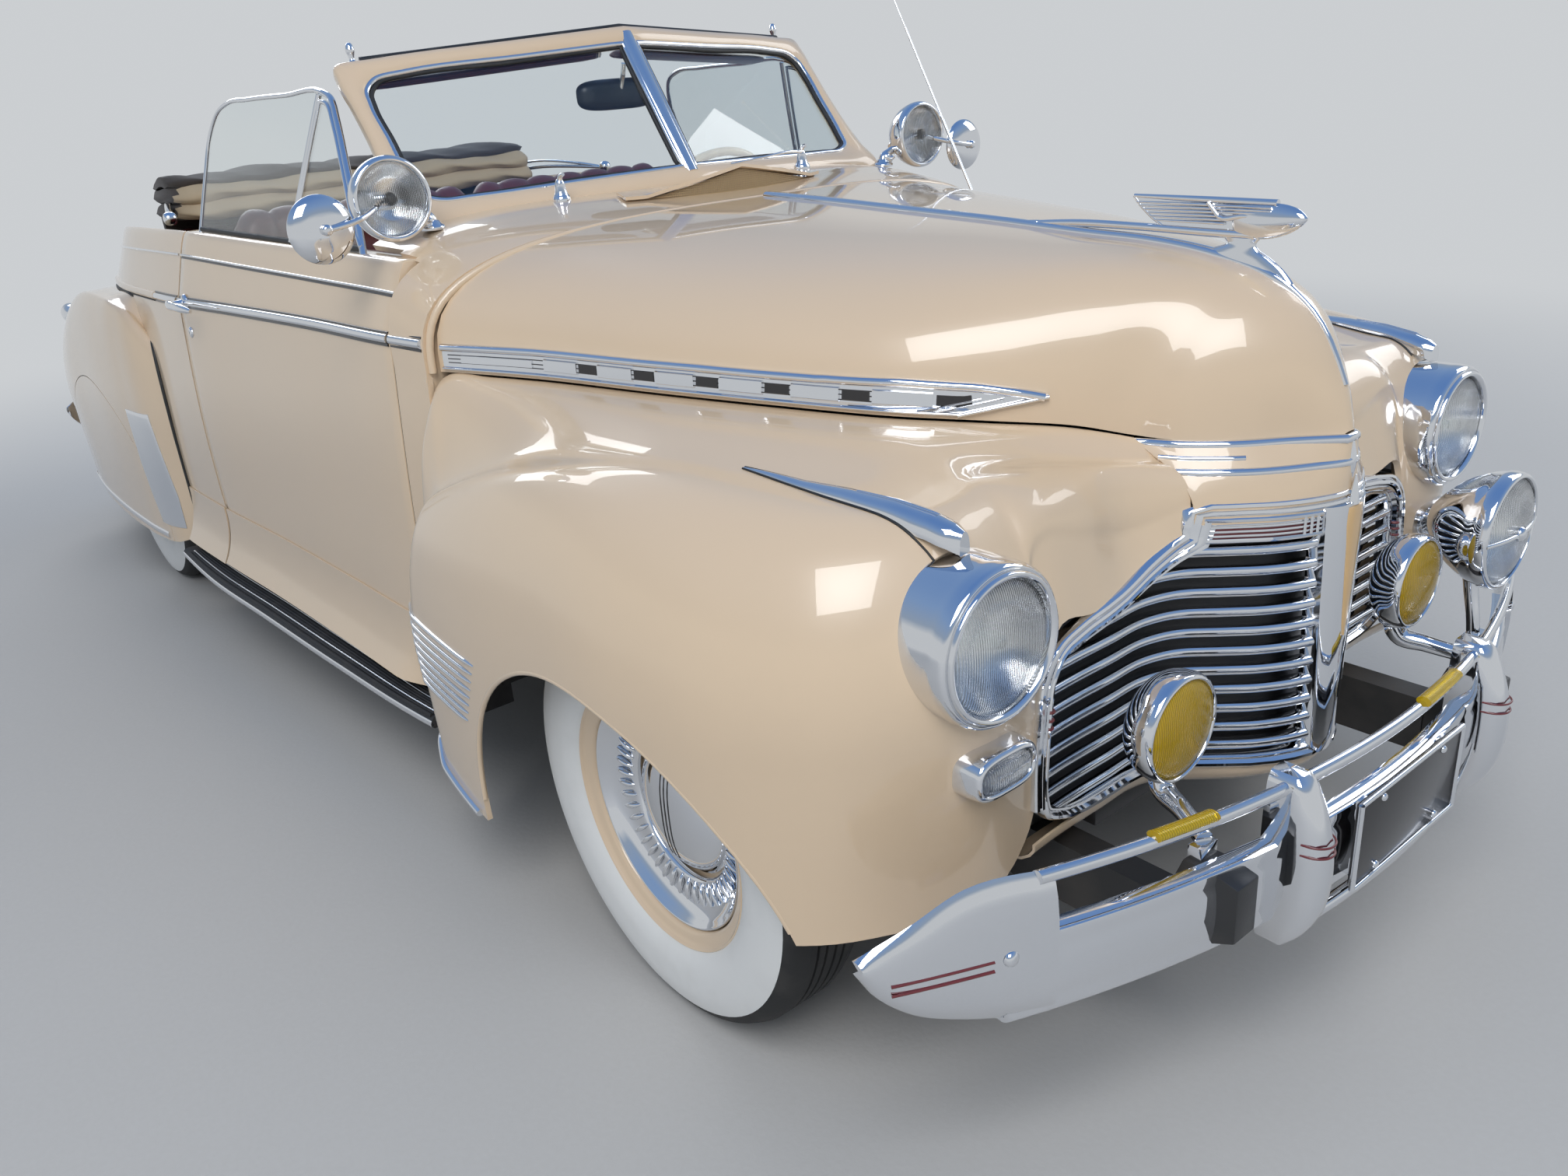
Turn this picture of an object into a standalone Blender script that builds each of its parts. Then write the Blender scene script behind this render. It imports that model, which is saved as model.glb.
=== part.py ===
import math

import bmesh
import bpy
import numpy as np
from mathutils import Vector

for old in list(bpy.data.objects):
    bpy.data.objects.remove(old)

# Driving dimensions in metres. The car faces -Y, its left side is +X and the ground is Z = 0.
OVERALL_LENGTH = 4.97
WHEELBASE = 2.946
FRONT_OVERHANG = 0.82
OVERALL_WIDTH = 1.85
FRONT_TRACK = 1.46
REAR_TRACK = 1.524
TYRE_RADIUS = 0.352
TYRE_WIDTH = 0.157
RIM_RADIUS = 0.208
SHEET = 0.012
WALL = 0.05
PANEL_GAP = 0.006
SEAT_GAP = 0.0005
WELT = 0.0009
FLOOR_TOP = 0.33
FLOOR_THICKNESS = 0.02
REAR_FLOOR_TOP = 0.55
KINGPIN_X = 0.625
BUMPER_TOP = 0.43
BUMPER_BOTTOM = 0.30
STEERING_WHEEL_RADIUS = 0.215

# The tables below give stations from the front axle for this wheelbase and this overall width.
TABLE_WHEELBASE = 2.946
TABLE_WIDTH = 1.85
FRONT_AXLE_Y = FRONT_OVERHANG - OVERALL_LENGTH / 2
REAR_AXLE = WHEELBASE
STRETCH_START = 0.9
STRETCH_END = 2.2


def along(station):
    # What lies between the cowl and the rear fenders stretches with the wheelbase.
    share = min(max((station - STRETCH_START) / (STRETCH_END - STRETCH_START), 0.0), 1.0)
    return FRONT_AXLE_Y + station + share * (WHEELBASE - TABLE_WHEELBASE)


def at(x, station, z):
    return (x * OVERALL_WIDTH / TABLE_WIDTH, along(station), z)


def paint(name, colour, roughness, metallic):
    made = bpy.data.materials.new(name)
    made.use_nodes = True
    shader = made.node_tree.nodes["Principled BSDF"]
    shader.inputs["Base Color"].default_value = (*colour, 1.0)
    shader.inputs["Roughness"].default_value = roughness
    shader.inputs["Metallic"].default_value = metallic
    return made


CREAM = paint("cream paint", (0.78, 0.60, 0.38), 0.25, 0.0)
CHROME = paint("chrome", (0.85, 0.85, 0.86), 0.08, 1.0)
BLACK = paint("black metal", (0.03, 0.03, 0.03), 0.5, 0.3)
RUBBER = paint("rubber", (0.02, 0.02, 0.02), 0.8, 0.0)
MAROON = paint("maroon leather", (0.20, 0.02, 0.02), 0.45, 0.0)
CANVAS = paint("canvas", (0.30, 0.25, 0.18), 0.9, 0.0)
CLEAR = paint("glass", (0.80, 0.86, 0.85), 0.05, 0.0)
STEEL = paint("plain steel", (0.35, 0.35, 0.36), 0.45, 0.8)
IVORY = paint("ivory plastic", (0.80, 0.72, 0.55), 0.35, 0.0)


# Meshes, each a list of points and a list of faces.

def box(low, high):
    (x0, y0, z0), (x1, y1, z1) = low, high
    points = [(x, y, z) for x in (x0, x1) for y in (y0, y1) for z in (z0, z1)]
    faces = [(0, 1, 3, 2), (4, 6, 7, 5), (0, 4, 5, 1), (2, 3, 7, 6), (0, 2, 6, 4), (1, 5, 7, 3)]
    return points, faces


def loft(rings):
    # Rings of the same count, joined in turn and capped at both ends.
    count = len(rings[0])
    points = [tuple(p) for ring in rings for p in ring]
    faces = [tuple(range(count)), tuple(reversed(range(len(points) - count, len(points))))]
    for row in range(len(rings) - 1):
        for i in range(count):
            j = (i + 1) % count
            faces.append((row * count + i, row * count + j, (row + 1) * count + j, (row + 1) * count + i))
    return points, faces


def hoop(rings):
    # Rings joined in turn, the last one to the first.
    count = len(rings[0])
    points = [tuple(p) for ring in rings for p in ring]
    faces = []
    for row in range(len(rings)):
        after = (row + 1) % len(rings)
        for i in range(count):
            j = (i + 1) % count
            faces.append((row * count + i, row * count + j, after * count + j, after * count + i))
    return points, faces


def prism(outline, x0, x1):
    # An outline of (station, height) points, drawn out across the car.
    return loft([[at(x, s, z) for s, z in outline] for x in (x0, x1)])


def turned(profile, centre, axis, sides):
    # A profile of (radius, distance along the axis) points, from the axis round to the axis.
    turn = Vector(axis).normalized()
    upright = Vector((0, 0, 1)) if abs(turn.z) < 0.9 else Vector((0, 1, 0))
    side = (upright - turn * turn.dot(upright)).normalized()
    other = turn.cross(side)
    origin = Vector(centre)
    points = []
    rows = []
    for radius, distance in profile:
        middle = origin + turn * distance
        if radius < 1e-6:
            rows.append([len(points)] * sides)
            points.append(tuple(middle))
            continue
        rows.append(list(range(len(points), len(points) + sides)))
        for i in range(sides):
            angle = 2 * math.pi * (i + 0.5) / sides
            points.append(tuple(middle + side * radius * math.cos(angle) + other * radius * math.sin(angle)))
    faces = []
    closed = profile[0][0] > 1e-6
    for row in range(len(rows) if closed else len(rows) - 1):
        after = (row + 1) % len(rows)
        for i in range(sides):
            j = (i + 1) % sides
            corners = [rows[row][i], rows[row][j], rows[after][j], rows[after][i]]
            corners = [c for n, c in enumerate(corners) if c != corners[n - 1]]
            faces.append(tuple(corners))
    return points, faces


def disc(centre, axis, radius, length, sides=20):
    return turned([(0, 0), (radius, 0), (radius, length), (0, length)], centre, axis, sides)


def tube(path, radius, sides=6):
    rings = []
    path = [Vector(p) for p in path]
    side = (path[1] - path[0]).orthogonal().normalized()
    for i, point in enumerate(path):
        heading = (path[min(i + 1, len(path) - 1)] - path[max(i - 1, 0)]).normalized()
        side = (side - heading * side.dot(heading)).normalized()
        other = heading.cross(side)
        turns = [2 * math.pi * k / sides for k in range(sides)]
        rings.append([point + side * radius * math.cos(t) + other * radius * math.sin(t) for t in turns])
    return loft(rings)


def bar(path, width, height):
    # A rectangular bar whose width lies across the car.
    rings = []
    for x, s, z in path:
        w, h = width / 2, height / 2
        rings.append([at(x - w, s, z - h), at(x + w, s, z - h), at(x + w, s, z + h), at(x - w, s, z + h)])
    return loft(rings)


def skin(grid, depth, keep=None, lift=0.0):
    # A sheet on a grid of points: kept cells get an outer and an inner face and a wall at each open edge.
    grid = np.array(grid, float)
    rows, columns = grid.shape[:2]
    if keep is None:
        keep = np.ones((rows - 1, columns - 1), bool)
    total_normal = np.zeros_like(grid)
    faces_met = np.zeros((rows, columns, 1))
    for r in range(rows - 1):
        for c in range(columns - 1):
            if keep[r][c]:
                across = grid[r + 1, c + 1] - grid[r, c]
                face = np.cross(across, grid[r, c + 1] - grid[r + 1, c])
                total_normal[r : r + 2, c : c + 2] += face / max(np.linalg.norm(face), 1e-9)
                faces_met[r : r + 2, c : c + 2] += 1
    length = np.linalg.norm(total_normal, axis=2, keepdims=True)
    normal = total_normal / np.maximum(length, 1e-9)
    # On a ridge the inner corner lies further in, so that both faces keep the sheet's thickness.
    normal_depth = 1 / np.clip(length / np.maximum(faces_met, 1), 0.7, 1.0)
    depth = np.broadcast_to(np.array(depth, float), (rows, columns))
    inner = grid - normal * normal_depth * depth[:, :, None]
    outer = grid + normal * lift
    points = [tuple(p) for p in outer.reshape(-1, 3)] + [tuple(p) for p in inner.reshape(-1, 3)]
    total = rows * columns

    def kept(r, c):
        return 0 <= r < rows - 1 and 0 <= c < columns - 1 and keep[r][c]

    faces = []
    for r in range(rows - 1):
        for c in range(columns - 1):
            if not keep[r][c]:
                continue
            a, b = r * columns + c, r * columns + c + 1
            d, e = a + columns, b + columns
            # The shorter diagonal is the same one on both sides of the car.
            short = np.linalg.norm(grid[r, c] - grid[r + 1, c + 1]) <= np.linalg.norm(grid[r,
                c + 1] - grid[r + 1, c])
            halves = [(a, d, e), (a, e, b)] if short else [(a, d, b), (d, e, b)]
            faces += halves + [tuple(k + total for k in reversed(half)) for half in halves]
            if not kept(r - 1, c):
                faces.append((a, b, b + total, a + total))
            if not kept(r + 1, c):
                faces.append((e, d, d + total, e + total))
            if not kept(r, c - 1):
                faces.append((d, a, a + total, d + total))
            if not kept(r, c + 1):
                faces.append((b, e, e + total, b + total))
    return points, faces


def flipped(piece):
    # The same piece on the other side of the car.
    points, faces = piece
    return [(-p[0], p[1], p[2]) for p in points], [tuple(reversed(f)) for f in faces]


def sided(pieces, side):
    return [piece if side > 0 else flipped(piece) for piece in pieces]


def mesh_of(name, piece, pivot):
    points, faces = piece
    made = bpy.data.meshes.new(name)
    made.from_pydata([tuple(np.array(p, float) - np.array(pivot, float)) for p in points], [], faces)
    work = bmesh.new()
    work.from_mesh(made)
    bmesh.ops.delete(work, geom=[v for v in work.verts if not v.link_faces], context="VERTS")
    bmesh.ops.recalc_face_normals(work, faces=work.faces)
    work.to_mesh(made)
    work.free()
    return made


def helpers(name, pieces):
    group = bpy.data.collections.new(name)
    bpy.context.scene.collection.children.link(group)
    group.hide_render = True
    for piece in pieces:
        helper = bpy.data.objects.new(name, mesh_of(name, piece, (0, 0, 0)))
        helper.hide_render = True
        helper.display_type = "WIRE"
        group.objects.link(helper)
    return group


def node(name, pieces, material, pivot=(0, 0, 0), parent=None, cuts=(), within=None, solver="EXACT"):
    # One named solid: its pieces joined, what it is kept within, and then what is cut from it.
    made = bpy.data.objects.new(name, mesh_of(name, pieces[0], pivot))
    made.data.materials.append(material)
    bpy.context.scene.collection.objects.link(made)
    made.location = pivot
    if parent:
        made.parent = parent
        made.location = Vector(pivot) - parent.matrix_world.translation
    steps = [("UNION", pieces[1:]), ("INTERSECT", [within] if within else [])]
    steps += [("DIFFERENCE", [cutter]) for cutter in cuts]
    for operation, others in steps:
        if not others:
            continue
        step = made.modifiers.new(operation.title(), "BOOLEAN")
        step.operation = operation
        step.solver = solver if operation != "UNION" else "EXACT"
        group = helpers(name + " " + operation.lower(), others)
        if len(others) == 1:
            step.object = group.objects[0]
        else:
            step.operand_type = "COLLECTION"
            step.collection = group
    bpy.context.view_layer.update()
    return made


# Body sides: station | half width low, middle, belt | belt height | half width and height at the sill.
SIDES = (
    (0.60, 0.775, 0.760, 0.742, 1.030, 0.722, 1.105),
    (0.79, 0.790, 0.782, 0.760, 1.028, 0.726, 1.110),
    (1.16, 0.800, 0.797, 0.775, 1.025, 0.745, 1.115),
    (1.60, 0.815, 0.818, 0.800, 1.018, 0.768, 1.120),
    (1.97, 0.835, 0.843, 0.825, 1.012, 0.790, 1.125),
    (2.30, 0.846, 0.848, 0.825, 1.006, 0.792, 1.120),
    (2.63, 0.840, 0.840, 0.810, 1.000, 0.775, 1.110),
    (2.95, 0.800, 0.800, 0.760, 0.990, 0.720, 1.090),
    (3.13, 0.760, 0.760, 0.720, 0.975, 0.680, 1.070),
    (3.40, 0.700, 0.700, 0.660, 0.930, 0.610, 1.005),
    (3.70, 0.620, 0.610, 0.570, 0.830, 0.510, 0.890),
    (3.90, 0.530, 0.520, 0.480, 0.700, 0.420, 0.755),
    (4.00, 0.480, 0.470, 0.430, 0.590, 0.380, 0.630),
)
BODY_BOTTOM = 0.30
DOOR_BOTTOM = 0.305
LEDGE_RISE = 0.045
LEDGE_INSET = 0.024
MIDDLE = 0.69


def side_row(station):
    table = np.array(SIDES)
    return [float(np.interp(station, table[:, 0], table[:, k])) for k in range(1, 7)]


def side_x(station, z):
    low, middle, belt, belt_z, sill, sill_z = side_row(station)
    return float(np.interp(z, (BODY_BOTTOM, MIDDLE, belt_z, sill_z), (low, middle, belt, sill)))


# Hood: seam half width, station, height | crown station, height | fullness of the section.
HOOD = (
    (0.014, -0.652, 0.906, -0.657, 0.912, 2.0),
    (0.060, -0.605, 0.907, -0.643, 0.965, 2.0),
    (0.112, -0.562, 0.907, -0.612, 1.030, 2.0),
    (0.164, -0.498, 0.908, -0.565, 1.084, 2.1),
    (0.191, -0.435, 0.912, -0.505, 1.116, 2.2),
    (0.250, -0.378, 0.930, -0.425, 1.136, 2.3),
    (0.330, -0.300, 0.942, -0.330, 1.149, 2.4),
    (0.420, -0.190, 0.952, -0.205, 1.156, 2.5),
    (0.500, -0.020, 0.960, -0.020, 1.168, 2.6),
    (0.573, 0.190, 0.965, 0.170, 1.178, 2.7),
    (0.645, 0.440, 0.969, 0.400, 1.190, 2.9),
    (0.728, 0.664, 0.971, 0.598, 1.198, 3.1),
)
ROUND = (0, 14, 28, 42, 56, 68, 79, 90)


def arch_row(half, seam_s, seam_z, crown_s, crown_z, fullness, angles):
    row = []
    for angle in angles:
        c = math.cos(math.radians(angle)) ** (2 / fullness) if angle < 90 else 0.0
        s = math.sin(math.radians(angle)) ** (2 / fullness)
        row.append((half * c, crown_s + (seam_s - crown_s) * c**1.7, seam_z + (crown_z - seam_z) * s))
    return row


def both_sides(row):
    # A row from the left seam over the crown to the right seam.
    return [at(*p) for p in row] + [at(-x, s, z) for x, s, z in reversed(row[:-1])]


def hood_line(share):
    # The hood's section at a share of the way through its last table step.
    before, last = np.array(HOOD[-2]), np.array(HOOD[-1])
    return tuple(before + (last - before) * share)


def hood():
    grid = [both_sides(arch_row(*line, ROUND)) for line in HOOD]
    pivot = at(0, HOOD_HINGE[0], HOOD_HINGE[1])
    return node("hood", [skin(grid, SHEET)], CREAM, pivot)


HOOD_HINGE = (0.680, 1.206)

# Cowl: its stations at the side and at the crown | crown height | fullness.
COWL = (
    (0.671, 0.605, 1.200, 3.1),
    (0.787, 0.740, 1.212, 3.7),
    (0.880, 0.850, 1.220, 4.0),
    (0.990, 0.985, 1.225, 4.0),
)
COWL_SEAM = 0.971
COWL_SIDE = (0.30, 0.50, 0.69, 0.85)
FIREWALL = 0.66
REST_DROP = SHEET + SEAT_GAP


def cowl_point(x, station):
    # The height of the cowl's top over a point of its plan.
    table = np.array(COWL)
    crown = float(np.interp(station, table[:, 1], table[:, 2]))
    full = float(np.interp(station, table[:, 1], table[:, 3]))
    half = side_x(station, COWL_SEAM)
    return COWL_SEAM + (crown - COWL_SEAM) * (1 - min(abs(x) / half, 1.0) ** full) ** (1 / full)


def cowl_top(depth, lift=0.0):
    # The cowl's skin: the whole section ahead of the door seam, and its top as far as the windshield.
    grid = []
    for side_s, crown_s, crown_z, full in COWL:
        row = [(side_x(side_s, z), side_s, z) for z in COWL_SIDE]
        row += arch_row(side_x(side_s, COWL_SEAM), side_s, COWL_SEAM, crown_s, crown_z, full, ROUND)
        grid.append(both_sides(row))
    columns = len(grid[0])
    keep = np.ones((len(COWL) - 1, columns - 1), bool)
    narrow = len(COWL_SIDE) + 3
    keep[1:, :narrow] = False
    keep[1:, columns - 1 - narrow :] = False
    return skin(grid, depth, keep, lift)


def cowl():
    top = cowl_top(SHEET)
    wall = box(at(-0.755, FIREWALL + 0.014, 0.604), at(0.755, FIREWALL + 0.032, 0.96))
    wall_top = box(at(-0.70, FIREWALL + 0.014, 0.95), at(0.70, FIREWALL + 0.032, 1.10))
    wall_mid = box(at(-0.55, FIREWALL + 0.014, 1.09), at(0.55, FIREWALL + 0.032, 1.17))
    vent = prism(((0.665, 1.252), (0.668, 1.256), (0.815, 1.222), (0.815, 1.208)), -0.22, 0.22)
    rest = []
    for line, drop in ((hood_line(0.80), REST_DROP), (HOOD[-1], REST_DROP),
            ((0.738, 0.690, 0.971, 0.625, 1.200, 3.1), 0.005)):
        half, seam_s, seam_z, crown_s, crown_z, full = line
        row = arch_row(half - 1.5 * drop, seam_s, seam_z, crown_s, crown_z - drop - 0.0003, full, ROUND)
        rest.append(both_sides(row))
    hinges = [half for z in DOOR_HINGES for half in door_hinge(z + HINGE_HEIGHT + SEAT_GAP, 0.781, 0.760)]
    hinges += [flipped(half) for half in hinges]
    node("cowl", [top, wall, wall_top, wall_mid, vent, skin(rest, 0.006), *hinges], CREAM)


# Rear body: station | lowest height | height over the centre.
REAR = (
    (1.985, 0.30, 1.16),
    (2.13, 0.30, 1.16),
    (2.30, 0.30, 1.16),
    (2.47, 0.30, 1.15),
    (2.70, 0.30, 1.15),
    (3.008, 0.30, 1.133),
    (3.06, 0.30, 1.125),
    (3.25, 0.30, 1.085),
    (3.45, 0.30, 1.025),
    (3.70, 0.32, 0.910),
    (3.885, 0.36, 0.785),
    (3.96, 0.38, 0.700),
    (4.00, 0.40, 0.640),
)
REAR_UP = (0.0, 0.35, 0.65, 0.90, 1.0)
REAR_OVER = (0.80, 0.55, 0.28, 0.0)
ARCH_FRONT = 2.47
ARCH_REAR = 3.45
DECK_FRONT = 3.008
LID_FRONT = 3.06
LID_REAR = 3.885
LID_HINGE = (3.052, 1.138)
LID_LUG = 0.030
LID_BARREL = 0.008
LID_LUG_X = 0.20


def rear_half(station, low_z, top_z, over=REAR_OVER):
    low, middle, belt, belt_z, sill, sill_z = side_row(station)
    row = [(side_x(station, low_z + (belt_z - low_z) * f), station,
        low_z + (belt_z - low_z) * f) for f in REAR_UP]
    row.append((sill, station, sill_z))
    if station < DECK_FRONT:
        row.append((sill - LEDGE_INSET, station, sill_z + LEDGE_RISE))
    else:
        row.append((sill * 0.96, station, sill_z + (top_z - sill_z) * 0.30))
    row += [(sill * f, station, sill_z + (top_z - sill_z) * (1 - f**2.4)) for f in over]
    return row


def rear_body():
    grid = [both_sides(rear_half(*line)) for line in REAR]
    stations = [line[0] for line in REAR]
    columns = len(grid[0])
    half = columns // 2
    keep = np.ones((len(REAR) - 1, columns - 1), bool)
    depth = np.full((len(REAR), columns), 0.02)
    for r, station in enumerate(stations):
        if station < DECK_FRONT:
            depth[r] = WALL if station < ARCH_FRONT else 0.03
        if r == len(REAR) - 1:
            break
        middle = (station + stations[r + 1]) / 2
        for c in range(columns - 1):
            across = min(c, columns - 2 - c)
            if ARCH_FRONT < middle < ARCH_REAR and across < 3:
                keep[r][c] = False
            if middle < DECK_FRONT and across >= 6:
                keep[r][c] = False
            if LID_FRONT < middle < LID_REAR and across >= 7:
                keep[r][c] = False
    tail = rear_half(*REAR[-1])
    outline = [at(x * 0.999, 0, z)[::2] for x, s, z in tail] + [at(-x * 0.999, 0, z)[::2] for x, s,
        z in tail[::-1][1:]]
    panel = loft([[(x, along(s), z) for x, z in outline] for s in (3.972, 4.012)])
    hinges = lid_hinge(LID_LUG_X, 3.036, 3.020, 1.112)
    hinges += [flipped(half) for half in hinges]
    node("rear_body", [skin(grid, depth, keep), panel, *hinges], CREAM)


def lid_hinge(x, start, end, surface):
    # Half of a lid hinge: a foot on the panel and a barrel round the lid's axis.
    y, z = LID_HINGE
    foot = sorted((start, end))
    strap = sorted((y, end))
    high = z + 0.004
    pieces = [box(at(x, foot[0], surface), at(x + LID_LUG, foot[1], high)),
        box(at(x, strap[0], z - 0.004), at(x + LID_LUG, strap[1], high))]
    return [*pieces, disc(at(x, y, z), (1, 0, 0), LID_BARREL, LID_LUG, 8)]


def trunk_lid():
    gap = PANEL_GAP
    stations = [LID_FRONT + gap, 3.25, 3.45, 3.70, LID_REAR - gap]
    tops = np.array(REAR)
    grid = []
    for station in stations:
        top = float(np.interp(station, tops[:, 0], tops[:, 2]))
        low = float(np.interp(station, tops[:, 0], tops[:, 1]))
        row = rear_half(station, low, top, (0.79, 0.55, 0.28, 0.0))[7:]
        grid.append(both_sides(row))
    hinges = lid_hinge(LID_LUG_X + LID_LUG + SEAT_GAP, 3.076, 3.100, 1.100)
    hinges += [flipped(half) for half in hinges]
    node("trunk_lid", [skin(grid, 0.018), *hinges], CREAM, at(0, *LID_HINGE))


# Doors
DOOR_FRONT = 0.794
DOOR_REAR = 1.977
DOOR_HINGE_X = 0.802
DOOR_HINGE_S = 0.802
DOOR_HINGES = (0.45, 0.83)
HINGE_RADIUS = 0.009
HINGE_HEIGHT = 0.030
DOOR_STATIONS = (DOOR_FRONT, 0.95, 1.16, 1.38, 1.60, 1.80, DOOR_REAR)
DOOR_HEIGHTS = (DOOR_BOTTOM, 0.50, 0.69, 0.86)
WINDOW_TOP = 1.457
WINDOW_REAR = 1.905
WINDOW_LEAN = 0.331


def door_grid():
    grid = []
    for station in DOOR_STATIONS:
        low, middle, belt, belt_z, sill, sill_z = side_row(station)
        row = [(side_x(station, z), station, z) for z in (*DOOR_HEIGHTS, belt_z)]
        row += [(sill, station, sill_z), (sill - LEDGE_INSET, station, sill_z + LEDGE_RISE)]
        grid.append([at(*p) for p in row])
    return np.array(grid)


def window_x(station, z):
    base = side_row(station)[4] - LEDGE_INSET - 0.012
    return base - WINDOW_LEAN * (z - 1.16)


def door_hinge(z, side_station, far_station):
    # Half of a hinge: a foot on the panel, a strap and a barrel round the door's axis.
    low, high = z, z + HINGE_HEIGHT
    inner, outer = DOOR_HINGE_X - 0.008, DOOR_HINGE_X + 0.004
    foot = sorted((side_station, far_station))
    strap = sorted((DOOR_HINGE_S, far_station))
    surface = side_x(side_station, z) - 0.006
    barrel = disc((at(DOOR_HINGE_X, DOOR_HINGE_S, low)), (0, 0, 1), HINGE_RADIUS, HINGE_HEIGHT, 8)
    feet = box(at(surface, foot[0], low), at(outer, foot[1], high))
    return [feet, box(at(inner, strap[0], low), at(outer, strap[1], high)), barrel]


def doors():
    for side, label in ((1, "left"), (-1, "right")):
        outer = door_grid()
        inner = outer - np.array([WALL, 0, 0])
        rows, columns = outer.shape[:2]
        rings = [[*map(tuple, outer[r]), *map(tuple, inner[r][::-1])] for r in range(rows)]
        pivot = at(side * DOOR_HINGE_X, DOOR_HINGE_S, 0.62)
        handle = box(at(side_x(1.93, 1.0) - 0.006, 1.845, 0.985),
            at(side_x(1.93, 1.0) + 0.038, 1.955, 1.022))
        hinges = [half for z in DOOR_HINGES for half in door_hinge(z, 0.818, 0.845)]
        door = node(f"door_{label}", sided([loft(rings), handle, *hinges], side), CREAM, pivot)
        ring = []
        for station in (0.985, 1.16, 1.60, 1.90):
            z = side_row(station)[5] + LEDGE_RISE + SEAT_GAP
            ring.append((window_x(station, z), station, z))
        for station in (WINDOW_REAR, 1.228):
            ring.append((window_x(station, WINDOW_TOP), station, WINDOW_TOP))
        faces = [[at(x - d, s, z + 0.0) for x, s, z in ring] for d in (0.0, 0.014)]
        node(f"door_window_{label}", sided([loft(faces)], side), CLEAR, pivot, door)


# Windshield: half width, station and height of its corners, in two flat panes with a bend between.
SHIELD_BOTTOM_MID = (0.0, 0.845)
SHIELD_BOTTOM_END = (0.602, 0.962)
SHIELD_TOP_MID = (0.0, 1.067, 1.538)
SHIELD_TOP_END = (0.612, 1.213, 1.500)


def shield_point(u, v):
    # u from -1 to 1 across, v from 0 at the cowl to 1 at the header.
    mid_b = np.array([0.0, SHIELD_BOTTOM_MID[1], cowl_point(0, SHIELD_BOTTOM_MID[1]) + 0.004])
    end_b = np.array([*SHIELD_BOTTOM_END, cowl_point(*SHIELD_BOTTOM_END) + 0.009])
    mid_t, end_t = np.array(SHIELD_TOP_MID), np.array(SHIELD_TOP_END)
    near = mid_b + (mid_t - mid_b) * v
    far = end_b + (end_t - end_b) * v
    p = near + (far - near) * abs(u)
    return np.array(at(p[0] * (1 if u >= 0 else -1), p[1], p[2]))


def pane(us, vs, depth, lift, keep=None):
    grid = [[shield_point(u, v) for u in us] for v in vs]
    return skin(np.array(grid)[:, ::-1], depth, keep, lift)


def windshield():
    us = (-1.0, -0.945, -0.5, 0.0, 0.5, 0.945, 1.0)
    vs = (0.0, 0.085, 0.90, 1.0)
    keep = np.ones((len(vs) - 1, len(us) - 1), bool)
    keep[1, 1:-1] = False
    ring = pane(us, vs, 0.016, 0.014, keep)
    divider = pane((-0.022, 0.0, 0.022), (0.04, 0.95), -0.005, 0.014)
    node("windshield_frame", [ring, divider], CREAM, cuts=[cowl_top(0.05, WELT)], solver="MANIFOLD")
    node("windshield_glass", [pane((-0.943, 0.0, 0.943), (0.087, 0.898), 0.003, 0.003)], CLEAR)


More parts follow.
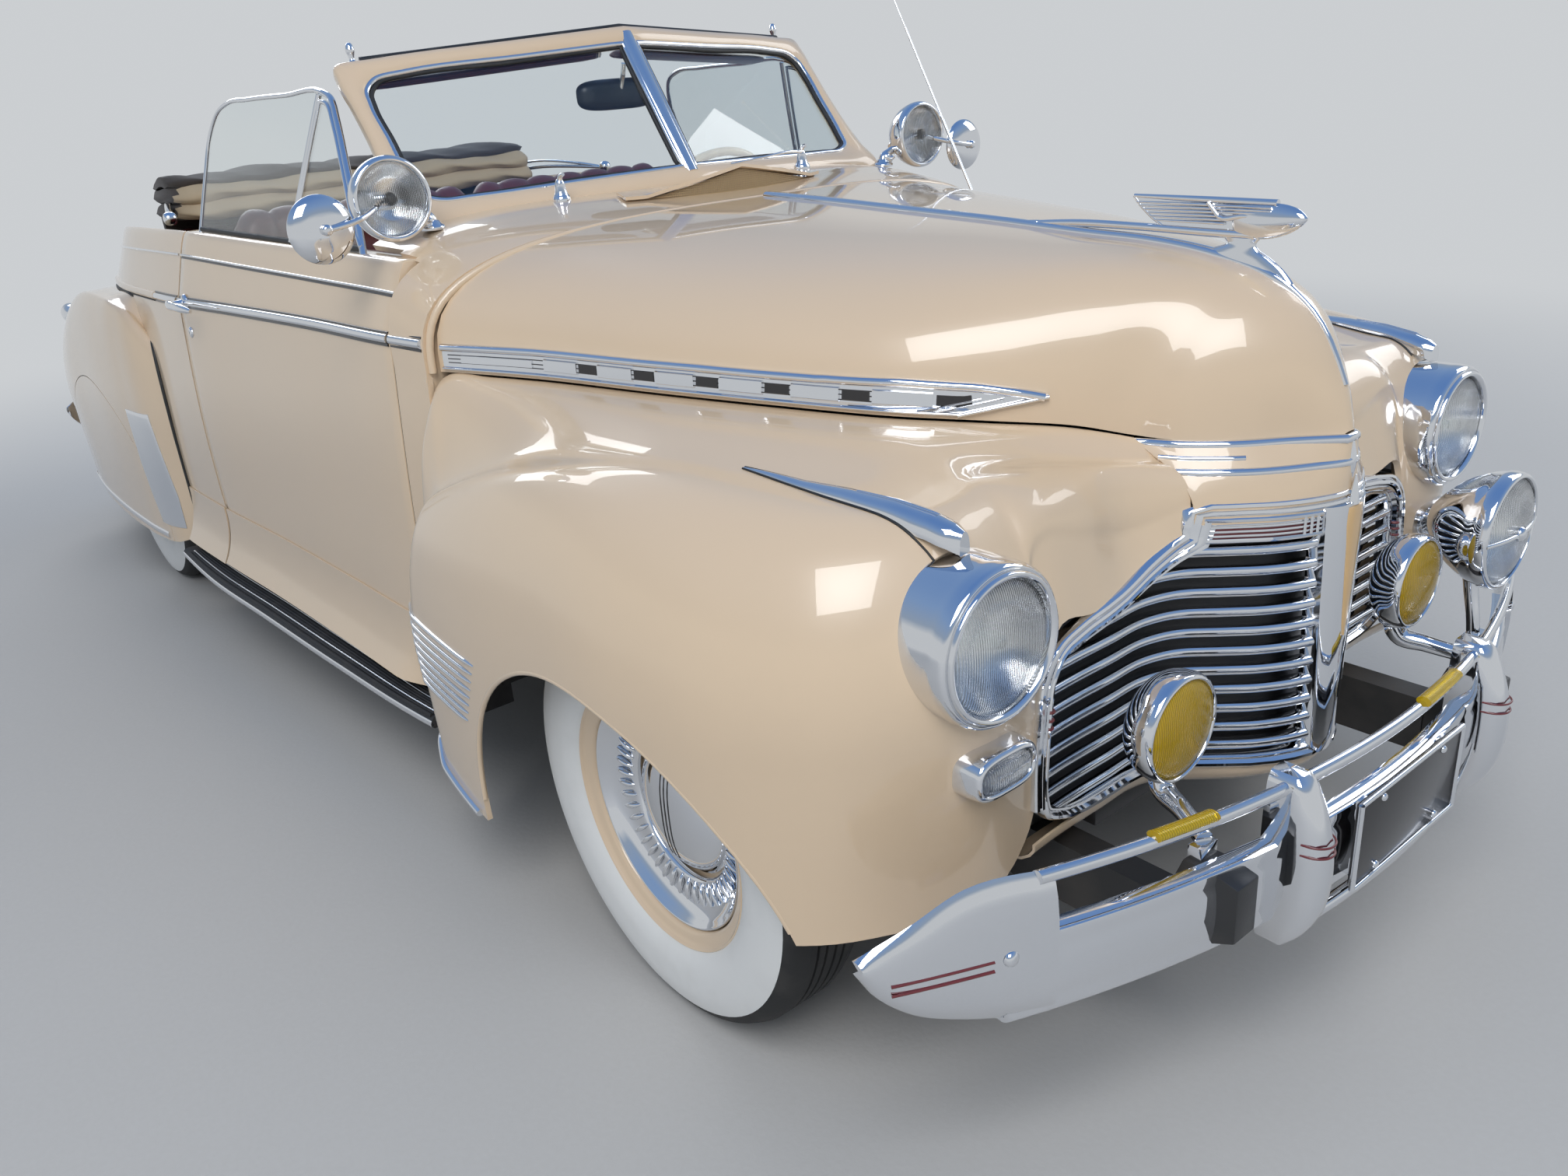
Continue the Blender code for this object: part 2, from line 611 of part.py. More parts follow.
# Front fender: apron foot, seam, crest, side and hem, each as half width, station and height.
FRONT_FENDER = (
    ((0.192, -0.43, 0.860), (0.196, -0.440, 0.892), (0.192, -0.475, 0.870), (0.192, -0.500, 0.830),
    (0.192, -0.510, 0.780)),
    ((0.262, -0.37, 0.870), (0.264, -0.372, 0.915), (0.270, -0.440, 0.890), (0.270, -0.490, 0.800),
    (0.270, -0.518, 0.735)),
    ((0.350, -0.29, 0.880), (0.342, -0.295, 0.930), (0.360, -0.400, 0.903), (0.360, -0.490, 0.820),
    (0.370, -0.518, 0.724)),
    ((0.440, -0.20, 0.560), (0.428, -0.190, 0.940), (0.460, -0.380, 0.910), (0.475, -0.490, 0.830),
    (0.474, -0.521, 0.703)),
    ((0.445, -0.12, 0.560), (0.462, -0.120, 0.944), (0.530, -0.405, 0.905), (0.514, -0.520, 0.660),
    (0.508, -0.515, 0.440)),
    ((0.450, -0.03, 0.560), (0.506, -0.020, 0.948), (0.605, -0.405, 0.905), (0.625, -0.530, 0.660),
    (0.605, -0.515, 0.370)),
    ((0.452, 0.06, 0.560), (0.537, 0.060, 0.950), (0.665, -0.335, 0.912), (0.770, -0.465, 0.660),
    (0.755, -0.455, 0.360)),
    ((0.455, 0.18, 0.560), (0.577, 0.180, 0.953), (0.705, -0.200, 0.922), (0.865, -0.325, 0.640),
    (0.855, -0.335, 0.340)),
    ((0.460, 0.31, 0.560), (0.617, 0.310, 0.955), (0.735, -0.020, 0.926), (0.912, -0.120, 0.620),
    (0.902, -0.120, 0.300)),
    ((0.470, 0.44, 0.540), (0.652, 0.440, 0.957), (0.775, 0.200, 0.900), (0.915, 0.150, 0.580),
    (0.912, 0.150, 0.240)),
    ((0.500, 0.56, 0.540), (0.697, 0.560, 0.958), (0.795, 0.420, 0.842), (0.912, 0.400, 0.520),
    (0.905, 0.400, 0.220)),
    ((0.520, 0.63, 0.540), (0.738, 0.645, 0.955), (0.803, 0.560, 0.790), (0.902, 0.550, 0.500),
    (0.893, 0.550, 0.235)),
    ((0.770, 0.67, 0.880), (0.770, 0.675, 0.905), (0.806, 0.630, 0.745), (0.886, 0.625, 0.500),
    (0.876, 0.625, 0.250)),
    ((0.790, 0.69, 0.800), (0.790, 0.692, 0.830), (0.809, 0.680, 0.690), (0.862, 0.675, 0.490),
    (0.853, 0.675, 0.262)),
    ((0.793, 0.72, 0.700), (0.793, 0.718, 0.720), (0.795, 0.724, 0.640), (0.798, 0.728, 0.490),
    (0.798, 0.728, 0.270)),
)
APRON_ROWS = range(3, 11)
ARCH_HALF = 0.400
ARCH_TOP = 0.635
ARCH_SPRING = 0.24
HEADLAMP = (0.603, -0.549, 0.761)
HEADLAMP_RADIUS = 0.1075
LAMP_SIDES = 20


def fender_row(foot, seam, crest, side, hem):
    foot, seam, crest, side, hem = (np.array(p) for p in (foot, seam, crest, side, hem))
    row = [foot, seam]
    for t in (0.35, 0.68, 1.0):
        # From the seam to the crest the height eases in, so that the valley beside the hood is soft.
        ease = t * t * (3 - 2 * t)
        p = seam + (crest - seam) * t
        p[2] = seam[2] + (crest[2] - seam[2]) * ease
        row.append(p)
    for turn in (30, 60, 90):
        a = math.radians(turn)
        p = crest + (side - crest) * math.sin(a)
        p[2] = side[2] + (crest[2] - side[2]) * math.cos(a)
        row.append(p)
    row.append(hem)
    return [at(*p) for p in row]


def side_block(start, end, low, high, outward):
    # A solid that follows the body side, for cutting what lies against it.
    stations = [start] + [s for s in np.array(SIDES)[:, 0] if start < s < end] + [end]
    rings = []
    for station in stations:
        heights = (low, BODY_BOTTOM, MIDDLE, side_row(station)[3], high)
        outer = [(side_x(station, z) + outward, z) for z in heights]
        inner = [(x - 0.12, z) for x, z in reversed(outer)]
        rings.append([at(x, station, z) for x, z in outer + inner])
    return loft(rings)


def front_fenders():
    grid = [fender_row(*line) for line in FRONT_FENDER]
    keep = np.ones((len(grid) - 1, len(grid[0]) - 1), bool)
    for r in range(len(grid) - 1):
        keep[r][0] = r in APRON_ROWS
    sheet = skin(np.array(grid)[:, ::-1], SHEET, keep[:, ::-1])
    turns = [math.radians(180 * k / 18) for k in range(19)]
    outline = [(ARCH_HALF * math.cos(t), ARCH_SPRING + (ARCH_TOP - ARCH_SPRING) * math.sin(t)) for t in turns]
    outline += [(-ARCH_HALF, 0.05), (ARCH_HALF, 0.05)]
    opening = prism(outline, 0.62, 1.1)
    lamp_hole = disc(at(HEADLAMP[0], -0.72, HEADLAMP[2]), (0, 1, 0), HEADLAMP_RADIUS + SEAT_GAP, 0.36,
        LAMP_SIDES)
    cowl_side = side_block(0.6695, 0.80, 0.20, 1.02, SEAT_GAP)
    pod = turned([(0, -0.032), (0.026, -0.030), (0.036, -0.018), (0.038, 0.03), (0, 0.03)],
        at(0.600, -0.525, 0.589), (0, 1, 0), 16)
    pod = ([(0.6 + (p[0] - 0.6) * 1.5, p[1], p[2]) for p in pod[0]], pod[1])
    for side, label in ((1, "left"), (-1, "right")):
        node(f"front_fender_{label}", sided([sheet, pod], side), CREAM,
            cuts=sided([opening, lamp_hole, cowl_side], side))


def headlamps():
    profile = [(0, -0.004), (0.050, -0.012), (0.088, -0.002), (0.092, -0.008), (0.101, -0.010),
        (HEADLAMP_RADIUS, 0.0)]
    profile += [(HEADLAMP_RADIUS, 0.085), (0.085, 0.12), (0.045, 0.14), (0, 0.145)]
    for side, label in ((1, "left"), (-1, "right")):
        centre = at(side * HEADLAMP[0], HEADLAMP[1], HEADLAMP[2])
        node(f"headlamp_{label}", [turned(profile, centre, (0, 1, 0), LAMP_SIDES)], CHROME)


# Rear fender: seam, crest, side and hem. The seam's half width comes from the body side.
REAR_FENDER = (
    ((2.490, 0.975), (0.826, 2.380, 0.870), (0.850, 2.305, 0.600), (0.8475, 2.300, 0.305)),
    ((2.520, 0.980), (0.850, 2.460, 0.935), (0.892, 2.400, 0.600), (0.892, 2.385, 0.275)),
    ((2.600, 0.982), (0.865, 2.570, 0.960), (0.912, 2.530, 0.600), (0.912, 2.520, 0.262)),
    ((2.760, 0.972), (0.862, 2.730, 0.966), (0.925, 2.710, 0.600), (0.922, 2.710, 0.255)),
    ((3.050, 0.955), (0.850, 3.050, 0.952), (0.925, 3.030, 0.600), (0.925, 3.030, 0.255)),
    ((3.350, 0.898), (0.822, 3.350, 0.892), (0.920, 3.320, 0.580), (0.912, 3.310, 0.262)),
    ((3.620, 0.815), (0.772, 3.650, 0.802), (0.882, 3.620, 0.560), (0.872, 3.600, 0.280)),
    ((3.820, 0.700), (0.702, 3.870, 0.690), (0.800, 3.870, 0.530), (0.790, 3.850, 0.300)),
    ((3.930, 0.560), (0.600, 3.965, 0.560), (0.650, 3.975, 0.470), (0.650, 3.960, 0.330)),
    ((3.960, 0.480), (0.520, 3.980, 0.500), (0.535, 3.990, 0.450), (0.535, 3.975, 0.350)),
)
SKIRT_CENTRE = 2.95
SKIRT_HALF = 0.52
SKIRT_TOP = 0.705
SKIRT_SPRING = 0.26


def rear_fenders():
    grid = []
    for (seam_s, seam_z), crest, side, hem in REAR_FENDER:
        seam = (side_x(seam_s, seam_z) - 0.010, seam_s, seam_z)
        grid.append(fender_row(seam, seam, crest, side, hem)[1:])
    grid = np.array(grid)[:, ::-1]
    sheet = skin(grid, SHEET)
    cutter = skin(grid, 0.08, None, SEAT_GAP)

    def ellipse(gap):
        turns = [math.radians(180 * k / 20) for k in range(21)]
        half, top = SKIRT_HALF - gap, SKIRT_TOP - SKIRT_SPRING - gap
        outline = [(SKIRT_CENTRE + half * math.cos(t), SKIRT_SPRING + top * math.sin(t)) for t in turns]
        outline += [(SKIRT_CENTRE - half, 0.1), (SKIRT_CENTRE + half, 0.1)]
        return prism(outline, 0.84, 1.1)

    sides = np.array([[at(*p) for p in rear_half(*line)][: len(REAR_UP) + 1] for line in REAR])
    body_side = skin(sides, 0.12, None, WELT)
    lamp = [(0, -0.075), (0.020, -0.070), (0.034, -0.045), (0.040, -0.01), (0.040, 0.030), (0.036, 0.046),
        (0.02, 0.054), (0, 0.056)]
    for side, label in ((1, "left"), (-1, "right")):
        node(f"rear_fender_{label}", sided([sheet], side), CREAM,
            cuts=sided([ellipse(0.0), body_side], side), solver="MANIFOLD")
        node(f"fender_skirt_{label}", sided([sheet], side), CREAM,
            within=sided([ellipse(0.001)], side)[0], solver="MANIFOLD")
        centre = at(side * 0.79, 3.69, 0.815)
        node(f"taillight_{label}", [turned(lamp, centre, (0, 1, 0), 16)], CHROME,
            cuts=sided([cutter], side))


# Running boards: station | outer edge. The inner edge follows the body side.
BOARDS = ((0.738, 0.850), (0.79, 0.856), (1.16, 0.882), (1.60, 0.904), (1.97, 0.922), (2.292, 0.915))
BOARD_TOP = 0.285
BOARD_THICKNESS = 0.03


def running_boards():
    rings = []
    for station, outer in BOARDS:
        t, b = BOARD_TOP, BOARD_TOP - BOARD_THICKNESS
        inner = side_x(station, BODY_BOTTOM) - 0.002
        ring = [(inner, t), (outer - 0.012, t), (outer, t - 0.010), (outer - 0.004, b), (inner, b)]
        rings.append([at(x, station, z) for x, z in ring])
    for side, label in ((1, "left"), (-1, "right")):
        node(f"running_board_{label}", sided([loft(rings)], side), RUBBER)


# Nose and grille follow one plan: half width | station.
NOSE_PLAN = (
    (0.0, -0.660), (0.05, -0.652), (0.11, -0.616), (0.155, -0.575), (0.205, -0.530),
    (0.25, -0.516), (0.33, -0.515), (0.467, -0.517), (0.50, -0.520),
)


def nose_s(x):
    table = np.array(NOSE_PLAN)
    return float(np.interp(abs(x), table[:, 0], table[:, 1]))


GRILLE_OUTLINE = (
    (0.0, 0.812), (0.185, 0.812), (0.190, 0.776), (0.230, 0.752), (0.275, 0.727), (0.340, 0.711),
    (0.405, 0.700), (0.450, 0.685), (0.470, 0.662), (0.486, 0.560), (0.488, 0.470),
    (0.455, 0.430), (0.290, 0.412), (0.150, 0.408), (0.050, 0.408), (0.0, 0.408),
)
BAR_TOP = 0.757
BAR_PITCH = 0.0312
BAR_COUNT = 11
BAR_HEIGHT = 0.013
BAR_DEPTH = 0.020
FRAME_BAND = 0.018


def grille_half(z):
    # The half width inside the frame at a height, read from the outline's outer side.
    outer = [(x, h) for x, h in GRILLE_OUTLINE if x > 0.1][1:12]
    heights = [h for x, h in outer][::-1]
    widths = [x for x, h in outer][::-1]
    return float(np.interp(z, heights, widths))


def plan_bar(half, z, height, depth, setback):
    xs = sorted({round(x, 4) for x, s in NOSE_PLAN if x < min(half - 0.01, 0.3)} | {round(half, 4)})
    xs = [-x for x in reversed(xs) if x > 0] + xs
    rings = []
    for x in xs:
        s = nose_s(x) + setback
        h = height / 2
        rings.append([at(x, s, z), at(x, s + depth, z - h), at(x, s + depth, z + h)])
    return loft(rings)


def grille():
    pieces = []
    loop = [(x, z) for x, z in GRILLE_OUTLINE] + [(-x, z) for x, z in GRILLE_OUTLINE[::-1] if x > 0]
    rings = []
    centre = Vector((0.0, 0.60))
    for i, (x, z) in enumerate(loop):
        before, after = Vector(loop[i - 1]), Vector(loop[(i + 1) % len(loop)])
        heading = (after - before).normalized()
        inward = Vector((-heading.y, heading.x))
        if inward.dot(centre - Vector((x, z))) < 0:
            inward = -inward
        band = Vector((x, z)) + inward * FRAME_BAND
        s, t = nose_s(x), nose_s(band.x)
        rings.append([at(x, s - 0.004, z), at(band.x, t - 0.004, band.y), at(band.x, t + 0.028, band.y),
            at(x, s + 0.028, z)])
    pieces.append(hoop(rings))
    for k in range(BAR_COUNT):
        z = BAR_TOP - k * BAR_PITCH
        pieces.append(plan_bar(grille_half(z) - 0.008, z, BAR_HEIGHT, BAR_DEPTH, 0.0))
    pieces.append(plan_bar(0.188, 0.785, 0.030, 0.018, -0.002))
    rib = [(-0.045, 0.0), (-0.030, -0.016), (0.030, -0.016), (0.045, 0.0), (0.045, 0.040),
        (-0.045, 0.040)]
    pieces.append(loft([[at(x, nose_s(0) + s + 0.006, z) for x, s in rib] for z in (0.415, 0.805)]))
    node("grille", pieces, CHROME)


def nose_panel():
    # The prow over the grille, the radiator support behind it and the valance below.
    xs = [-0.188, -0.155, -0.11, -0.05, 0.0, 0.05, 0.11, 0.155, 0.188]
    rings = []
    for x in xs:
        s = nose_s(x)
        rings.append([at(x, s, 0.817), at(x, s, 0.893), at(x, s + 0.03, 0.899), at(x, s + 0.03, 0.817)])
    prow = loft(rings)
    shelf = prism(((-0.640, 0.872), (-0.640, 0.890), (-0.415, 0.890), (-0.415, 0.872)), -0.045, 0.045)
    brace = prism(((-0.500, 0.852), (-0.500, 0.872), (-0.400, 0.872), (-0.400, 0.852)), -0.17, 0.17)
    support = prism(((-0.430, 0.3525), (-0.430, 0.872), (-0.400, 0.872), (-0.400, 0.3525)), -0.345, 0.345)
    window = prism(((-0.50, 0.43), (-0.50, 0.83), (-0.30, 0.83), (-0.30, 0.43)), -0.28, 0.28)
    low = []
    for x in (-0.50, -0.40, -0.30, -0.205, -0.11, 0.0, 0.11, 0.205, 0.30, 0.40, 0.50):
        s = nose_s(x)
        low.append([at(x, s + 0.004, 0.402), at(x, s + 0.055, 0.368), at(x, s + 0.065, 0.374),
            at(x, s + 0.016, 0.402)])
    foot = prism(((-0.500, 0.356), (-0.500, 0.385), (-0.400, 0.385), (-0.400, 0.356)), -0.34, 0.34)
    rest = prism(((-0.430, 0.3525), (-0.430, 0.385), (-0.400, 0.385), (-0.400, 0.3525)), -0.40, 0.40)
    node("nose_panel", [support, prow, shelf, brace, loft(low), foot, rest], CREAM, cuts=[window])


def radiator():
    core = box(at(-0.2795, -0.428, 0.4305), at(0.2795, -0.375, 0.8295))
    tank = box(at(-0.30, -0.3995, 0.80), at(0.30, -0.335, 0.85))
    tank_low = box(at(-0.30, -0.3995, 0.40), at(0.30, -0.335, 0.46))
    node("radiator", [core, tank, tank_low], BLACK)


# Bumpers: the face's station falls back with the square of the distance from the centre.
BUMPER_BEND = 0.295
BUMPER_FACE = -0.790
REAR_FACE = 4.140
GUARD_X = 0.267
BRACKET_TOP = 0.425
TIP = ((0.640, 0.297, 0.514), (0.745, 0.322, 0.517), (0.810, 0.351, 0.482), (0.850, 0.390, 0.462),
    (0.872, 0.430, 0.450))


def bumper(face, heading, guard_reach, rail_x, brackets):
    # heading is -1 for the front and 1 for the rear, and depth runs back from the face.
    def face_s(x):
        return face - heading * BUMPER_BEND * x * x

    def sweep(xs, section):
        return loft([[at(x, face_s(x) - heading * d, z) for d, z in section(x)] for x in xs])

    def main_section(x):
        top, low = BUMPER_TOP, BUMPER_BOTTOM
        return [(0.030, low), (0.007, low + 0.004), (0.0, low + 0.03), (0.0, top - 0.03),
            (0.007, top - 0.004), (0.030, top)]

    def tip_section(x):
        low = float(np.interp(x, [t[0] for t in TIP], [t[1] for t in TIP]))
        top = float(np.interp(x, [t[0] for t in TIP], [t[2] for t in TIP]))
        edge = (top - low) * 0.2
        return [(0.012, low), (0.0, low + edge), (-0.004, (low + top) / 2), (0.0, top - edge),
            (0.012, top)]

    def rail_section(x):
        return [(0.016, 0.500), (0.0, 0.503), (0.0, 0.517), (0.016, 0.520)]

    wide = (-0.70, -0.55, -0.40, -0.267, -0.13, 0.0, 0.13, 0.267, 0.40, 0.55, 0.70)
    pieces = [sweep(wide, main_section), sweep(wide[1:-1], rail_section)]
    ends = [sweep([t[0] for t in TIP], tip_section), sweep((0.50, 0.60, 0.66), rail_section)]
    guard = []
    for z, reach, half in ((0.263, 0.002, 0.022), (0.290, 0.022, 0.027), (0.40, guard_reach, 0.028),
            (0.500, 0.022, 0.027), (0.529, 0.002, 0.020)):
        s = face_s(GUARD_X)
        ring = [(-half, 0.04), (-half, -reach * 0.4), (-half * 0.5, -reach), (half * 0.5, -reach),
            (half, -reach * 0.4), (half, 0.04)]
        guard.append([at(GUARD_X + dx, s - heading * d, z) for dx, d in ring])
    ends.append(loft(guard))
    ends.append(prism(brackets, rail_x - RAIL_WIDTH / 2, rail_x + RAIL_WIDTH / 2))
    for piece in ends:
        pieces += [piece, flipped(piece)]
    pieces.append(sweep((-GUARD_X, 0.0, GUARD_X),
        lambda x: [(0.020, 0.257), (0.0, 0.260), (0.0, 0.278), (0.020, 0.281)]))
    return pieces


def bumpers():
    end = RAIL[0][1] - SEAT_GAP
    top = RAIL[0][2] + RAIL_HEIGHT / 2
    brackets = ((-0.730, 0.31), (-0.730, BRACKET_TOP), (-0.688, BRACKET_TOP), (end, top),
        (end, top - RAIL_HEIGHT))
    front = bumper(BUMPER_FACE, -1, 0.051, RAIL[0][0], brackets)
    s = BUMPER_FACE - 0.013
    plate = loft([[at(x, s + d, z) for x, z in ((-0.155, 0.298), (0.155, 0.298), (0.155, 0.441),
        (-0.155, 0.441))] for d in (0.0, 0.02)])
    node("front_bumper", front + [plate], CHROME)
    end = RAIL[-1][1] + SEAT_GAP
    top = RAIL[-1][2] + RAIL_HEIGHT / 2
    rear = bumper(REAR_FACE, 1, 0.031, RAIL[-1][0],
        ((4.07, 0.31), (4.07, 0.38), (end, top), (end, top - RAIL_HEIGHT)))
    node("rear_bumper", rear, CHROME)


def front_lamps():
    pod = [(0, -0.012), (0.045, -0.008), (0.074, 0.002), (0.080, 0.010), (0.080, 0.022), (0.070, 0.040),
        (0.045, 0.060), (0.02, 0.068), (0, 0.070)]
    for side, label in ((1, "left"), (-1, "right")):
        centre = at(side * 0.335, -0.632, 0.570)
        route = ((0.335, -0.600, 0.520), (0.336, -0.605, 0.480), (0.352, -0.650, 0.458),
            (0.374, -0.698, 0.440))
        post = tube([at(side * x, s, z) for x, s, z in route], 0.011)
        foot = box(at(side * 0.380 - 0.018, -0.711, BRACKET_TOP + SEAT_GAP),
            at(side * 0.380 + 0.018, -0.690, BRACKET_TOP + 0.020))
        node(f"fog_lamp_{label}", [turned(pod, centre, (0, 1, 0), 16), post, foot], CHROME)
    big = [(0, -0.012), (0.060, -0.006), (0.094, 0.004), (0.1025, 0.012), (0.1025, 0.026), (0.088, 0.060),
        (0.055, 0.105), (0.02, 0.128), (0, 0.132)]
    centre = at(0.520, -0.690, 0.620)
    stem = tube([at(0.520, -0.640, 0.560), at(0.520, -0.645, 0.500), at(0.520, -0.655, 0.450),
        at(0.520, -0.661, 0.400)], 0.011)
    clamp = box(at(0.500, -0.6735, 0.345), at(0.540, -0.650, 0.425))
    node("driving_lamp", [turned(big, centre, (0, 1, 0), 20), stem, clamp], CHROME)


# Frame rails: half width | station | height of the centre.
RAIL = (
    (0.380, -0.660, 0.302), (0.380, -0.400, 0.302), (0.380, -0.120, 0.400), (0.400, 0.300, 0.350),
    (0.450, 0.800, 0.255),
    (0.480, 1.600, 0.250), (0.490, 2.400, 0.250), (0.490, 2.660, 0.455), (0.490, 3.200, 0.460),
    (0.480, 3.620, 0.440), (0.440, 3.950, 0.340),
)
RAIL_WIDTH = 0.050
RAIL_HEIGHT = 0.100
PAD_DROP = 0.012


def rail_at(station):
    table = np.array(RAIL)
    return [float(np.interp(station, table[:, 1], table[:, k])) for k in (0, 2)]


def frame():
    for side, label in ((1, "left"), (-1, "right")):
        pieces = [bar(RAIL, RAIL_WIDTH, RAIL_HEIGHT)]
        for station in (1.0, 2.1):
            x, z = rail_at(station)
            low = z - RAIL_HEIGHT / 2 - PAD_DROP
            pieces.append(box(at(x - 0.03, station - 0.04, low),
                at(x + 0.03, station + 0.04, low + 0.03)))
        node(f"frame_rail_{label}", sided(pieces, side), BLACK)
    x, z = rail_at(0.98)
    inner = x - RAIL_WIDTH / 2 - SEAT_GAP
    node("cross_member_middle", [box(at(-inner, 0.98, z - 0.03), at(inner, 1.06, z + 0.03))], BLACK)
    x, z = rail_at(3.92)
    inner = x - RAIL_WIDTH / 2 - SEAT_GAP
    node("cross_member_rear", [box(at(-inner, 3.87, z - 0.02), at(inner, 3.92, z + 0.04))], BLACK)


def floor():
    half = 0.60
    t = FLOOR_THICKNESS
    spine = ((0.700, 0.62), (0.700 + t, 0.62), (0.960, FLOOR_TOP), (2.36, FLOOR_TOP),
        (2.36, REAR_FLOOR_TOP), (3.46, REAR_FLOOR_TOP),
             (3.46, REAR_FLOOR_TOP - t), (2.38, REAR_FLOOR_TOP - t), (2.38, FLOOR_TOP - t),
             (0.945, FLOOR_TOP - t), (0.700, 0.60))
    boot = ((3.44, REAR_FLOOR_TOP - t), (3.44, REAR_FLOOR_TOP), (3.93, REAR_FLOOR_TOP),
        (3.93, REAR_FLOOR_TOP - t))
    pieces = [prism(spine, -half, half), prism(boot, -0.43, 0.43)]
    tunnel = ((0.700, 0.47), (2.37, 0.47), (2.37, 0.32), (0.700, 0.32))
    pieces.append(prism(tunnel, -0.14, 0.14))
    bore = prism(((0.65, 0.452), (2.50, 0.452), (2.50, 0.20), (0.65, 0.20)), -0.12, 0.12)
    side_pieces = [prism(((0.70, FLOOR_TOP - t), (0.70, FLOOR_TOP), (2.38, FLOOR_TOP),
        (2.38, FLOOR_TOP - t)), 0.59, 0.700)]
    rings = []
    for station in (0.79, 1.16, 1.60, 1.97):
        x = side_x(station, BODY_BOTTOM)
        rings.append([at(x - 0.0023, station, z) for z in (0.262, 0.298)] + [at(x - WALL - 0.006, station,
            0.298), at(x - WALL - 0.006, station, 0.345), at(0.68, station, 0.345),
            at(0.68, station, 0.262)])
    side_pieces.append(loft(rings))
    # Pads carry the body: outer ones under the cowl and the rear body, inner ones on the frame rails.
    for start, end, outer in ((0.705, 0.775, 0.772), (2.05, 2.25, 0.832)):
        side_pieces.append(box(at(0.66, start, 0.262), at(outer, end, BODY_BOTTOM - SEAT_GAP)))
        side_pieces.append(box(at(0.66, start, 0.262), at(0.70, end, FLOOR_TOP)))
    for station, floor_z in ((1.90, FLOOR_TOP), (3.00, REAR_FLOOR_TOP)):
        x, z = rail_at(station)
        rail_top = z + RAIL_HEIGHT / 2 + SEAT_GAP
        side_pieces.append(box(at(x - 0.02, station - 0.02, rail_top),
            at(x + 0.02, station + 0.02, floor_z - t / 2)))
    # The wheelhouse stands between the rear wheel and the seat.
    side_pieces.append(prism(((2.36, 0.31), (2.36, 0.93), (3.36, 0.93), (3.46, 0.84), (3.46, 0.53),
        (2.38, 0.53), (2.38, 0.31)), 0.588, 0.600))
    side_pieces.append(prism(((2.36, 0.31), (2.36, 0.93), (2.38, 0.93), (2.38, 0.31)), 0.59, 0.765))
    for piece in list(side_pieces):
        pieces += [piece, flipped(piece)]
    pieces.append(prism(((2.985, 0.54), (2.985, 1.065), (3.005, 1.065), (3.005, 0.54)), -0.598, 0.598))
    node("floor_pan", pieces, BLACK, cuts=[bore])


def engine():
    block = box(at(-0.20, -0.22, 0.44), at(0.20, 0.50, 0.84))
    sump = box(at(-0.14, -0.15, 0.3185), at(0.14, 0.45, 0.45))
    head = box(at(-0.14, -0.20, 0.83), at(0.14, 0.48, 0.96))
    bell = prism(((0.45, 0.30), (0.45, 0.58), (0.58, 0.50), (0.65, 0.445), (0.96, 0.435), (0.96, 0.33),
        (0.60, 0.30)), -0.11, 0.11)
    lug = box(at(0.13, -0.10, 0.36), at(rail_at(-0.10)[0] - RAIL_WIDTH / 2 - SEAT_GAP, -0.07, 0.46))
    node("engine", [block, sump, head, bell, lug, flipped(lug)], STEEL)


# Suspension and axles
def front_suspension():
    z = TYRE_RADIUS
    inner = rail_at(-0.06)[0] - RAIL_WIDTH / 2 - SEAT_GAP
    cross = box(at(-inner, -0.06, 0.245), at(inner, 0.06, 0.318))
    pieces = [cross]
    for side in (1, -1):
        lower = loft([[(side * x * OVERALL_WIDTH / TABLE_WIDTH, FRONT_AXLE_Y + y * w, zz) for y in (-1,
            1) for zz in ((zc - 0.012, zc + 0.012) if y < 0 else (zc + 0.012, zc - 0.012))]
                      for x, w, zc in ((0.30, 0.15, 0.262), (0.641, 0.035, z - 0.117))])
        pieces.append(lower)
        spring = disc((side * 0.50, FRONT_AXLE_Y, 0.255), (0, 0, 1), 0.05, 0.195, 12)
        pieces.append(spring)
        upper = box((min(side * 0.42, side * 0.641), FRONT_AXLE_Y - 0.04, z + 0.1005),
            (max(side * 0.42, side * 0.641), FRONT_AXLE_Y + 0.04, z + 0.1205))
        tower = box((min(side * 0.415, side * 0.445), FRONT_AXLE_Y - 0.04, 0.25),
            (max(side * 0.415, side * 0.445), FRONT_AXLE_Y + 0.04, z + 0.12))
        pieces.append(tower)
        pieces.append(upper)
    node("front_suspension", pieces, BLACK)


# The brake plate and steering arm stay clear of the suspension arms through the whole steering range.
BRAKE_PLATE_RADIUS = 0.090
STEERING_ARM = ((0.595, 0.0, -0.080), (0.630, 0.15, -0.055))


def knuckle(side, label, wheel_x):
    z = TYRE_RADIUS
    pin = at(side * KINGPIN_X, 0, z)
    post = disc((pin[0], pin[1], z - 0.100), (0, 0, 1), 0.022, 0.200, 12)
    back = wheel_x - HUB_DEPTH - SEAT_GAP
    plate = disc((side * (back - 0.012), pin[1], z), (side, 0, 0), BRAKE_PLATE_RADIUS, 0.012, 16)
    spindle = disc((side * (KINGPIN_X - 0.02), pin[1], z), (side, 0, 0), 0.03,
        back - KINGPIN_X + 0.02 - 0.001, 12)
    (inner, start, low), (outer, end, high) = STEERING_ARM
    edges = sorted((side * inner, side * outer))
    arm = box((edges[0], pin[1] + start, z + low), (edges[1], pin[1] + end, z + high))
    return node(f"knuckle_{label}", [post, plate, spindle, arm], BLACK, pin)


HUB_DEPTH = 0.070
WHEEL_SIDES = 20


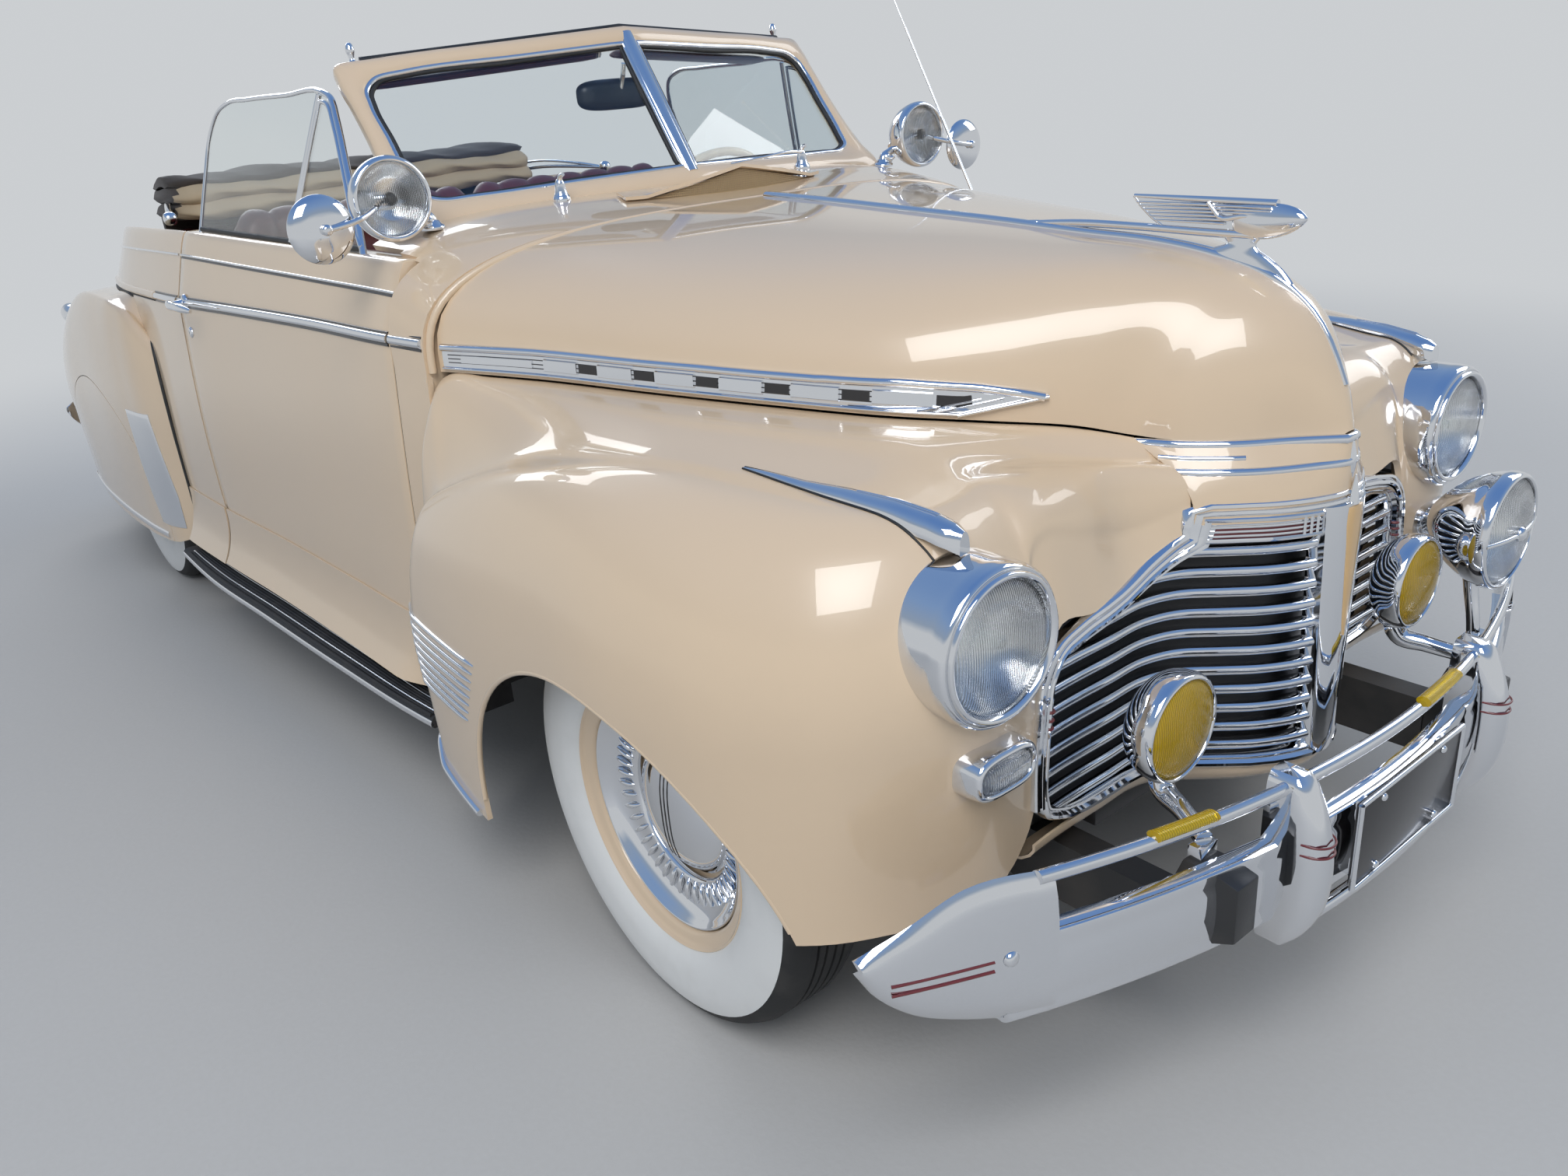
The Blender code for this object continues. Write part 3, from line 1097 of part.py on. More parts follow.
def wheel_pair(prefix, track, station, knuckles):
    half = TYRE_WIDTH / 2
    r, rim = TYRE_RADIUS / math.cos(math.pi / WHEEL_SIDES), RIM_RADIUS
    tyre = [(r, -half * 0.56), (r, half * 0.56), (r - 0.010, half * 0.80), (r - 0.034, half * 0.96),
        (r - 0.070, half), (rim + 0.035, half * 0.92),
            (rim + 0.008, half * 0.715), (rim + 0.0005, 0.050), (rim + 0.0005, -0.050),
            (rim + 0.008, -half * 0.715), (rim + 0.035, -half * 0.92),
            (r - 0.070, -half), (r - 0.034, -half * 0.96), (r - 0.010, -half * 0.80)]
    disc_profile = [(0, 0.046), (0.045, 0.0445), (0.085, 0.036), (0.112, 0.020), (0.120, 0.004),
        (0.150, -0.004), (0.166, 0.006), (0.190, 0.034),
                    (rim + 0.0135, 0.0655), (rim + 0.0155, 0.0620), (rim + 0.0075, 0.0567), (rim, 0.0505),
                    (rim, -0.0505), (rim + 0.0075, -0.0567),
                    (rim + 0.0155, -0.0620), (rim + 0.0125, -0.0655), (rim - 0.010, -0.052),
                    (rim - 0.012, -0.016), (0.146, -0.018), (0.146, -HUB_DEPTH), (0, -HUB_DEPTH)]
    for side, label in ((1, "left"), (-1, "right")):
        centre = (side * track / 2, FRONT_AXLE_Y + station, TYRE_RADIUS)
        parent = knuckles.get(label)
        wheel = node(f"wheel_{prefix}_{label}", [turned(disc_profile, centre, (side, 0, 0), WHEEL_SIDES)],
            CREAM, centre, parent)
        node(f"tyre_{prefix}_{label}", [turned(tyre, centre, (side, 0, 0), WHEEL_SIDES)], RUBBER, centre,
            wheel)


def axles():
    knuckles = {label: knuckle(side, label, FRONT_TRACK / 2) for side,
        label in ((1, "left"), (-1, "right"))}
    wheel_pair("front", FRONT_TRACK, 0.0, knuckles)
    wheel_pair("rear", REAR_TRACK, REAR_AXLE, {})
    z = TYRE_RADIUS
    y = FRONT_AXLE_Y + REAR_AXLE
    end = REAR_TRACK / 2 - HUB_DEPTH - SEAT_GAP
    pieces = [disc((-end, y, z), (1, 0, 0), 0.038, 2 * end, 16)]
    pieces.append(turned([(0, -0.13), (0.07, -0.12), (0.125, -0.05), (0.125, 0.05), (0.07, 0.12),
        (0, 0.13)], (0, y, z), (0, 1, 0), 12))
    pieces.append(tube([(0, y - 0.05, z), (0, along(0.985), 0.385)], 0.032, 8))
    for side in (1, -1):
        pieces.append(disc((side * (end - 0.012), y, z), (side, 0, 0), 0.13, 0.012, 16))
        leaf = [(2.42, 0.310), (2.68, 0.290), (2.95, 0.285), (3.22, 0.295), (3.50, 0.345)]
        path = [(side * 0.575, s, h) for s, h in leaf]
        pieces.append(bar(path, 0.05, 0.03))
        seat = box((side * 0.575 - 0.025, y - 0.04, 0.29), (side * 0.575 + 0.025, y + 0.04, z))
        pieces.append(seat)
        for s, h in ((2.42, 0.310), (3.50, 0.345)):
            x, rail_z = rail_at(s - 0.025)
            inside, outside = x + RAIL_WIDTH / 2 + SEAT_GAP, 0.60
            corners = sorted((side * inside, side * outside))
            low, top = min(h, rail_z) - 0.02, max(h, rail_z) + 0.02
            pieces.append(box(at(corners[0], s - 0.025, low), at(corners[1], s + 0.025, top)))
    node("rear_axle", pieces, BLACK)


def exhaust():
    route = ((-0.2005, 0.30, 0.50), (-0.23, 0.30, 0.50), (-0.27, 0.33, 0.44), (-0.28, 0.45, 0.30),
        (-0.28, 0.65, 0.205), (-0.28, 1.20, 0.198), (-0.28, 2.25, 0.198),
             (-0.30, 2.60, 0.215), (-0.34, 3.00, 0.225), (-0.36, 3.30, 0.225), (-0.37, 3.70, 0.225),
             (-0.37, 4.07, 0.245))
    pipe = tube([at(*p) for p in route], 0.022)
    muffler = turned([(0, 0), (0.045, 0.0), (0.062, 0.02), (0.062, 0.48), (0.045, 0.50), (0, 0.50)],
        at(-0.28, 1.35, 0.205), (0, 1, 0), 16)
    x, z = rail_at(0.98)
    hanger = box(at(-0.290, 1.01, 0.198), at(-0.270, 1.03, z - 0.03 - SEAT_GAP))
    x, z = rail_at(3.92)
    hanger_rear = box(at(-0.380, 3.885, 0.235), at(-0.360, 3.905, z - 0.02 - SEAT_GAP))
    node("exhaust", [pipe, muffler, hanger, hanger_rear], STEEL)


def fuel_tank():
    outline = ((3.36, 0.34), (3.40, 0.31), (3.78, 0.31), (3.82, 0.34), (3.82, 0.50),
        (3.80, REAR_FLOOR_TOP - FLOOR_THICKNESS - SEAT_GAP),
        (3.38, REAR_FLOOR_TOP - FLOOR_THICKNESS - SEAT_GAP), (3.36, 0.50))
    node("fuel_tank", [prism(outline, -0.25, 0.42)], BLACK)


# Cabin
SEAT_HALF = 0.655


def seats():
    front = ((1.345, 0.480), (1.325, 0.600), (1.350, 0.655), (1.420, 0.672), (1.820, 0.640),
        (1.860, 0.700), (1.905, 1.090), (1.930, 1.145),
             (1.975, 1.155), (2.010, 1.120), (2.020, 1.00), (1.985, 0.480))
    plinth = prism(((1.38, FLOOR_TOP + SEAT_GAP), (1.38, 0.50), (1.95, 0.50),
        (1.95, FLOOR_TOP + SEAT_GAP)), 0.20, 0.60)
    node("front_seat", [rounded(front, SEAT_HALF), plinth, flipped(plinth)], MAROON)
    base = REAR_FLOOR_TOP + SEAT_GAP
    rear = ((2.385, base), (2.365, 0.700), (2.390, 0.760), (2.460, 0.778), (2.760, 0.740), (2.800, 0.800),
        (2.860, 1.060), (2.885, 1.100),
            (2.930, 1.110), (2.960, 1.080), (2.970, base))
    node("rear_seat", [rounded(rear, 0.575)], MAROON)


def rounded(outline, half):
    # A cushion drawn across the car, drawn in a little at both ends.
    middle = np.mean(np.array(outline), axis=0)
    rings = []
    for x, shrink in ((-half, 0.93), (-half + 0.03, 1.0), (half - 0.03, 1.0), (half, 0.93)):
        rings.append([at(x, middle[0] + (s - middle[0]) * shrink,
            max(middle[1] + (z - middle[1]) * shrink, outline[0][1])) for s, z in outline])
    return loft(rings)


def folded_top():
    outline = ((2.66, 1.135), (2.62, 1.165), (2.66, 1.225), (2.76, 1.268), (2.90, 1.262), (2.99, 1.225),
        (3.03, 1.180), (3.02, 1.152),
               (3.002, 1.140), (3.002, 1.0655), (2.988, 1.0655), (2.975, 1.125))
    rings = []
    for x, shrink in ((-0.60, 0.90), (-0.56, 1.0), (0.56, 1.0), (0.60, 0.90)):
        rings.append([at(x, 2.80 + (s - 2.80) * (shrink if z > 1.14 else 1.0),
            z if z < 1.14 else 1.14 + (z - 1.14) * shrink) for s, z in outline])
    pieces = [loft(rings)]
    for side in (1, -1):
        iron = [at(side * 0.58, 2.80, 1.18), at(side * 0.63, 2.66, 1.19), at(side * 0.672, 2.50, 1.185),
            at(side * 0.700, 2.36, 1.180)]
        pieces.append(tube(iron, 0.015, 6))
    node("folded_top", pieces, CANVAS)


def dashboard():
    outline = ((0.992, 1.075), (0.992, 1.150), (1.000, 1.156), (1.060, 1.138), (1.085, 1.110),
        (1.095, 1.02), (1.080, 0.955), (1.040, 0.945), (1.020, 1.06))
    top = cowl_point(0.10, 0.960) - SHEET - 0.0008
    bracket = prism(((0.960, 1.105), (0.960, top), (0.980, top), (0.980, 1.140), (1.000, 1.140),
        (1.000, 1.105)), -0.10, 0.10)
    node("dashboard", [bracket, prism(outline, -0.625, 0.625),
        prism(((0.9905, 1.10), (0.9905, 1.146), (1.01, 1.146), (1.01, 1.10)), -0.60, 0.60)], CREAM)


WHEEL_CENTRE = (0.370, 1.335, 1.075)
COLUMN = (0.0, -0.866, -0.5)


def steering():
    centre = Vector(at(*WHEEL_CENTRE))
    axis = Vector(COLUMN).normalized()
    side = Vector((1, 0, 0))
    up = axis.cross(side).normalized()
    rim = []
    for i in range(24):
        a = 2 * math.pi * i / 24
        radial = side * math.cos(a) + up * math.sin(a)
        ring = []
        for k in range(6):
            b = 2 * math.pi * k / 6
            ring.append(centre + radial * (STEERING_WHEEL_RADIUS - 0.012 + 0.012 * math.cos(b)) + axis * 0.012 * math.sin(b))
        rim.append(ring)
    pieces = [hoop(rim), turned([(0, -0.03), (0.03, -0.026), (0.038, 0.0), (0.03, 0.03), (0, 0.03)],
        centre, axis, 16)]
    for a in (0.0, math.pi, math.pi * 1.5):
        radial = side * math.cos(a) + up * math.sin(a)
        pieces.append(tube([centre + radial * 0.01, centre + radial * (STEERING_WHEEL_RADIUS - 0.01)],
            0.008, 6))
    node("steering_wheel", pieces, IVORY, centre)
    start = centre + axis * 0.0305
    end = centre + axis * 0.665
    bracket = box(at(WHEEL_CENTRE[0] - 0.02, 1.045, 0.905), at(WHEEL_CENTRE[0] + 0.02, 1.072, 0.945))
    node("steering_column", [tube([start, end], 0.024, 12), bracket], IVORY)


def spotlights():
    pod = [(0, -0.010), (0.040, -0.007), (0.070, 0.002), (0.0765, 0.010), (0.0765, 0.022), (0.060, 0.050),
        (0.035, 0.075), (0, 0.082)]
    for side, label in ((1, "left"), (-1, "right")):
        centre = at(side * 0.689, 0.834, 1.262)
        lamp = turned(pod, centre, (0, 1, 0), 16)
        top = cowl_point(0.60, 0.88) + 0.0010
        stem = tube([at(side * 0.600, 0.880, top), at(side * 0.600, 0.880, top + 0.02),
            at(side * 0.630, 0.880, 1.235), at(side * 0.685, 0.872, 1.262)], 0.010)
        arm = tube([at(side * 0.700, 0.862, 1.262), at(side * 0.780, 0.845, 1.225),
            at(side * 0.832, 0.822, 1.215)], 0.006)
        mirror = turned([(0, 0.0), (0.058, 0.0), (0.060, -0.006), (0.045, -0.018), (0, -0.022)],
            at(side * 0.835, 0.828, 1.228), (0, 1, 0), 12)
        node(f"spotlight_{label}", [lamp, stem, arm, mirror], CHROME)


def antenna():
    base = at(0.767, 0.705, 1.060)
    tip = at(0.735, 1.030, 1.700)
    edge = side_x(0.705, COWL_SEAM) + 0.0012
    foot = box(at(edge, 0.690, 0.975), at(edge + 0.016, 0.720, 1.070))
    node("antenna", [foot, tube([base, tip], 0.004, 6)], CHROME)


def build():
    frame()
    floor()
    engine()
    radiator()
    exhaust()
    fuel_tank()
    cowl()
    rear_body()
    windshield()
    dashboard()
    steering()
    seats()
    folded_top()
    front_fenders()
    headlamps()
    rear_fenders()
    running_boards()
    nose_panel()
    grille()
    bumpers()
    front_lamps()
    spotlights()
    antenna()
    front_suspension()
    axles()
    hood()
    trunk_lid()
    doors()


build()
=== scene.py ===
import math

import bmesh
import bpy
import numpy as np
from mathutils import Matrix, Vector
from mathutils.bvhtree import BVHTree
from mathutils.kdtree import KDTree


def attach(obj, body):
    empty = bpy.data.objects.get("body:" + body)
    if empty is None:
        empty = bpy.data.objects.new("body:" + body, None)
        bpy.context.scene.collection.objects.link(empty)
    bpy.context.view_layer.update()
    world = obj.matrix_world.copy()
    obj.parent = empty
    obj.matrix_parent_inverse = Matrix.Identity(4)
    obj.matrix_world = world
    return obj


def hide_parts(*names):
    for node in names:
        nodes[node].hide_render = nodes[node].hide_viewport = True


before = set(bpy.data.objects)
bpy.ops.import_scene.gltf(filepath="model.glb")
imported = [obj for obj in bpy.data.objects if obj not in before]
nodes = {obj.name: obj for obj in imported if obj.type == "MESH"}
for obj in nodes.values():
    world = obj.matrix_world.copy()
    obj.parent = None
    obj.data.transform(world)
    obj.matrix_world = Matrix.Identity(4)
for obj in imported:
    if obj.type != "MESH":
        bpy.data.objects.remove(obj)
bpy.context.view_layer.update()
frontAxleY = -1.665  # stations are measured back from the front axle
print("frame loaded")


class Value:
    # a shader socket that takes part in sums
    def __init__(self, finish, socket):
        self.finish, self.socket = finish, socket

    def __add__(self, other):
        return self.finish.math("ADD", self, other)

    def __radd__(self, other):
        return self.finish.math("ADD", other, self)

    def __sub__(self, other):
        return self.finish.math("SUBTRACT", self, other)

    def __rsub__(self, other):
        return self.finish.math("SUBTRACT", other, self)

    def __mul__(self, other):
        return self.finish.math("MULTIPLY", self, other)

    def __rmul__(self, other):
        return self.finish.math("MULTIPLY", other, self)

    def __truediv__(self, other):
        return self.finish.math("DIVIDE", self, other)


class Finish:
    # one material, its shader and the nodes that feed it
    def __init__(self, name, colour, roughness, metallic=0.0, **more):
        self.material = bpy.data.materials.new(name)
        self.material.use_nodes = True
        self.tree = self.material.node_tree
        self.shader = self.tree.nodes["Principled BSDF"]
        self.colour = colour
        self.put("Base Color", (*colour, 1.0))
        self.put("Roughness", roughness)
        self.put("Metallic", metallic)
        for key, value in more.items():
            self.put(key.replace("_", " "), value)

    def put(self, key, value):
        socket = self.shader.inputs[key]
        if isinstance(value, Value):
            self.tree.links.new(value.socket, socket)
        else:
            socket.default_value = value

    def add(self, kind, settings=None, values=None, out=0):
        made = self.tree.nodes.new(kind)
        for key, value in (settings or {}).items():
            if key == "stops":
                for i, (place, shade) in enumerate(value):
                    element = made.color_ramp.elements[i] if i < 2 else made.color_ramp.elements.new(place)
                    element.position = place
                    element.color = (shade, shade, shade, 1.0)
            else:
                setattr(made, key, value)
        for key, value in (values or {}).items():
            if isinstance(value, Value):
                self.tree.links.new(value.socket, made.inputs[key])
            else:
                made.inputs[key].default_value = value
        return Value(self, made.outputs[out])

    def math(self, operation, *numbers):
        return self.add("ShaderNodeMath", {"operation": operation}, dict(enumerate(numbers)))

    def mix(self, share, first, second):
        # two colours mixed by a share
        colours = [(*c, 1.0) if isinstance(c, tuple) and len(c) == 3 else c for c in (first, second)]
        return self.add("ShaderNodeMix", {"data_type": "RGBA"}, {0: share, 6: colours[0], 7: colours[1]},
            2)

    def place(self, scale=(1, 1, 1), turn=(0, 0, 0)):
        where = self.add("ShaderNodeTexCoord", out=3)
        return self.add("ShaderNodeMapping", None, {0: where, 2: turn, 3: scale})

    def noise(self, scale, detail=2.0, where=None, roughness=0.5):
        where = where or self.place()
        return self.add("ShaderNodeTexNoise", None,
            {"Vector": where, "Scale": scale, "Detail": detail, "Roughness": roughness})

    def steps(self, value, *stops):
        return self.add("ShaderNodeValToRGB", {"stops": stops}, {0: value})

    def bump(self, height, strength, distance):
        self.put("Normal", self.add("ShaderNodeBump", None,
            {"Height": height, "Strength": strength, "Distance": distance}))

    def vary(self, scale, amount, rough, roughSpread):
        # a slow change of tone and gloss over the surface
        slow = self.noise(scale, 3.0)
        darker = tuple(c * (1 - amount) for c in self.colour)
        lighter = tuple(min(1.0, c * (1 + amount)) for c in self.colour)
        self.put("Base Color", self.mix(slow, darker, lighter))
        self.put("Roughness", slow * roughSpread + (rough - roughSpread / 2))
        return self


paintValues = {"cream": (0.765, 0.585, 0.400), "gloss": 0.22, "coat": 1.0,
    "maroonLeather": (0.125, 0.022, 0.020), "tan": (0.62, 0.50, 0.34)}


def creamPaint():
    made = Finish("creamPaint", paintValues["cream"], 0.3, Coat_Weight=paintValues["coat"],
        Coat_Roughness=0.03).vary(1.7, 0.018, paintValues["gloss"] + 0.08, 0.05)
    made.bump(made.noise(420.0, 1.0), 0.02, 0.001)
    return made.material


def chromePlate(name="chrome", colour=(0.80, 0.81, 0.83), gloss=0.045):
    made = Finish(name, colour, gloss, 1.0).vary(9.0, 0.02, gloss, 0.03)
    made.bump(made.noise(60.0, 1.0), 0.01, 0.001)
    return made.material


def blackMetal():
    made = Finish("blackMetal", (0.022, 0.022, 0.023), 0.5, 0.0, Coat_Weight=0.2, Coat_Roughness=0.35)
    dust = made.steps(made.noise(7.0, 6.0), (0.45, 0.0), (0.75, 1.0))
    made.put("Base Color", made.mix(dust * 0.35, made.colour, (0.16, 0.14, 0.12)))
    made.put("Roughness", dust * 0.3 + 0.42)
    made.bump(made.noise(180.0, 3.0), 0.08, 0.002)
    return made.material


def castMetal():
    made = Finish("castMetal", (0.19, 0.20, 0.20), 0.55, 0.6)
    soot = made.steps(made.noise(11.0, 6.0), (0.40, 0.0), (0.70, 1.0))
    made.put("Base Color", made.mix(soot * 0.7, made.colour, (0.10, 0.06, 0.04)))
    made.put("Roughness", soot * 0.25 + 0.45)
    made.bump(made.noise(240.0, 4.0), 0.25, 0.002)
    return made.material


def treadRubber():
    made = Finish("treadRubber", (0.018, 0.018, 0.018), 0.72)
    dust = made.steps(made.noise(14.0, 5.0), (0.5, 0.0), (0.8, 1.0))
    made.put("Base Color", made.mix(dust * 0.3, made.colour, (0.10, 0.09, 0.08)))
    made.bump(made.noise(260.0, 3.0), 0.2, 0.001)
    return made.material


def whiteRubber():
    made = Finish("whiteRubber", (0.80, 0.80, 0.78), 0.5)
    scuff = made.steps(made.noise(16.0, 6.0), (0.50, 0.0), (0.85, 1.0))
    made.put("Base Color", made.mix(scuff * 0.12, made.colour, (0.45, 0.42, 0.38)))
    made.bump(made.noise(300.0, 2.0), 0.06, 0.001)
    return made.material


def leather(name, colour):
    made = Finish(name, colour, 0.42, Coat_Weight=0.15, Coat_Roughness=0.3)
    cells = made.add("ShaderNodeTexVoronoi", {"feature": "DISTANCE_TO_EDGE"},
        {"Vector": made.place(), "Scale": 420.0})
    grain = made.steps(cells, (0.0, 0.0), (0.25, 1.0))
    tone = made.noise(5.0, 4.0)
    made.put("Base Color", made.mix(tone * 0.5, colour, tuple(c * 0.62 for c in colour)))
    made.put("Roughness", tone * 0.12 + 0.36)
    made.bump(grain, 0.25, 0.0006)
    return made.material


def cloth(name, colour, other, count=900.0):
    # a plain weave from two crossed waves
    made = Finish(name, colour, 0.9, Sheen_Weight=0.2)
    waves = [made.add("ShaderNodeTexWave", {"bands_direction": way},
        {"Vector": made.place(), "Scale": count / 6.3, "Distortion": 0.6}, 1) for way in ("X", "Y", "Z")]
    weave = waves[0] * 0.4 + waves[1] * 0.4 + waves[2] * 0.2
    fade = made.noise(6.0, 4.0)
    made.put("Base Color", made.mix(weave * 0.5 + fade * 0.3, colour, other))
    made.bump(weave, 0.4, 0.0008)
    return made.material


def glassOf(name, colour, roughness=0.0, ribs=0.0, clear=1.0):
    made = Finish(name, colour, roughness, Transmission_Weight=clear, IOR=1.45)
    grime = made.noise(5.0, 3.0)
    made.put("Roughness", grime * 0.02 + roughness)
    if ribs:
        flutes = made.add("ShaderNodeTexWave", {"bands_direction": "X"},
            {"Vector": made.place(), "Scale": ribs}, 1)
        dim = 0.92 if clear == 1.0 else 0.62
        made.put("Base Color", made.mix(flutes, tuple(v * dim for v in colour), colour))
        made.bump(flutes, 0.3, 0.0015)
    return made.material


def enamel(name, colour, roughness=0.3):
    made = Finish(name, colour, roughness, Coat_Weight=0.5, Coat_Roughness=0.1).vary(20.0, 0.05,
        roughness, 0.06)
    return made.material


def rubberMat(name, colour, roughness=0.6):
    made = Finish(name, colour, roughness)
    dust = made.steps(made.noise(25.0, 6.0), (0.45, 0.0), (0.8, 1.0))
    made.put("Base Color", made.mix(dust * 0.25, colour, (0.14, 0.13, 0.12)))
    made.put("Roughness", dust * 0.2 + roughness)
    made.bump(made.noise(500.0, 2.0), 0.1, 0.0006)
    return made.material


cream = creamPaint()
chrome = chromePlate()
softChrome = chromePlate("reflectorSilver", (0.86, 0.86, 0.86), 0.16)
black = blackMetal()
cast = castMetal()
tread = treadRubber()
whitewall = whiteRubber()
maroon = leather("maroonLeather", paintValues["maroonLeather"])
tanVinyl = leather("tanVinyl", paintValues["tan"])
canvas = cloth("topCanvas", (0.030, 0.024, 0.020), (0.075, 0.055, 0.045))
liner = cloth("topLiner", (0.56, 0.44, 0.29), (0.40, 0.30, 0.19))
carpet = cloth("carpet", (0.075, 0.020, 0.018), (0.13, 0.045, 0.04), 500.0)
clear = glassOf("clearGlass", (0.93, 0.97, 0.96))
lens = glassOf("flutedGlass", (0.97, 0.98, 0.98), 0.02, 90.0)
amber = glassOf("amberGlass", (1.0, 0.68, 0.025), 0.04, 90.0, 0.55)
ruby = glassOf("redGlass", (0.75, 0.02, 0.01), 0.05, 140.0)
maroonLine = enamel("maroonEnamel", (0.16, 0.02, 0.02))
darkLine = enamel("darkEnamel", (0.015, 0.013, 0.013))
ivory = enamel("ivoryPlastic", (0.72, 0.60, 0.38), 0.28)
boardRubber = rubberMat("boardRubber", (0.022, 0.022, 0.023))
seal = rubberMat("sealRubber", (0.015, 0.015, 0.015), 0.5)
meshTan = enamel("meshTan", (0.50, 0.37, 0.21), 0.4)
print("finishes made")


def at(x, station, z):
    return (x, station + frontAxleY, z)


def aroundTurn(count):
    # the angles round one whole turn
    return np.linspace(0, 2 * math.pi, count, endpoint=False)


def smoothLine(points, steps, creases=()):
    # a row of points or of whole lines made finer, through each of them, with corners only at the creases
    p = np.array(points, float)
    n = len(p)
    gaps = np.linalg.norm(np.diff(p, axis=0), axis=-1)
    h = np.maximum(gaps.reshape(n - 1, -1).mean(axis=1), 1e-6)
    shape = (n - 1,) + (1,) * (p.ndim - 1)
    slope = np.diff(p, axis=0) / h.reshape(shape)
    inner = np.zeros_like(p)
    for i in range(1, n - 1):
        inner[i] = (slope[i - 1] * h[i] + slope[i] * h[i - 1]) / (h[i] + h[i - 1])
    breaks = {0, n - 1} | {c % n for c in creases}
    made = []
    for i in range(n - 1):
        a, b = inner[i], inner[i + 1]
        if i in breaks and i + 1 in breaks:
            a = b = slope[i]
        elif i in breaks:
            a = 1.5 * slope[i] - 0.5 * b
        elif i + 1 in breaks:
            b = 1.5 * slope[i] - 0.5 * a
        for k in range(steps):
            t = k / steps
            u, v = t * t, t * t * t
            made.append(
                (2 * v - 3 * u + 1) * p[i] + (v - 2 * u + t) * h[i] * a
                + (3 * u - 2 * v) * p[i + 1] + (v - u) * h[i] * b
            )
    made.append(p[-1])
    return np.array(made)


def evenly(line, count):
    # the same line with points at equal distances
    line = np.array(line, float)
    run = np.concatenate([[0], np.cumsum(np.linalg.norm(np.diff(line, axis=0), axis=1))])
    spots = np.linspace(0, run[-1], count)
    return np.stack([np.interp(spots, run, line[:, k]) for k in range(line.shape[1])], axis=1)


def gridFaces(rows, columns, keep=None, closed=False):
    faces = []
    for r in range(rows - 1):
        for c in range(columns if closed else columns - 1):
            if keep is None or keep[r][c]:
                b = (c + 1) % columns
                faces.append((r * columns + c, (r + 1) * columns + c, (r + 1) * columns + b,
                    r * columns + b))
    return faces


def join(parts):
    # several (points, faces) made one
    points, faces, start = [], [], 0
    for p, f in parts:
        points += [tuple(map(float, q)) for q in p]
        faces += [tuple(i + start for i in face) for face in f]
        start += len(p)
    return points, faces


def mirrored(part):
    points, faces = part
    return [(-p[0], p[1], p[2]) for p in points], [tuple(reversed(f)) for f in faces]


def shell(grid, depth, keep=None):
    # a sheet with an outer and an inner face and closed edges; depth may change from row to row
    grid = np.array(grid, float)
    rows, columns = grid.shape[:2]
    if keep is None:
        keep = np.ones((rows - 1, columns - 1), bool)
    total = np.zeros_like(grid)
    across = grid[1:, 1:] - grid[:-1, :-1]
    face = np.cross(across, grid[:-1, 1:] - grid[1:, :-1])
    face = face / np.maximum(np.linalg.norm(face, axis=2, keepdims=True), 1e-9) * keep[:, :, None]
    for a in (0, 1):
        for b in (0, 1):
            total[a : rows - 1 + a, b : columns - 1 + b] += face
    normal = total / np.maximum(np.linalg.norm(total, axis=2, keepdims=True), 1e-9)
    depth = np.broadcast_to(np.array(depth, float).reshape(-1,
        1) if np.ndim(depth) == 1 else np.array(depth, float), (rows, columns))
    inner = grid - normal * depth[:, :, None]
    count = rows * columns
    points = np.concatenate([grid.reshape(-1, 3), inner.reshape(-1, 3)])
    faces = gridFaces(rows, columns, keep)
    faces += [tuple(i + count for i in reversed(f)) for f in faces]

    def kept(r, c):
        return 0 <= r < rows - 1 and 0 <= c < columns - 1 and keep[r][c]

    for r in range(rows - 1):
        for c in range(columns - 1):
            if not keep[r][c]:
                continue
            a, b = r * columns + c, r * columns + c + 1
            d, e = a + columns, b + columns
            if not kept(r - 1, c):
                faces.append((a, b, b + count, a + count))
            if not kept(r + 1, c):
                faces.append((e, d, d + count, e + count))
            if not kept(r, c - 1):
                faces.append((d, a, a + count, d + count))
            if not kept(r, c + 1):
                faces.append((b, e, e + count, b + count))
    return points, faces


def turned(profile, centre, axis, sides=64, start=0.0):
    # a (radius, distance) profile turned about an axis; it closes on itself or on the axis
    turn = Vector(axis).normalized()
    upright = Vector((0, 0, 1)) if abs(turn.z) < 0.9 else Vector((0, 1, 0))
    side = (upright - turn * turn.dot(upright)).normalized()
    other = turn.cross(side)
    points, rows = [], []
    for radius, distance in profile:
        middle = Vector(centre) + turn * distance
        if radius < 1e-6:
            rows.append([len(points)] * sides)
            points.append(tuple(middle))
            continue
        rows.append(list(range(len(points), len(points) + sides)))
        for i in range(sides):
            a = start + 2 * math.pi * i / sides
            points.append(tuple(middle + side * radius * math.cos(a) + other * radius * math.sin(a)))
    faces = []
    for row in range(len(rows) if profile[0][0] > 1e-6 else len(rows) - 1):
        after = (row + 1) % len(rows)
        for i in range(sides):
            j = (i + 1) % sides
            corners = [rows[row][i], rows[row][j], rows[after][j], rows[after][i]]
            corners = [c for n, c in enumerate(corners) if c != corners[n - 1]]
            if len(corners) > 2:
                faces.append(tuple(corners))
    return points, faces


def rounded(profile, steps=4, creases=()):
    # a turned profile with soft corners
    return [tuple(p) for p in smoothLine(profile, steps, creases)]


def loft(rings, capped=True, closed=False):
    count = len(rings[0])
    points = [tuple(map(float, p)) for ring in rings for p in ring]
    faces = []
    last = len(rings) if closed else len(rings) - 1
    for r in range(last):
        after = (r + 1) % len(rings)
        for i in range(count):
            j = (i + 1) % count
            faces.append((r * count + i, r * count + j, after * count + j, after * count + i))
    if capped and not closed:
        faces.append(tuple(reversed(range(count))))
        faces.append(tuple(range(len(points) - count, len(points))))
    return points, faces


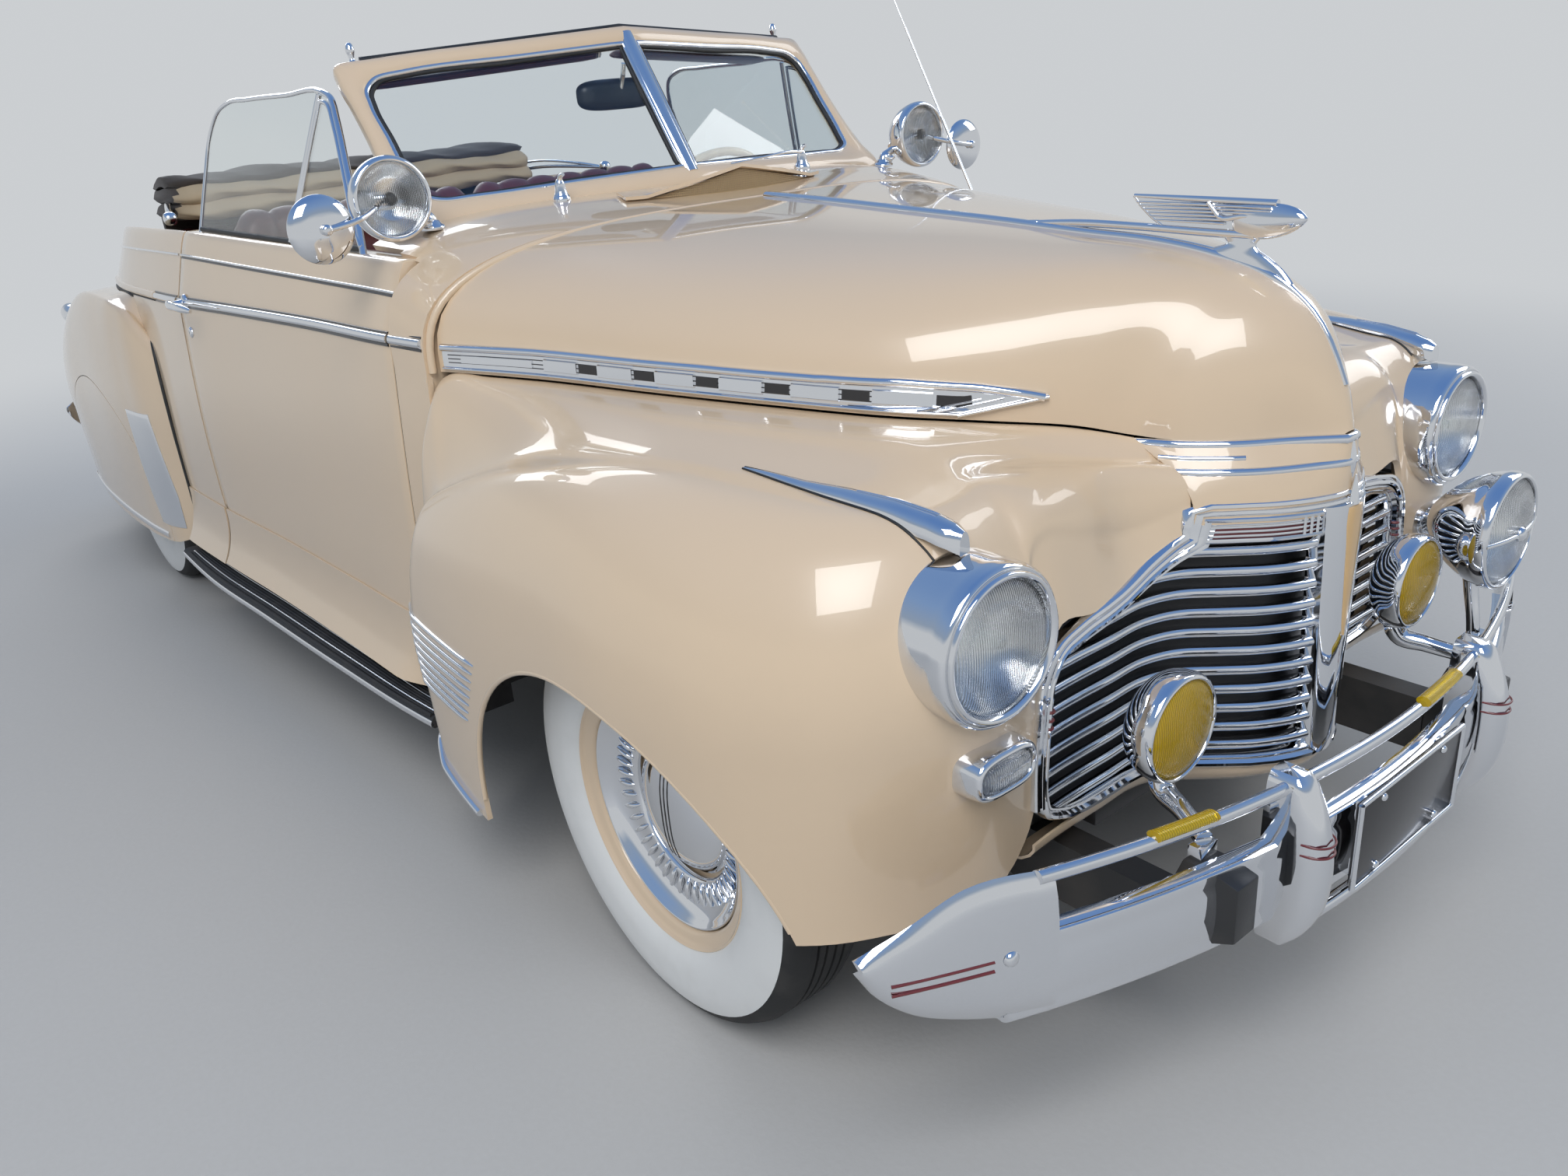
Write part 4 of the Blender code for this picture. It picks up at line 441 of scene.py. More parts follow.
def tube(path, radius, sides=16, steps=8, flat=1.0, closed=False):
    # a round or flattened bar along a smooth path; radius may be a list that follows the path
    keys = np.array(path, float)
    radii = np.broadcast_to(np.array(radius, float), (len(keys),))
    fine = smoothLine(np.concatenate([keys, radii[:, None]], axis=1),
        steps) if steps > 1 else np.concatenate([keys, radii[:, None]], axis=1)
    rings = []
    side = None
    for i, row in enumerate(fine):
        ahead, behind = fine[min(i + 1, len(fine) - 1), :3], fine[max(i - 1, 0), :3]
        if closed:
            ahead, behind = fine[(i + 1) % len(fine), :3], fine[i - 1, :3]
        heading = Vector(ahead - behind).normalized()
        if side is None:
            side = Vector((0, 0, 1)) if abs(heading.z) < 0.9 else Vector((0, 1, 0))
        side = (side - heading * side.dot(heading)).normalized()
        other = heading.cross(side)
        turns = [2 * math.pi * k / sides for k in range(sides)]
        middle, r = Vector(row[:3]), row[3]
        rings.append([middle + side * r * math.cos(t) * flat + other * r * math.sin(t) for t in turns])
    return loft(rings, closed=closed)


def block(low, high):
    (x0, y0, z0), (x1, y1, z1) = low, high
    points = [(x, y, z) for x in (x0, x1) for y in (y0, y1) for z in (z0, z1)]
    return points, [(0, 1, 3, 2), (4, 6, 7, 5), (0, 4, 5, 1), (2, 3, 7, 6), (0, 2, 6, 4), (1, 5, 7, 3)]


def meshOf(name, part):
    points, faces = part
    made = bpy.data.meshes.new(name)
    made.from_pydata([tuple(map(float, p)) for p in points], [], faces)
    work = bmesh.new()
    work.from_mesh(made)
    bmesh.ops.delete(work, geom=[v for v in work.verts if not v.link_faces], context="VERTS")
    bmesh.ops.remove_doubles(work, verts=work.verts, dist=1e-6)
    bmesh.ops.recalc_face_normals(work, faces=work.faces)
    work.to_mesh(made)
    work.free()
    return made


def plain(obj):
    # the object with its modifiers applied
    depsgraph = bpy.context.evaluated_depsgraph_get()
    made = bpy.data.meshes.new_from_object(obj.evaluated_get(depsgraph))
    obj.modifiers.clear()
    old = obj.data
    obj.data = made
    bpy.data.meshes.remove(old)
    return obj


def piece(name, part, finish, body="chassis", cadNodes=(), slot=None, smooth=35, bevel=0.0, cuts=()):
    # one finished piece: its mesh, cuts, soft edges, material and the body it rides on
    finishes = finish if isinstance(finish, (list, tuple)) else [finish]
    obj = bpy.data.objects.new(name, meshOf(name, part))
    bpy.context.scene.collection.objects.link(obj)
    for one in finishes:
        obj.data.materials.append(one)
    for i, cutter in enumerate(cuts):
        helper = bpy.data.objects.new(f"{name}Cutter{i}", meshOf(name + "Cutter", cutter))
        bpy.context.scene.collection.objects.link(helper)
        step = obj.modifiers.new("Cut", "BOOLEAN")
        step.operation, step.solver, step.object = "DIFFERENCE", "EXACT", helper
        plain(obj)
        bpy.data.objects.remove(helper)
    if bevel:
        step = obj.modifiers.new("Edge", "BEVEL")
        step.width, step.segments, step.limit_method = bevel, 2, "ANGLE"
        step.angle_limit = math.radians(30)
        step.harden_normals = False
        plain(obj)
    if smooth:
        obj.data.shade_smooth()
        obj.data.set_sharp_from_angle(angle=math.radians(smooth))
    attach(obj, body)
    if cadNodes:
        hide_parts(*cadNodes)
    return obj


def chromePiece(name, part, body="chassis", cadNodes=(), **more):
    return piece(name, part, chrome, body, cadNodes, "chrome_plate", **more)


def creamPiece(name, part, body="chassis", cadNodes=(), **more):
    return piece(name, part, cream, body, cadNodes, "cream_paint", **more)


def sides():
    # each side as it is called in a piece and in a node, and its way along X
    return (("Left", "left", 1), ("Right", "right", -1))


def hands():
    return (("Left", 1), ("Right", -1))


def sided(part, side):
    return part if side > 0 else mirrored(part)


cameraValues = {"place": (-1.62025, -3.10432, 1.41335), "lens": 28.047, "sensor": 36.0}


def photoCamera():
    right, up, ahead = (0.76825, -0.63604, -0.07247), (0.29688, 0.25372, 0.92060), (0.56714, 0.72876,
        -0.38375)
    data = bpy.data.cameras.new("photoCamera")
    data.lens, data.sensor_width = cameraValues["lens"], cameraValues["sensor"]
    data.clip_start, data.clip_end = 0.05, 100
    camera = bpy.data.objects.new("photoCamera", data)
    turn = Matrix((right, up, [-v for v in ahead])).transposed().to_4x4()
    camera.matrix_world = Matrix.Translation(cameraValues["place"]) @ turn
    bpy.context.scene.collection.objects.link(camera)
    bpy.context.scene.camera = camera


photoCamera()

studio = {"floorTone": (0.60, 0.59, 0.575), "backdrop": (0.60, 0.62, 0.64), "sky": 0.58, "key": 235.0,
    "side": 82.0, "back": 112.0, "blendFrom": 2.5, "blendTo": 6.5, "floorHalf": 60.0, "floorZ": -0.001}


def studioFloor():
    floorFinish = Finish("paleFloor", studio["floorTone"], 0.75)
    speckle = floorFinish.noise(90.0, 6.0)
    slow = floorFinish.noise(0.8, 3.0)
    base = floorFinish.mix(speckle * 0.35 + slow * 0.35, studio["floorTone"], (0.52, 0.50, 0.47))
    floorFinish.put("Base Color", base)
    floorFinish.bump(speckle, 0.25, 0.002)
    # far from the car the floor takes the backdrop's plain tone for the camera
    tree = floorFinish.tree
    reach = floorFinish.add("ShaderNodeVectorMath", {"operation": "LENGTH"},
        {0: floorFinish.add("ShaderNodeTexCoord", out=3)}, 1)
    far = floorFinish.add("ShaderNodeMapRange", {"interpolation_type": "SMOOTHSTEP"},
        {0: reach, 1: studio["blendFrom"], 2: studio["blendTo"]})
    eyes = [floorFinish.add("ShaderNodeLightPath", out=k) for k in (0, 3, 6)]
    seen = floorFinish.math("MAXIMUM", floorFinish.math("MAXIMUM", eyes[0], eyes[1]), eyes[2])
    plainTone = floorFinish.add("ShaderNodeEmission", None, {0: (*studio["backdrop"], 1.0)})
    blend = floorFinish.add("ShaderNodeMixShader", None,
        {0: far * seen, 1: Value(floorFinish, floorFinish.shader.outputs[0]), 2: plainTone})
    tree.links.new(blend.socket, tree.nodes["Material Output"].inputs[0])
    half = studio["floorHalf"]
    points = [(x, y, studio["floorZ"]) for x in (-half, half) for y in (-half, half)]
    floor = bpy.data.objects.new("studioFloor", meshOf("studioFloor", (points, [(0, 2, 3, 1)])))
    floor.data.materials.append(floorFinish.material)
    bpy.context.scene.collection.objects.link(floor)


def softLamp(name, place, aim, size, power, tone=(1.0, 1.0, 1.0)):
    data = bpy.data.lights.new(name, "AREA")
    data.shape, data.size, data.size_y = "RECTANGLE", size[0], size[1]
    data.energy, data.color = power, tone
    lamp = bpy.data.objects.new(name, data)
    lamp.location = place
    lamp.rotation_euler = (Vector(aim) - Vector(place)).to_track_quat("-Z", "Y").to_euler()
    bpy.context.scene.collection.objects.link(lamp)


def skyRamp(tree, height, stops):
    ramp = tree.nodes.new("ShaderNodeValToRGB")
    tree.links.new(height, ramp.inputs[0])
    for i, (spot, tone) in enumerate(stops):
        element = ramp.color_ramp.elements[i] if i < 2 else ramp.color_ramp.elements.new(spot)
        element.position, element.color = spot, (*tone, 1.0)
    return ramp.outputs[0]


def studioWorld():
    # soft sky light on the object, and a plain pale backdrop for the camera, metal and glass
    world = bpy.data.worlds.new("studioWorld")
    bpy.context.scene.world = world
    world.use_nodes = True
    tree = world.node_tree
    back = tree.nodes["Background"]
    seen = tree.nodes.new("ShaderNodeBackground")
    where = tree.nodes.new("ShaderNodeTexCoord")
    split = tree.nodes.new("ShaderNodeSeparateXYZ")
    tree.links.new(where.outputs["Generated"], split.inputs[0])
    lightStops = ((0.0, (0.50, 0.49, 0.47)), (0.02, (0.90, 0.92, 0.95)), (0.30, (0.62, 0.70, 0.80)),
        (1.0, (0.30, 0.42, 0.62)))
    seenStops = ((0.0, studio["backdrop"]), (0.20, studio["backdrop"]), (0.32, (0.30, 0.37, 0.47)),
        (0.60, (0.22, 0.34, 0.56)), (1.0, (0.12, 0.24, 0.52)))
    tree.links.new(skyRamp(tree, split.outputs[2], lightStops), back.inputs[0])
    tree.links.new(skyRamp(tree, split.outputs[2], seenStops), seen.inputs[0])
    back.inputs[1].default_value = studio["sky"]
    paths, choice = tree.nodes.new("ShaderNodeLightPath"), tree.nodes.new("ShaderNodeMixShader")
    first, second = tree.nodes.new("ShaderNodeMath"), tree.nodes.new("ShaderNodeMath")
    first.operation = second.operation = "MAXIMUM"
    tree.links.new(paths.outputs["Is Camera Ray"], first.inputs[0])
    tree.links.new(paths.outputs["Is Glossy Ray"], first.inputs[1])
    tree.links.new(first.outputs[0], second.inputs[0])
    tree.links.new(paths.outputs["Is Transmission Ray"], second.inputs[1])
    tree.links.new(second.outputs[0], choice.inputs[0])
    tree.links.new(back.outputs[0], choice.inputs[1])
    tree.links.new(seen.outputs[0], choice.inputs[2])
    tree.links.new(choice.outputs[0], tree.nodes["World Output"].inputs[0])


studioFloor()
studioWorld()
softLamp("keyLamp", (-3.5, -4.5, 5.5), (0, -0.6, 0.5), (3.5, 3.5), studio["key"])
softLamp("sideLamp", (5.5, -2.5, 4.0), (0, 0, 0.5), (3.0, 3.0), studio["side"])
softLamp("backLamp", (0.5, 6.5, 4.5), (0, 0.5, 0.5), (4.0, 2.5), studio["back"])
bpy.context.scene.view_settings.view_transform = "Standard"
print("camera, floor and lamps placed")

# Body sides: station | half width low, middle, belt | belt height | half width and height at the sill.
sideTable = (
    (0.60, 0.775, 0.760, 0.742, 1.030, 0.722, 1.105), (0.79, 0.790, 0.782, 0.760, 1.028, 0.726, 1.110),
    (1.16, 0.800, 0.797, 0.775, 1.025, 0.745, 1.115), (1.60, 0.815, 0.818, 0.800, 1.018, 0.768, 1.120),
    (1.97, 0.835, 0.843, 0.825, 1.012, 0.790, 1.125), (2.30, 0.846, 0.848, 0.825, 1.006, 0.792, 1.120),
    (2.63, 0.840, 0.840, 0.810, 1.000, 0.775, 1.110), (2.95, 0.800, 0.800, 0.760, 0.990, 0.720, 1.090),
    (3.13, 0.760, 0.760, 0.720, 0.975, 0.680, 1.070), (3.40, 0.700, 0.700, 0.660, 0.930, 0.610, 1.005),
    (3.70, 0.620, 0.610, 0.570, 0.830, 0.510, 0.890), (3.90, 0.530, 0.520, 0.480, 0.700, 0.420, 0.755),
    (4.00, 0.480, 0.470, 0.430, 0.590, 0.380, 0.630),
)
bodyValues = {"sheet": 0.012, "wall": 0.046, "rearWall": 0.022, "bottom": 0.30, "doorBottom": 0.305,
    "middle": 0.69, "ledgeRise": 0.045, "ledgeInset": 0.024}
fineSides = smoothLine(sideTable, 10)


def sideRow(station):
    return [float(np.interp(station, fineSides[:, 0], fineSides[:, k])) for k in range(1, 7)]


def sideX(station, z):
    low, middle, belt, beltZ, sill, sillZ = sideRow(station)
    keys = [(bodyValues["bottom"], low), (bodyValues["middle"], middle), (beltZ, belt), (sillZ, sill)]
    fine = smoothLine(keys, 8, (2,))
    return float(np.interp(z, fine[:, 0], fine[:, 1]))


def ledgeRow(station):
    # the rounded ledge inside the sill, over the doors and the rear quarters
    sill, sillZ = sideRow(station)[4:]
    inset, rise = bodyValues["ledgeInset"], bodyValues["ledgeRise"]
    return [(sill - inset * t, station, sillZ + rise * math.sin(t * math.pi / 2))
        for t in (0.25, 0.5, 0.75, 1.0)]


# Hood rows: half width, station and height at the seam, station and height at the crown, fullness
hoodTable = (
    (.014, -.652, .906, -.657, .912, 2.0), (.060, -.605, .907, -.643, .965, 2.0),
    (.112, -.562, .907, -.612, 1.030, 2.0),
    (.164, -.498, .908, -.565, 1.084, 2.1), (.191, -.435, .912, -.505, 1.116, 2.2),
    (.250, -.378, .930, -.425, 1.136, 2.3),
    (.330, -.300, .942, -.330, 1.149, 2.4), (.420, -.190, .952, -.205, 1.156, 2.5),
    (.500, -.020, .960, -.020, 1.168, 2.6),
    (.573, .190, .965, .170, 1.178, 2.7), (.645, .440, .969, .400, 1.190, 2.9),
    (.728, .664, .971, .598, 1.198, 3.1),
)
fineHood = smoothLine(hoodTable, 6)


def archRow(line, count=26):
    # a fuller or leaner arch from the seam to the crown, its points at equal distances
    half, seamS, seamZ, crownS, crownZ, full = line
    row = []
    steps = 240
    for i in range(steps + 1):
        a = math.radians(90 * i / steps)
        c = max(math.cos(a), 0.0) ** (2 / full)
        s = math.sin(a) ** (2 / full)
        row.append((half * c, crownS + (seamS - crownS) * c**1.7, seamZ + (crownZ - seamZ) * s))
    return evenly(row, count)


def bothSides(row):
    return [at(*p) for p in row] + [at(-p[0], p[1], p[2]) for p in row[::-1][1:]]


def smoothAt(table, share):
    spot = share * (len(table) - 1)
    return [float(np.interp(spot, range(len(table)), table[:, k])) for k in range(table.shape[1])]


def makeHood():
    grid = np.array([bothSides(archRow(line)) for line in fineHood])
    creamPiece("hoodSkin", shell(grid, 0.010), "hood", ["hood"], smooth=40)
    ribs = []
    for share in (0.45, 0.62, 0.80, 0.93):
        line = np.array(smoothAt(fineHood, share))
        row = archRow((line[0] - 0.014, line[1], line[2], line[3], line[4] - 0.013, line[5]))
        ribs.append(tube([at(*p) for p in row[2:]] + [at(-p[0], p[1], p[2]) for p in row[2:-1][::-1]],
            0.008, 8, 1))
    piece("hoodBows", join(ribs), cream, "hood")


# Cowl rows: station at the side, station and height at the crown, fullness
cowlTable = ((0.671, 0.605, 1.200, 3.1), (0.787, 0.740, 1.212, 3.7), (0.880, 0.850, 1.220, 4.0),
    (0.990, 0.985, 1.225, 4.0))
cowlValues = {"seam": 0.971, "firewall": 0.674, "corner": 0.686}


def cowlRow(sideS, crownS, crownZ, full, skirt):
    arch = archRow((sideX(sideS, cowlValues["seam"]), sideS, cowlValues["seam"], crownS, crownZ, full),
        34)
    if not skirt:
        return [tuple(p) for p in arch]
    heights = np.linspace(bodyValues["bottom"], cowlValues["seam"], 18)[:-1]
    return [(sideX(sideS, z), sideS, z) for z in heights] + [tuple(p) for p in arch]


def cowlHeight(x, station):
    fine = smoothLine(cowlTable, 6)
    crown = float(np.interp(station, fine[:, 1], fine[:, 2]))
    full = float(np.interp(station, fine[:, 1], fine[:, 3]))
    half = sideX(station, cowlValues["seam"])
    return cowlValues["seam"] + (crown - cowlValues["seam"]) * (1 - min(abs(x) / half,
        1.0) ** full) ** (1 / full)


def makeCowl():
    fine = smoothLine(cowlTable, 8)
    lower = np.array([bothSides(cowlRow(*line, True)) for line in fine[:9]])
    parts = [shell(lower, bodyValues["sheet"])]
    upper = np.array([bothSides([tuple(p) for p in evenly(cowlRow(*line, False), 90)])
        for line in fine[8:]])
    reach = np.abs(upper[:, :, 0])
    keep = np.maximum(np.maximum(reach[:-1, :-1], reach[1:, :-1]),
        np.maximum(reach[:-1, 1:], reach[1:, 1:])) < cowlValues["corner"]
    parts.append(shell(upper, bodyValues["sheet"], keep))
    y = cowlValues["firewall"]
    wall = [(x, z) for x, z in ((-0.755, 0.604), (0.755, 0.604), (0.755, 0.96), (0.70, 1.10),
        (0.55, 1.17), (-0.55, 1.17), (-0.70, 1.10), (-0.755, 0.96))]
    parts.append(loft([[at(x, s, z) for x, z in wall] for s in (y, y + 0.016)]))
    creamPiece("cowlPanels", join(parts), "chassis", ["cowl"], smooth=40)
    edge = bothSides([tuple(p) for p in evenly(cowlRow(*fine[0], False), 40)])
    centre = np.array(at(0, 0.66, 0.95))
    path = [centre + (np.array(p) - centre) * np.array((0.984, 1.0, 0.972)) for p in edge]
    creamPiece("hoodRest", tube([p + np.array((0, -0.002, 0)) for p in path], 0.0075, 10, 1), smooth=60)


# Rear body rows: station, height of the lower edge, height at the middle of the deck
rearTable = (
    (1.985, .30, 1.16), (2.13, .30, 1.16), (2.30, .30, 1.16), (2.47, .30, 1.15), (2.70, .30, 1.15),
    (3.008, .30, 1.133),
    (3.06, .30, 1.125), (3.25, .30, 1.085), (3.45, .30, 1.025), (3.70, .32, .910), (3.885, .36, .785),
    (3.96, .38, .700), (4.00, .40, .640),
)
rearValues = {"archFront": 2.47, "archRear": 3.45, "deckFront": 3.008, "lidFront": 3.062,
    "lidRear": 3.885, "lidEdge": 0.79}
# the lid's gaps, and where the dark tube of painted shade lies in them
lidValues = {"gap": 0.006, "sideGap": 0.003, "gapShadeFront": 3.061, "gapShadeRear": 3.8818, "gapShadeZ": -0.0075,
    "gapShadeRadius": 0.0045}


def rearLine(station):
    fine = smoothLine(rearTable, 6)
    return [float(np.interp(station, fine[:, 0], fine[:, k])) for k in (1, 2)]


def panelRow(station, low):
    # a side panel's section, from its lower edge over the belt to the sill
    belt, beltZ, sill, sillZ = sideRow(station)[2:]
    row = [(sideX(station, z), station, z) for z in np.linspace(low, beltZ, 22)]
    for t in (0.2, 0.4, 0.6, 0.8, 1.0):
        row.append((belt + (sill - belt) * t, station, beltZ + (sillZ - beltZ) * t))
    return row


def rearSide(station):
    return panelRow(station, rearLine(station)[0])


def deckRow(station):
    sill, sillZ = sideRow(station)[4:]
    top = rearLine(station)[1]
    keys = [(sill, sillZ)] + [(sill * f, sillZ + (top - sillZ) * (1 - f**2.4))
        for f in (0.93, 0.86, 0.8, 0.68, 0.55, 0.42, 0.28, 0.14, 0.0)]
    fine = smoothLine(keys, 4)
    return [(x, station, z) for x, z in fine]


def makeRearBody():
    sideStations = sorted(set(np.linspace(1.985, 4.0, 72).round(4)) | {rearValues["archFront"],
        rearValues["archRear"]})
    grid, depth = [], []
    for station in sideStations:
        row = rearSide(station)
        if station <= rearValues["deckFront"] + 0.001:
            row += ledgeRow(station)
        else:
            deck = deckRow(station)
            row += [tuple(p) for p in evenly(deck[:5], 5)[1:]]
        grid.append([at(*p) for p in row])
        depth.append(bodyValues["wall" if station < rearValues["archFront"] else "rearWall"])
    grid = np.array(grid)
    keep = np.ones((grid.shape[0] - 1, grid.shape[1] - 1), bool)
    archRows = 14
    for r in range(len(sideStations) - 1):
        middle = (sideStations[r] + sideStations[r + 1]) / 2
        if rearValues["archFront"] < middle < rearValues["archRear"]:
            keep[r, :archRows] = False
    side = shell(grid, depth, keep)
    deckStations = np.linspace(rearValues["deckFront"], 4.0, 44)
    deck = np.array([bothSides(deckRow(s)) for s in deckStations])
    columns = deck.shape[1]
    keepDeck = np.ones((deck.shape[0] - 1, columns - 1), bool)
    edge = np.searchsorted(-np.abs(np.array([p[0] for p in deckRow(3.5)])),
        -rearValues["lidEdge"] * sideRow(3.5)[4])
    for r in range(len(deckStations) - 1):
        middle = (deckStations[r] + deckStations[r + 1]) / 2
        if rearValues["lidFront"] < middle < rearValues["lidRear"]:
            keepDeck[r, edge : columns - 1 - edge] = False
    tail = [(p[0], p[2]) for p in rearSide(4.0)] + [(p[0], p[2]) for p in deckRow(4.0)[1:]]
    outline = [(x * 0.999, z) for x, z in tail] + [(-x * 0.999, z) for x, z in tail[::-1][1:]]
    panel = loft([[at(x * k, s, 0.52 + (z - 0.52) * k) for x, z in outline]
        for s, k in ((3.985, 1.0), (4.004, 1.0), (4.012, 0.985))])
    creamPiece("rearBody", join([side, mirrored(side), shell(deck, bodyValues["sheet"], keepDeck),
        panel]), "chassis", ["rear_body"], smooth=40)
    gap = lidValues["gap"]
    lidStations = np.linspace(rearValues["lidFront"] + gap, rearValues["lidRear"] - gap, 40)
    rows = [deckRow(s)[edge:] for s in lidStations]
    for row in rows:
        first, second = np.array(row[0]), np.array(row[1])
        row[0] = tuple(first + (second - first) * lidValues["sideGap"] / np.linalg.norm(second - first))
    lid = np.array([bothSides(row) for row in rows])
    creamPiece("trunkLid", shell(lid, 0.014), "trunk_lid", ["trunk_lid"], smooth=40)
    # a dark rubber tube in the gap round the lid: painted shade that stands in for the gap's shadow and
    # marks the lid's outline
    border = []
    v = lidValues
    for station in np.linspace(v["gapShadeFront"], v["gapShadeRear"], 30):
        first, second = (np.array(p) for p in deckRow(station)[edge : edge + 2])
        border.append(first + (second - first) * 0.0015 / np.linalg.norm(second - first) + (-0.004, 0,
            -0.0065))
    front = [np.array(p) + (0, 0, v["gapShadeZ"]) for p in deckRow(v["gapShadeFront"])[edge + 1 :] if p[0] > 0.30]
    rear = [np.array(p) + (0, 0, v["gapShadeZ"]) for p in deckRow(v["gapShadeRear"])[edge + 1 :]]
    half = [at(*p) for p in evenly([*front[::-1], *border, *rear], 90)]
    line = [*half, *[(-x, y, z) for x, y, z in half[::-1][1:]]]
    # painted shade: a dark tube sunk in the lid's gap
    piece("lidSeal", tube(line, v["gapShadeRadius"], 8, 1), seal, "chassis", smooth=60)


# the doors' ends, and the depth and size of the dark tubes of painted shade in their gaps
doorValues = {"front": 0.794, "rear": 1.977, "lean": 0.331, "gapShadeDepth": 0.0062, "gapShadeRadius": 0.0045}


def doorRow(station):
    return panelRow(station, bodyValues["doorBottom"]) + ledgeRow(station)


def makeDoors():
    lines = []
    # dark tubes sunk in each door's front and rear gap: painted shade for the shadow in the shut lines
    for station in (doorValues["front"] - 0.002, doorValues["rear"] + 0.004):
        line = [np.array(at(*p)) - (doorValues["gapShadeDepth"], 0, 0) for p in doorRow(station)[:27]]
        lines.append(tube(evenly(line, 30), doorValues["gapShadeRadius"], 8, 1))
    piece("doorSeals", join([*lines, *[mirrored(line) for line in lines]]), seal, "chassis", smooth=60)
    for name, label, side in sides():
        rings = []
        for station in np.linspace(doorValues["front"], doorValues["rear"], 34):
            outer = [at(*p) for p in doorRow(station)]
            inner = [(p[0] - bodyValues["wall"], p[1], p[2]) for p in outer][::-1]
            rings.append(outer + inner)
        creamPiece(f"door{name}", sided(loft(rings), side), f"door_{label}", [f"door_{label}"], smooth=40,
            bevel=0.002)


makeHood()
makeCowl()
makeRearBody()
makeDoors()
print("hood, cowl, doors and rear body made")


class Surface:
    # a mesh that trim is laid on: rays find its outer face
    def __init__(self, *parts):
        points, faces = join(parts)
        self.tree = BVHTree.FromPolygons([Vector(p) for p in points], faces)

    def hit(self, start, heading):
        spot, normal = self.tree.ray_cast(Vector(start), Vector(heading).normalized())[:2]
        if spot is None:
            spot, normal = self.tree.find_nearest(Vector(start))[:2]
        return np.array(spot), np.array(normal if normal.dot(Vector(heading)) < 0 else -normal)

    def side(self, station, z):
        return self.hit(at(1.3, station, z), (-1, 0, 0))

    def top(self, x, station):
        return self.hit(at(x, station, 1.6), (0, 0, -1))


def moulding(spots, width, height, section=None, sink=0.003):
    # a rounded strip laid along (point, normal) pairs; width may be a list
    points = np.array([s[0] for s in spots])
    normals = np.array([s[1] for s in spots])
    widths = np.broadcast_to(np.array(width, float), (len(points),))
    heights = np.broadcast_to(np.array(height, float), (len(points),))
    section = section or [(-0.5, -1.0), (-0.5, 0.35), (-0.36, 0.80), (-0.14, 1.0), (0.14, 1.0),
        (0.36, 0.80), (0.5, 0.35), (0.5, -1.0)]
    rings = []
    for i in range(len(points)):
        heading = points[min(i + 1, len(points) - 1)] - points[max(i - 1, 0)]
        heading /= np.linalg.norm(heading)
        n = normals[i] / np.linalg.norm(normals[i])
        across = np.cross(heading, n)
        across /= np.linalg.norm(across)
        rings.append([points[i] + across * w * widths[i] + n * (h * heights[i] if h > 0 else -sink)
            for w, h in section])
    return loft(rings)


# Front fender rows: apron foot, seam, crest, side and hem
fenderTable = (
    ((.192, -.43, .860), (.193, -.440, .900), (.192, -.486, .880), (.192, -.534, .830),
    (.192, -.541, .780)),
    ((.262, -.37, .870), (.264, -.372, .915), (.270, -.440, .890), (.270, -.490, .800),
    (.270, -.518, .735)),
    ((.350, -.29, .880), (.342, -.295, .930), (.360, -.400, .903), (.360, -.490, .820),
    (.370, -.518, .724)),
    ((.440, -.20, .560), (.428, -.190, .940), (.460, -.380, .910), (.475, -.490, .830),
    (.474, -.521, .703)),
    ((.445, -.12, .560), (.462, -.120, .944), (.530, -.405, .905), (.514, -.520, .660),
    (.508, -.515, .440)),
    ((.450, -.03, .560), (.506, -.020, .948), (.605, -.405, .905), (.625, -.530, .660),
    (.605, -.515, .370)),
    ((.452, .06, .560), (.537, .060, .950), (.665, -.335, .912), (.770, -.465, .660),
    (.755, -.455, .360)),
    ((.455, .18, .560), (.577, .180, .953), (.705, -.200, .922), (.865, -.325, .640),
    (.855, -.335, .340)),
    ((.460, .31, .560), (.617, .310, .955), (.735, -.020, .926), (.912, -.120, .620),
    (.902, -.120, .300)),
    ((.470, .44, .540), (.652, .440, .957), (.775, .200, .900), (.915, .150, .580), (.912, .150, .240)),
    ((.500, .56, .540), (.697, .560, .958), (.795, .420, .842), (.912, .400, .520), (.905, .400, .220)),
    ((.520, .63, .540), (.738, .645, .955), (.803, .560, .790), (.902, .550, .500), (.893, .550, .235)),
    ((.770, .67, .880), (.770, .675, .905), (.806, .630, .745), (.886, .625, .500), (.876, .625, .250)),
    ((.790, .69, .800), (.790, .692, .830), (.809, .680, .690), (.862, .675, .490), (.853, .675, .262)),
    ((.793, .72, .700), (.793, .718, .720), (.795, .724, .640), (.798, .728, .490), (.798, .728, .270)),
)
fenderValues = {"archHalf": 0.400, "archTop": 0.635, "archSpring": 0.24, "lamp": (0.603, -0.549, 0.761),
    "lampRadius": 0.1075}


def fenderLine(keys):
    # one section of a fender, from the seam over the crest to the hem
    seam, crest, side, hem = keys[1:]
    row = []
    for t in np.linspace(0, 1, 13):
        ease = t * t * (3 - 2 * t)
        p = seam + (crest - seam) * t
        p[2] = seam[2] + (crest[2] - seam[2]) * ease
        row.append(p)
    for turn in np.linspace(0, 90, 19)[1:]:
        a = math.radians(turn)
        p = crest + (side - crest) * math.sin(a)
        p[2] = side[2] + (crest[2] - side[2]) * math.cos(a)
        row.append(p)
    for t in np.linspace(0, 1, 13)[1:]:
        row.append(side + (hem - side) * t)
    return row


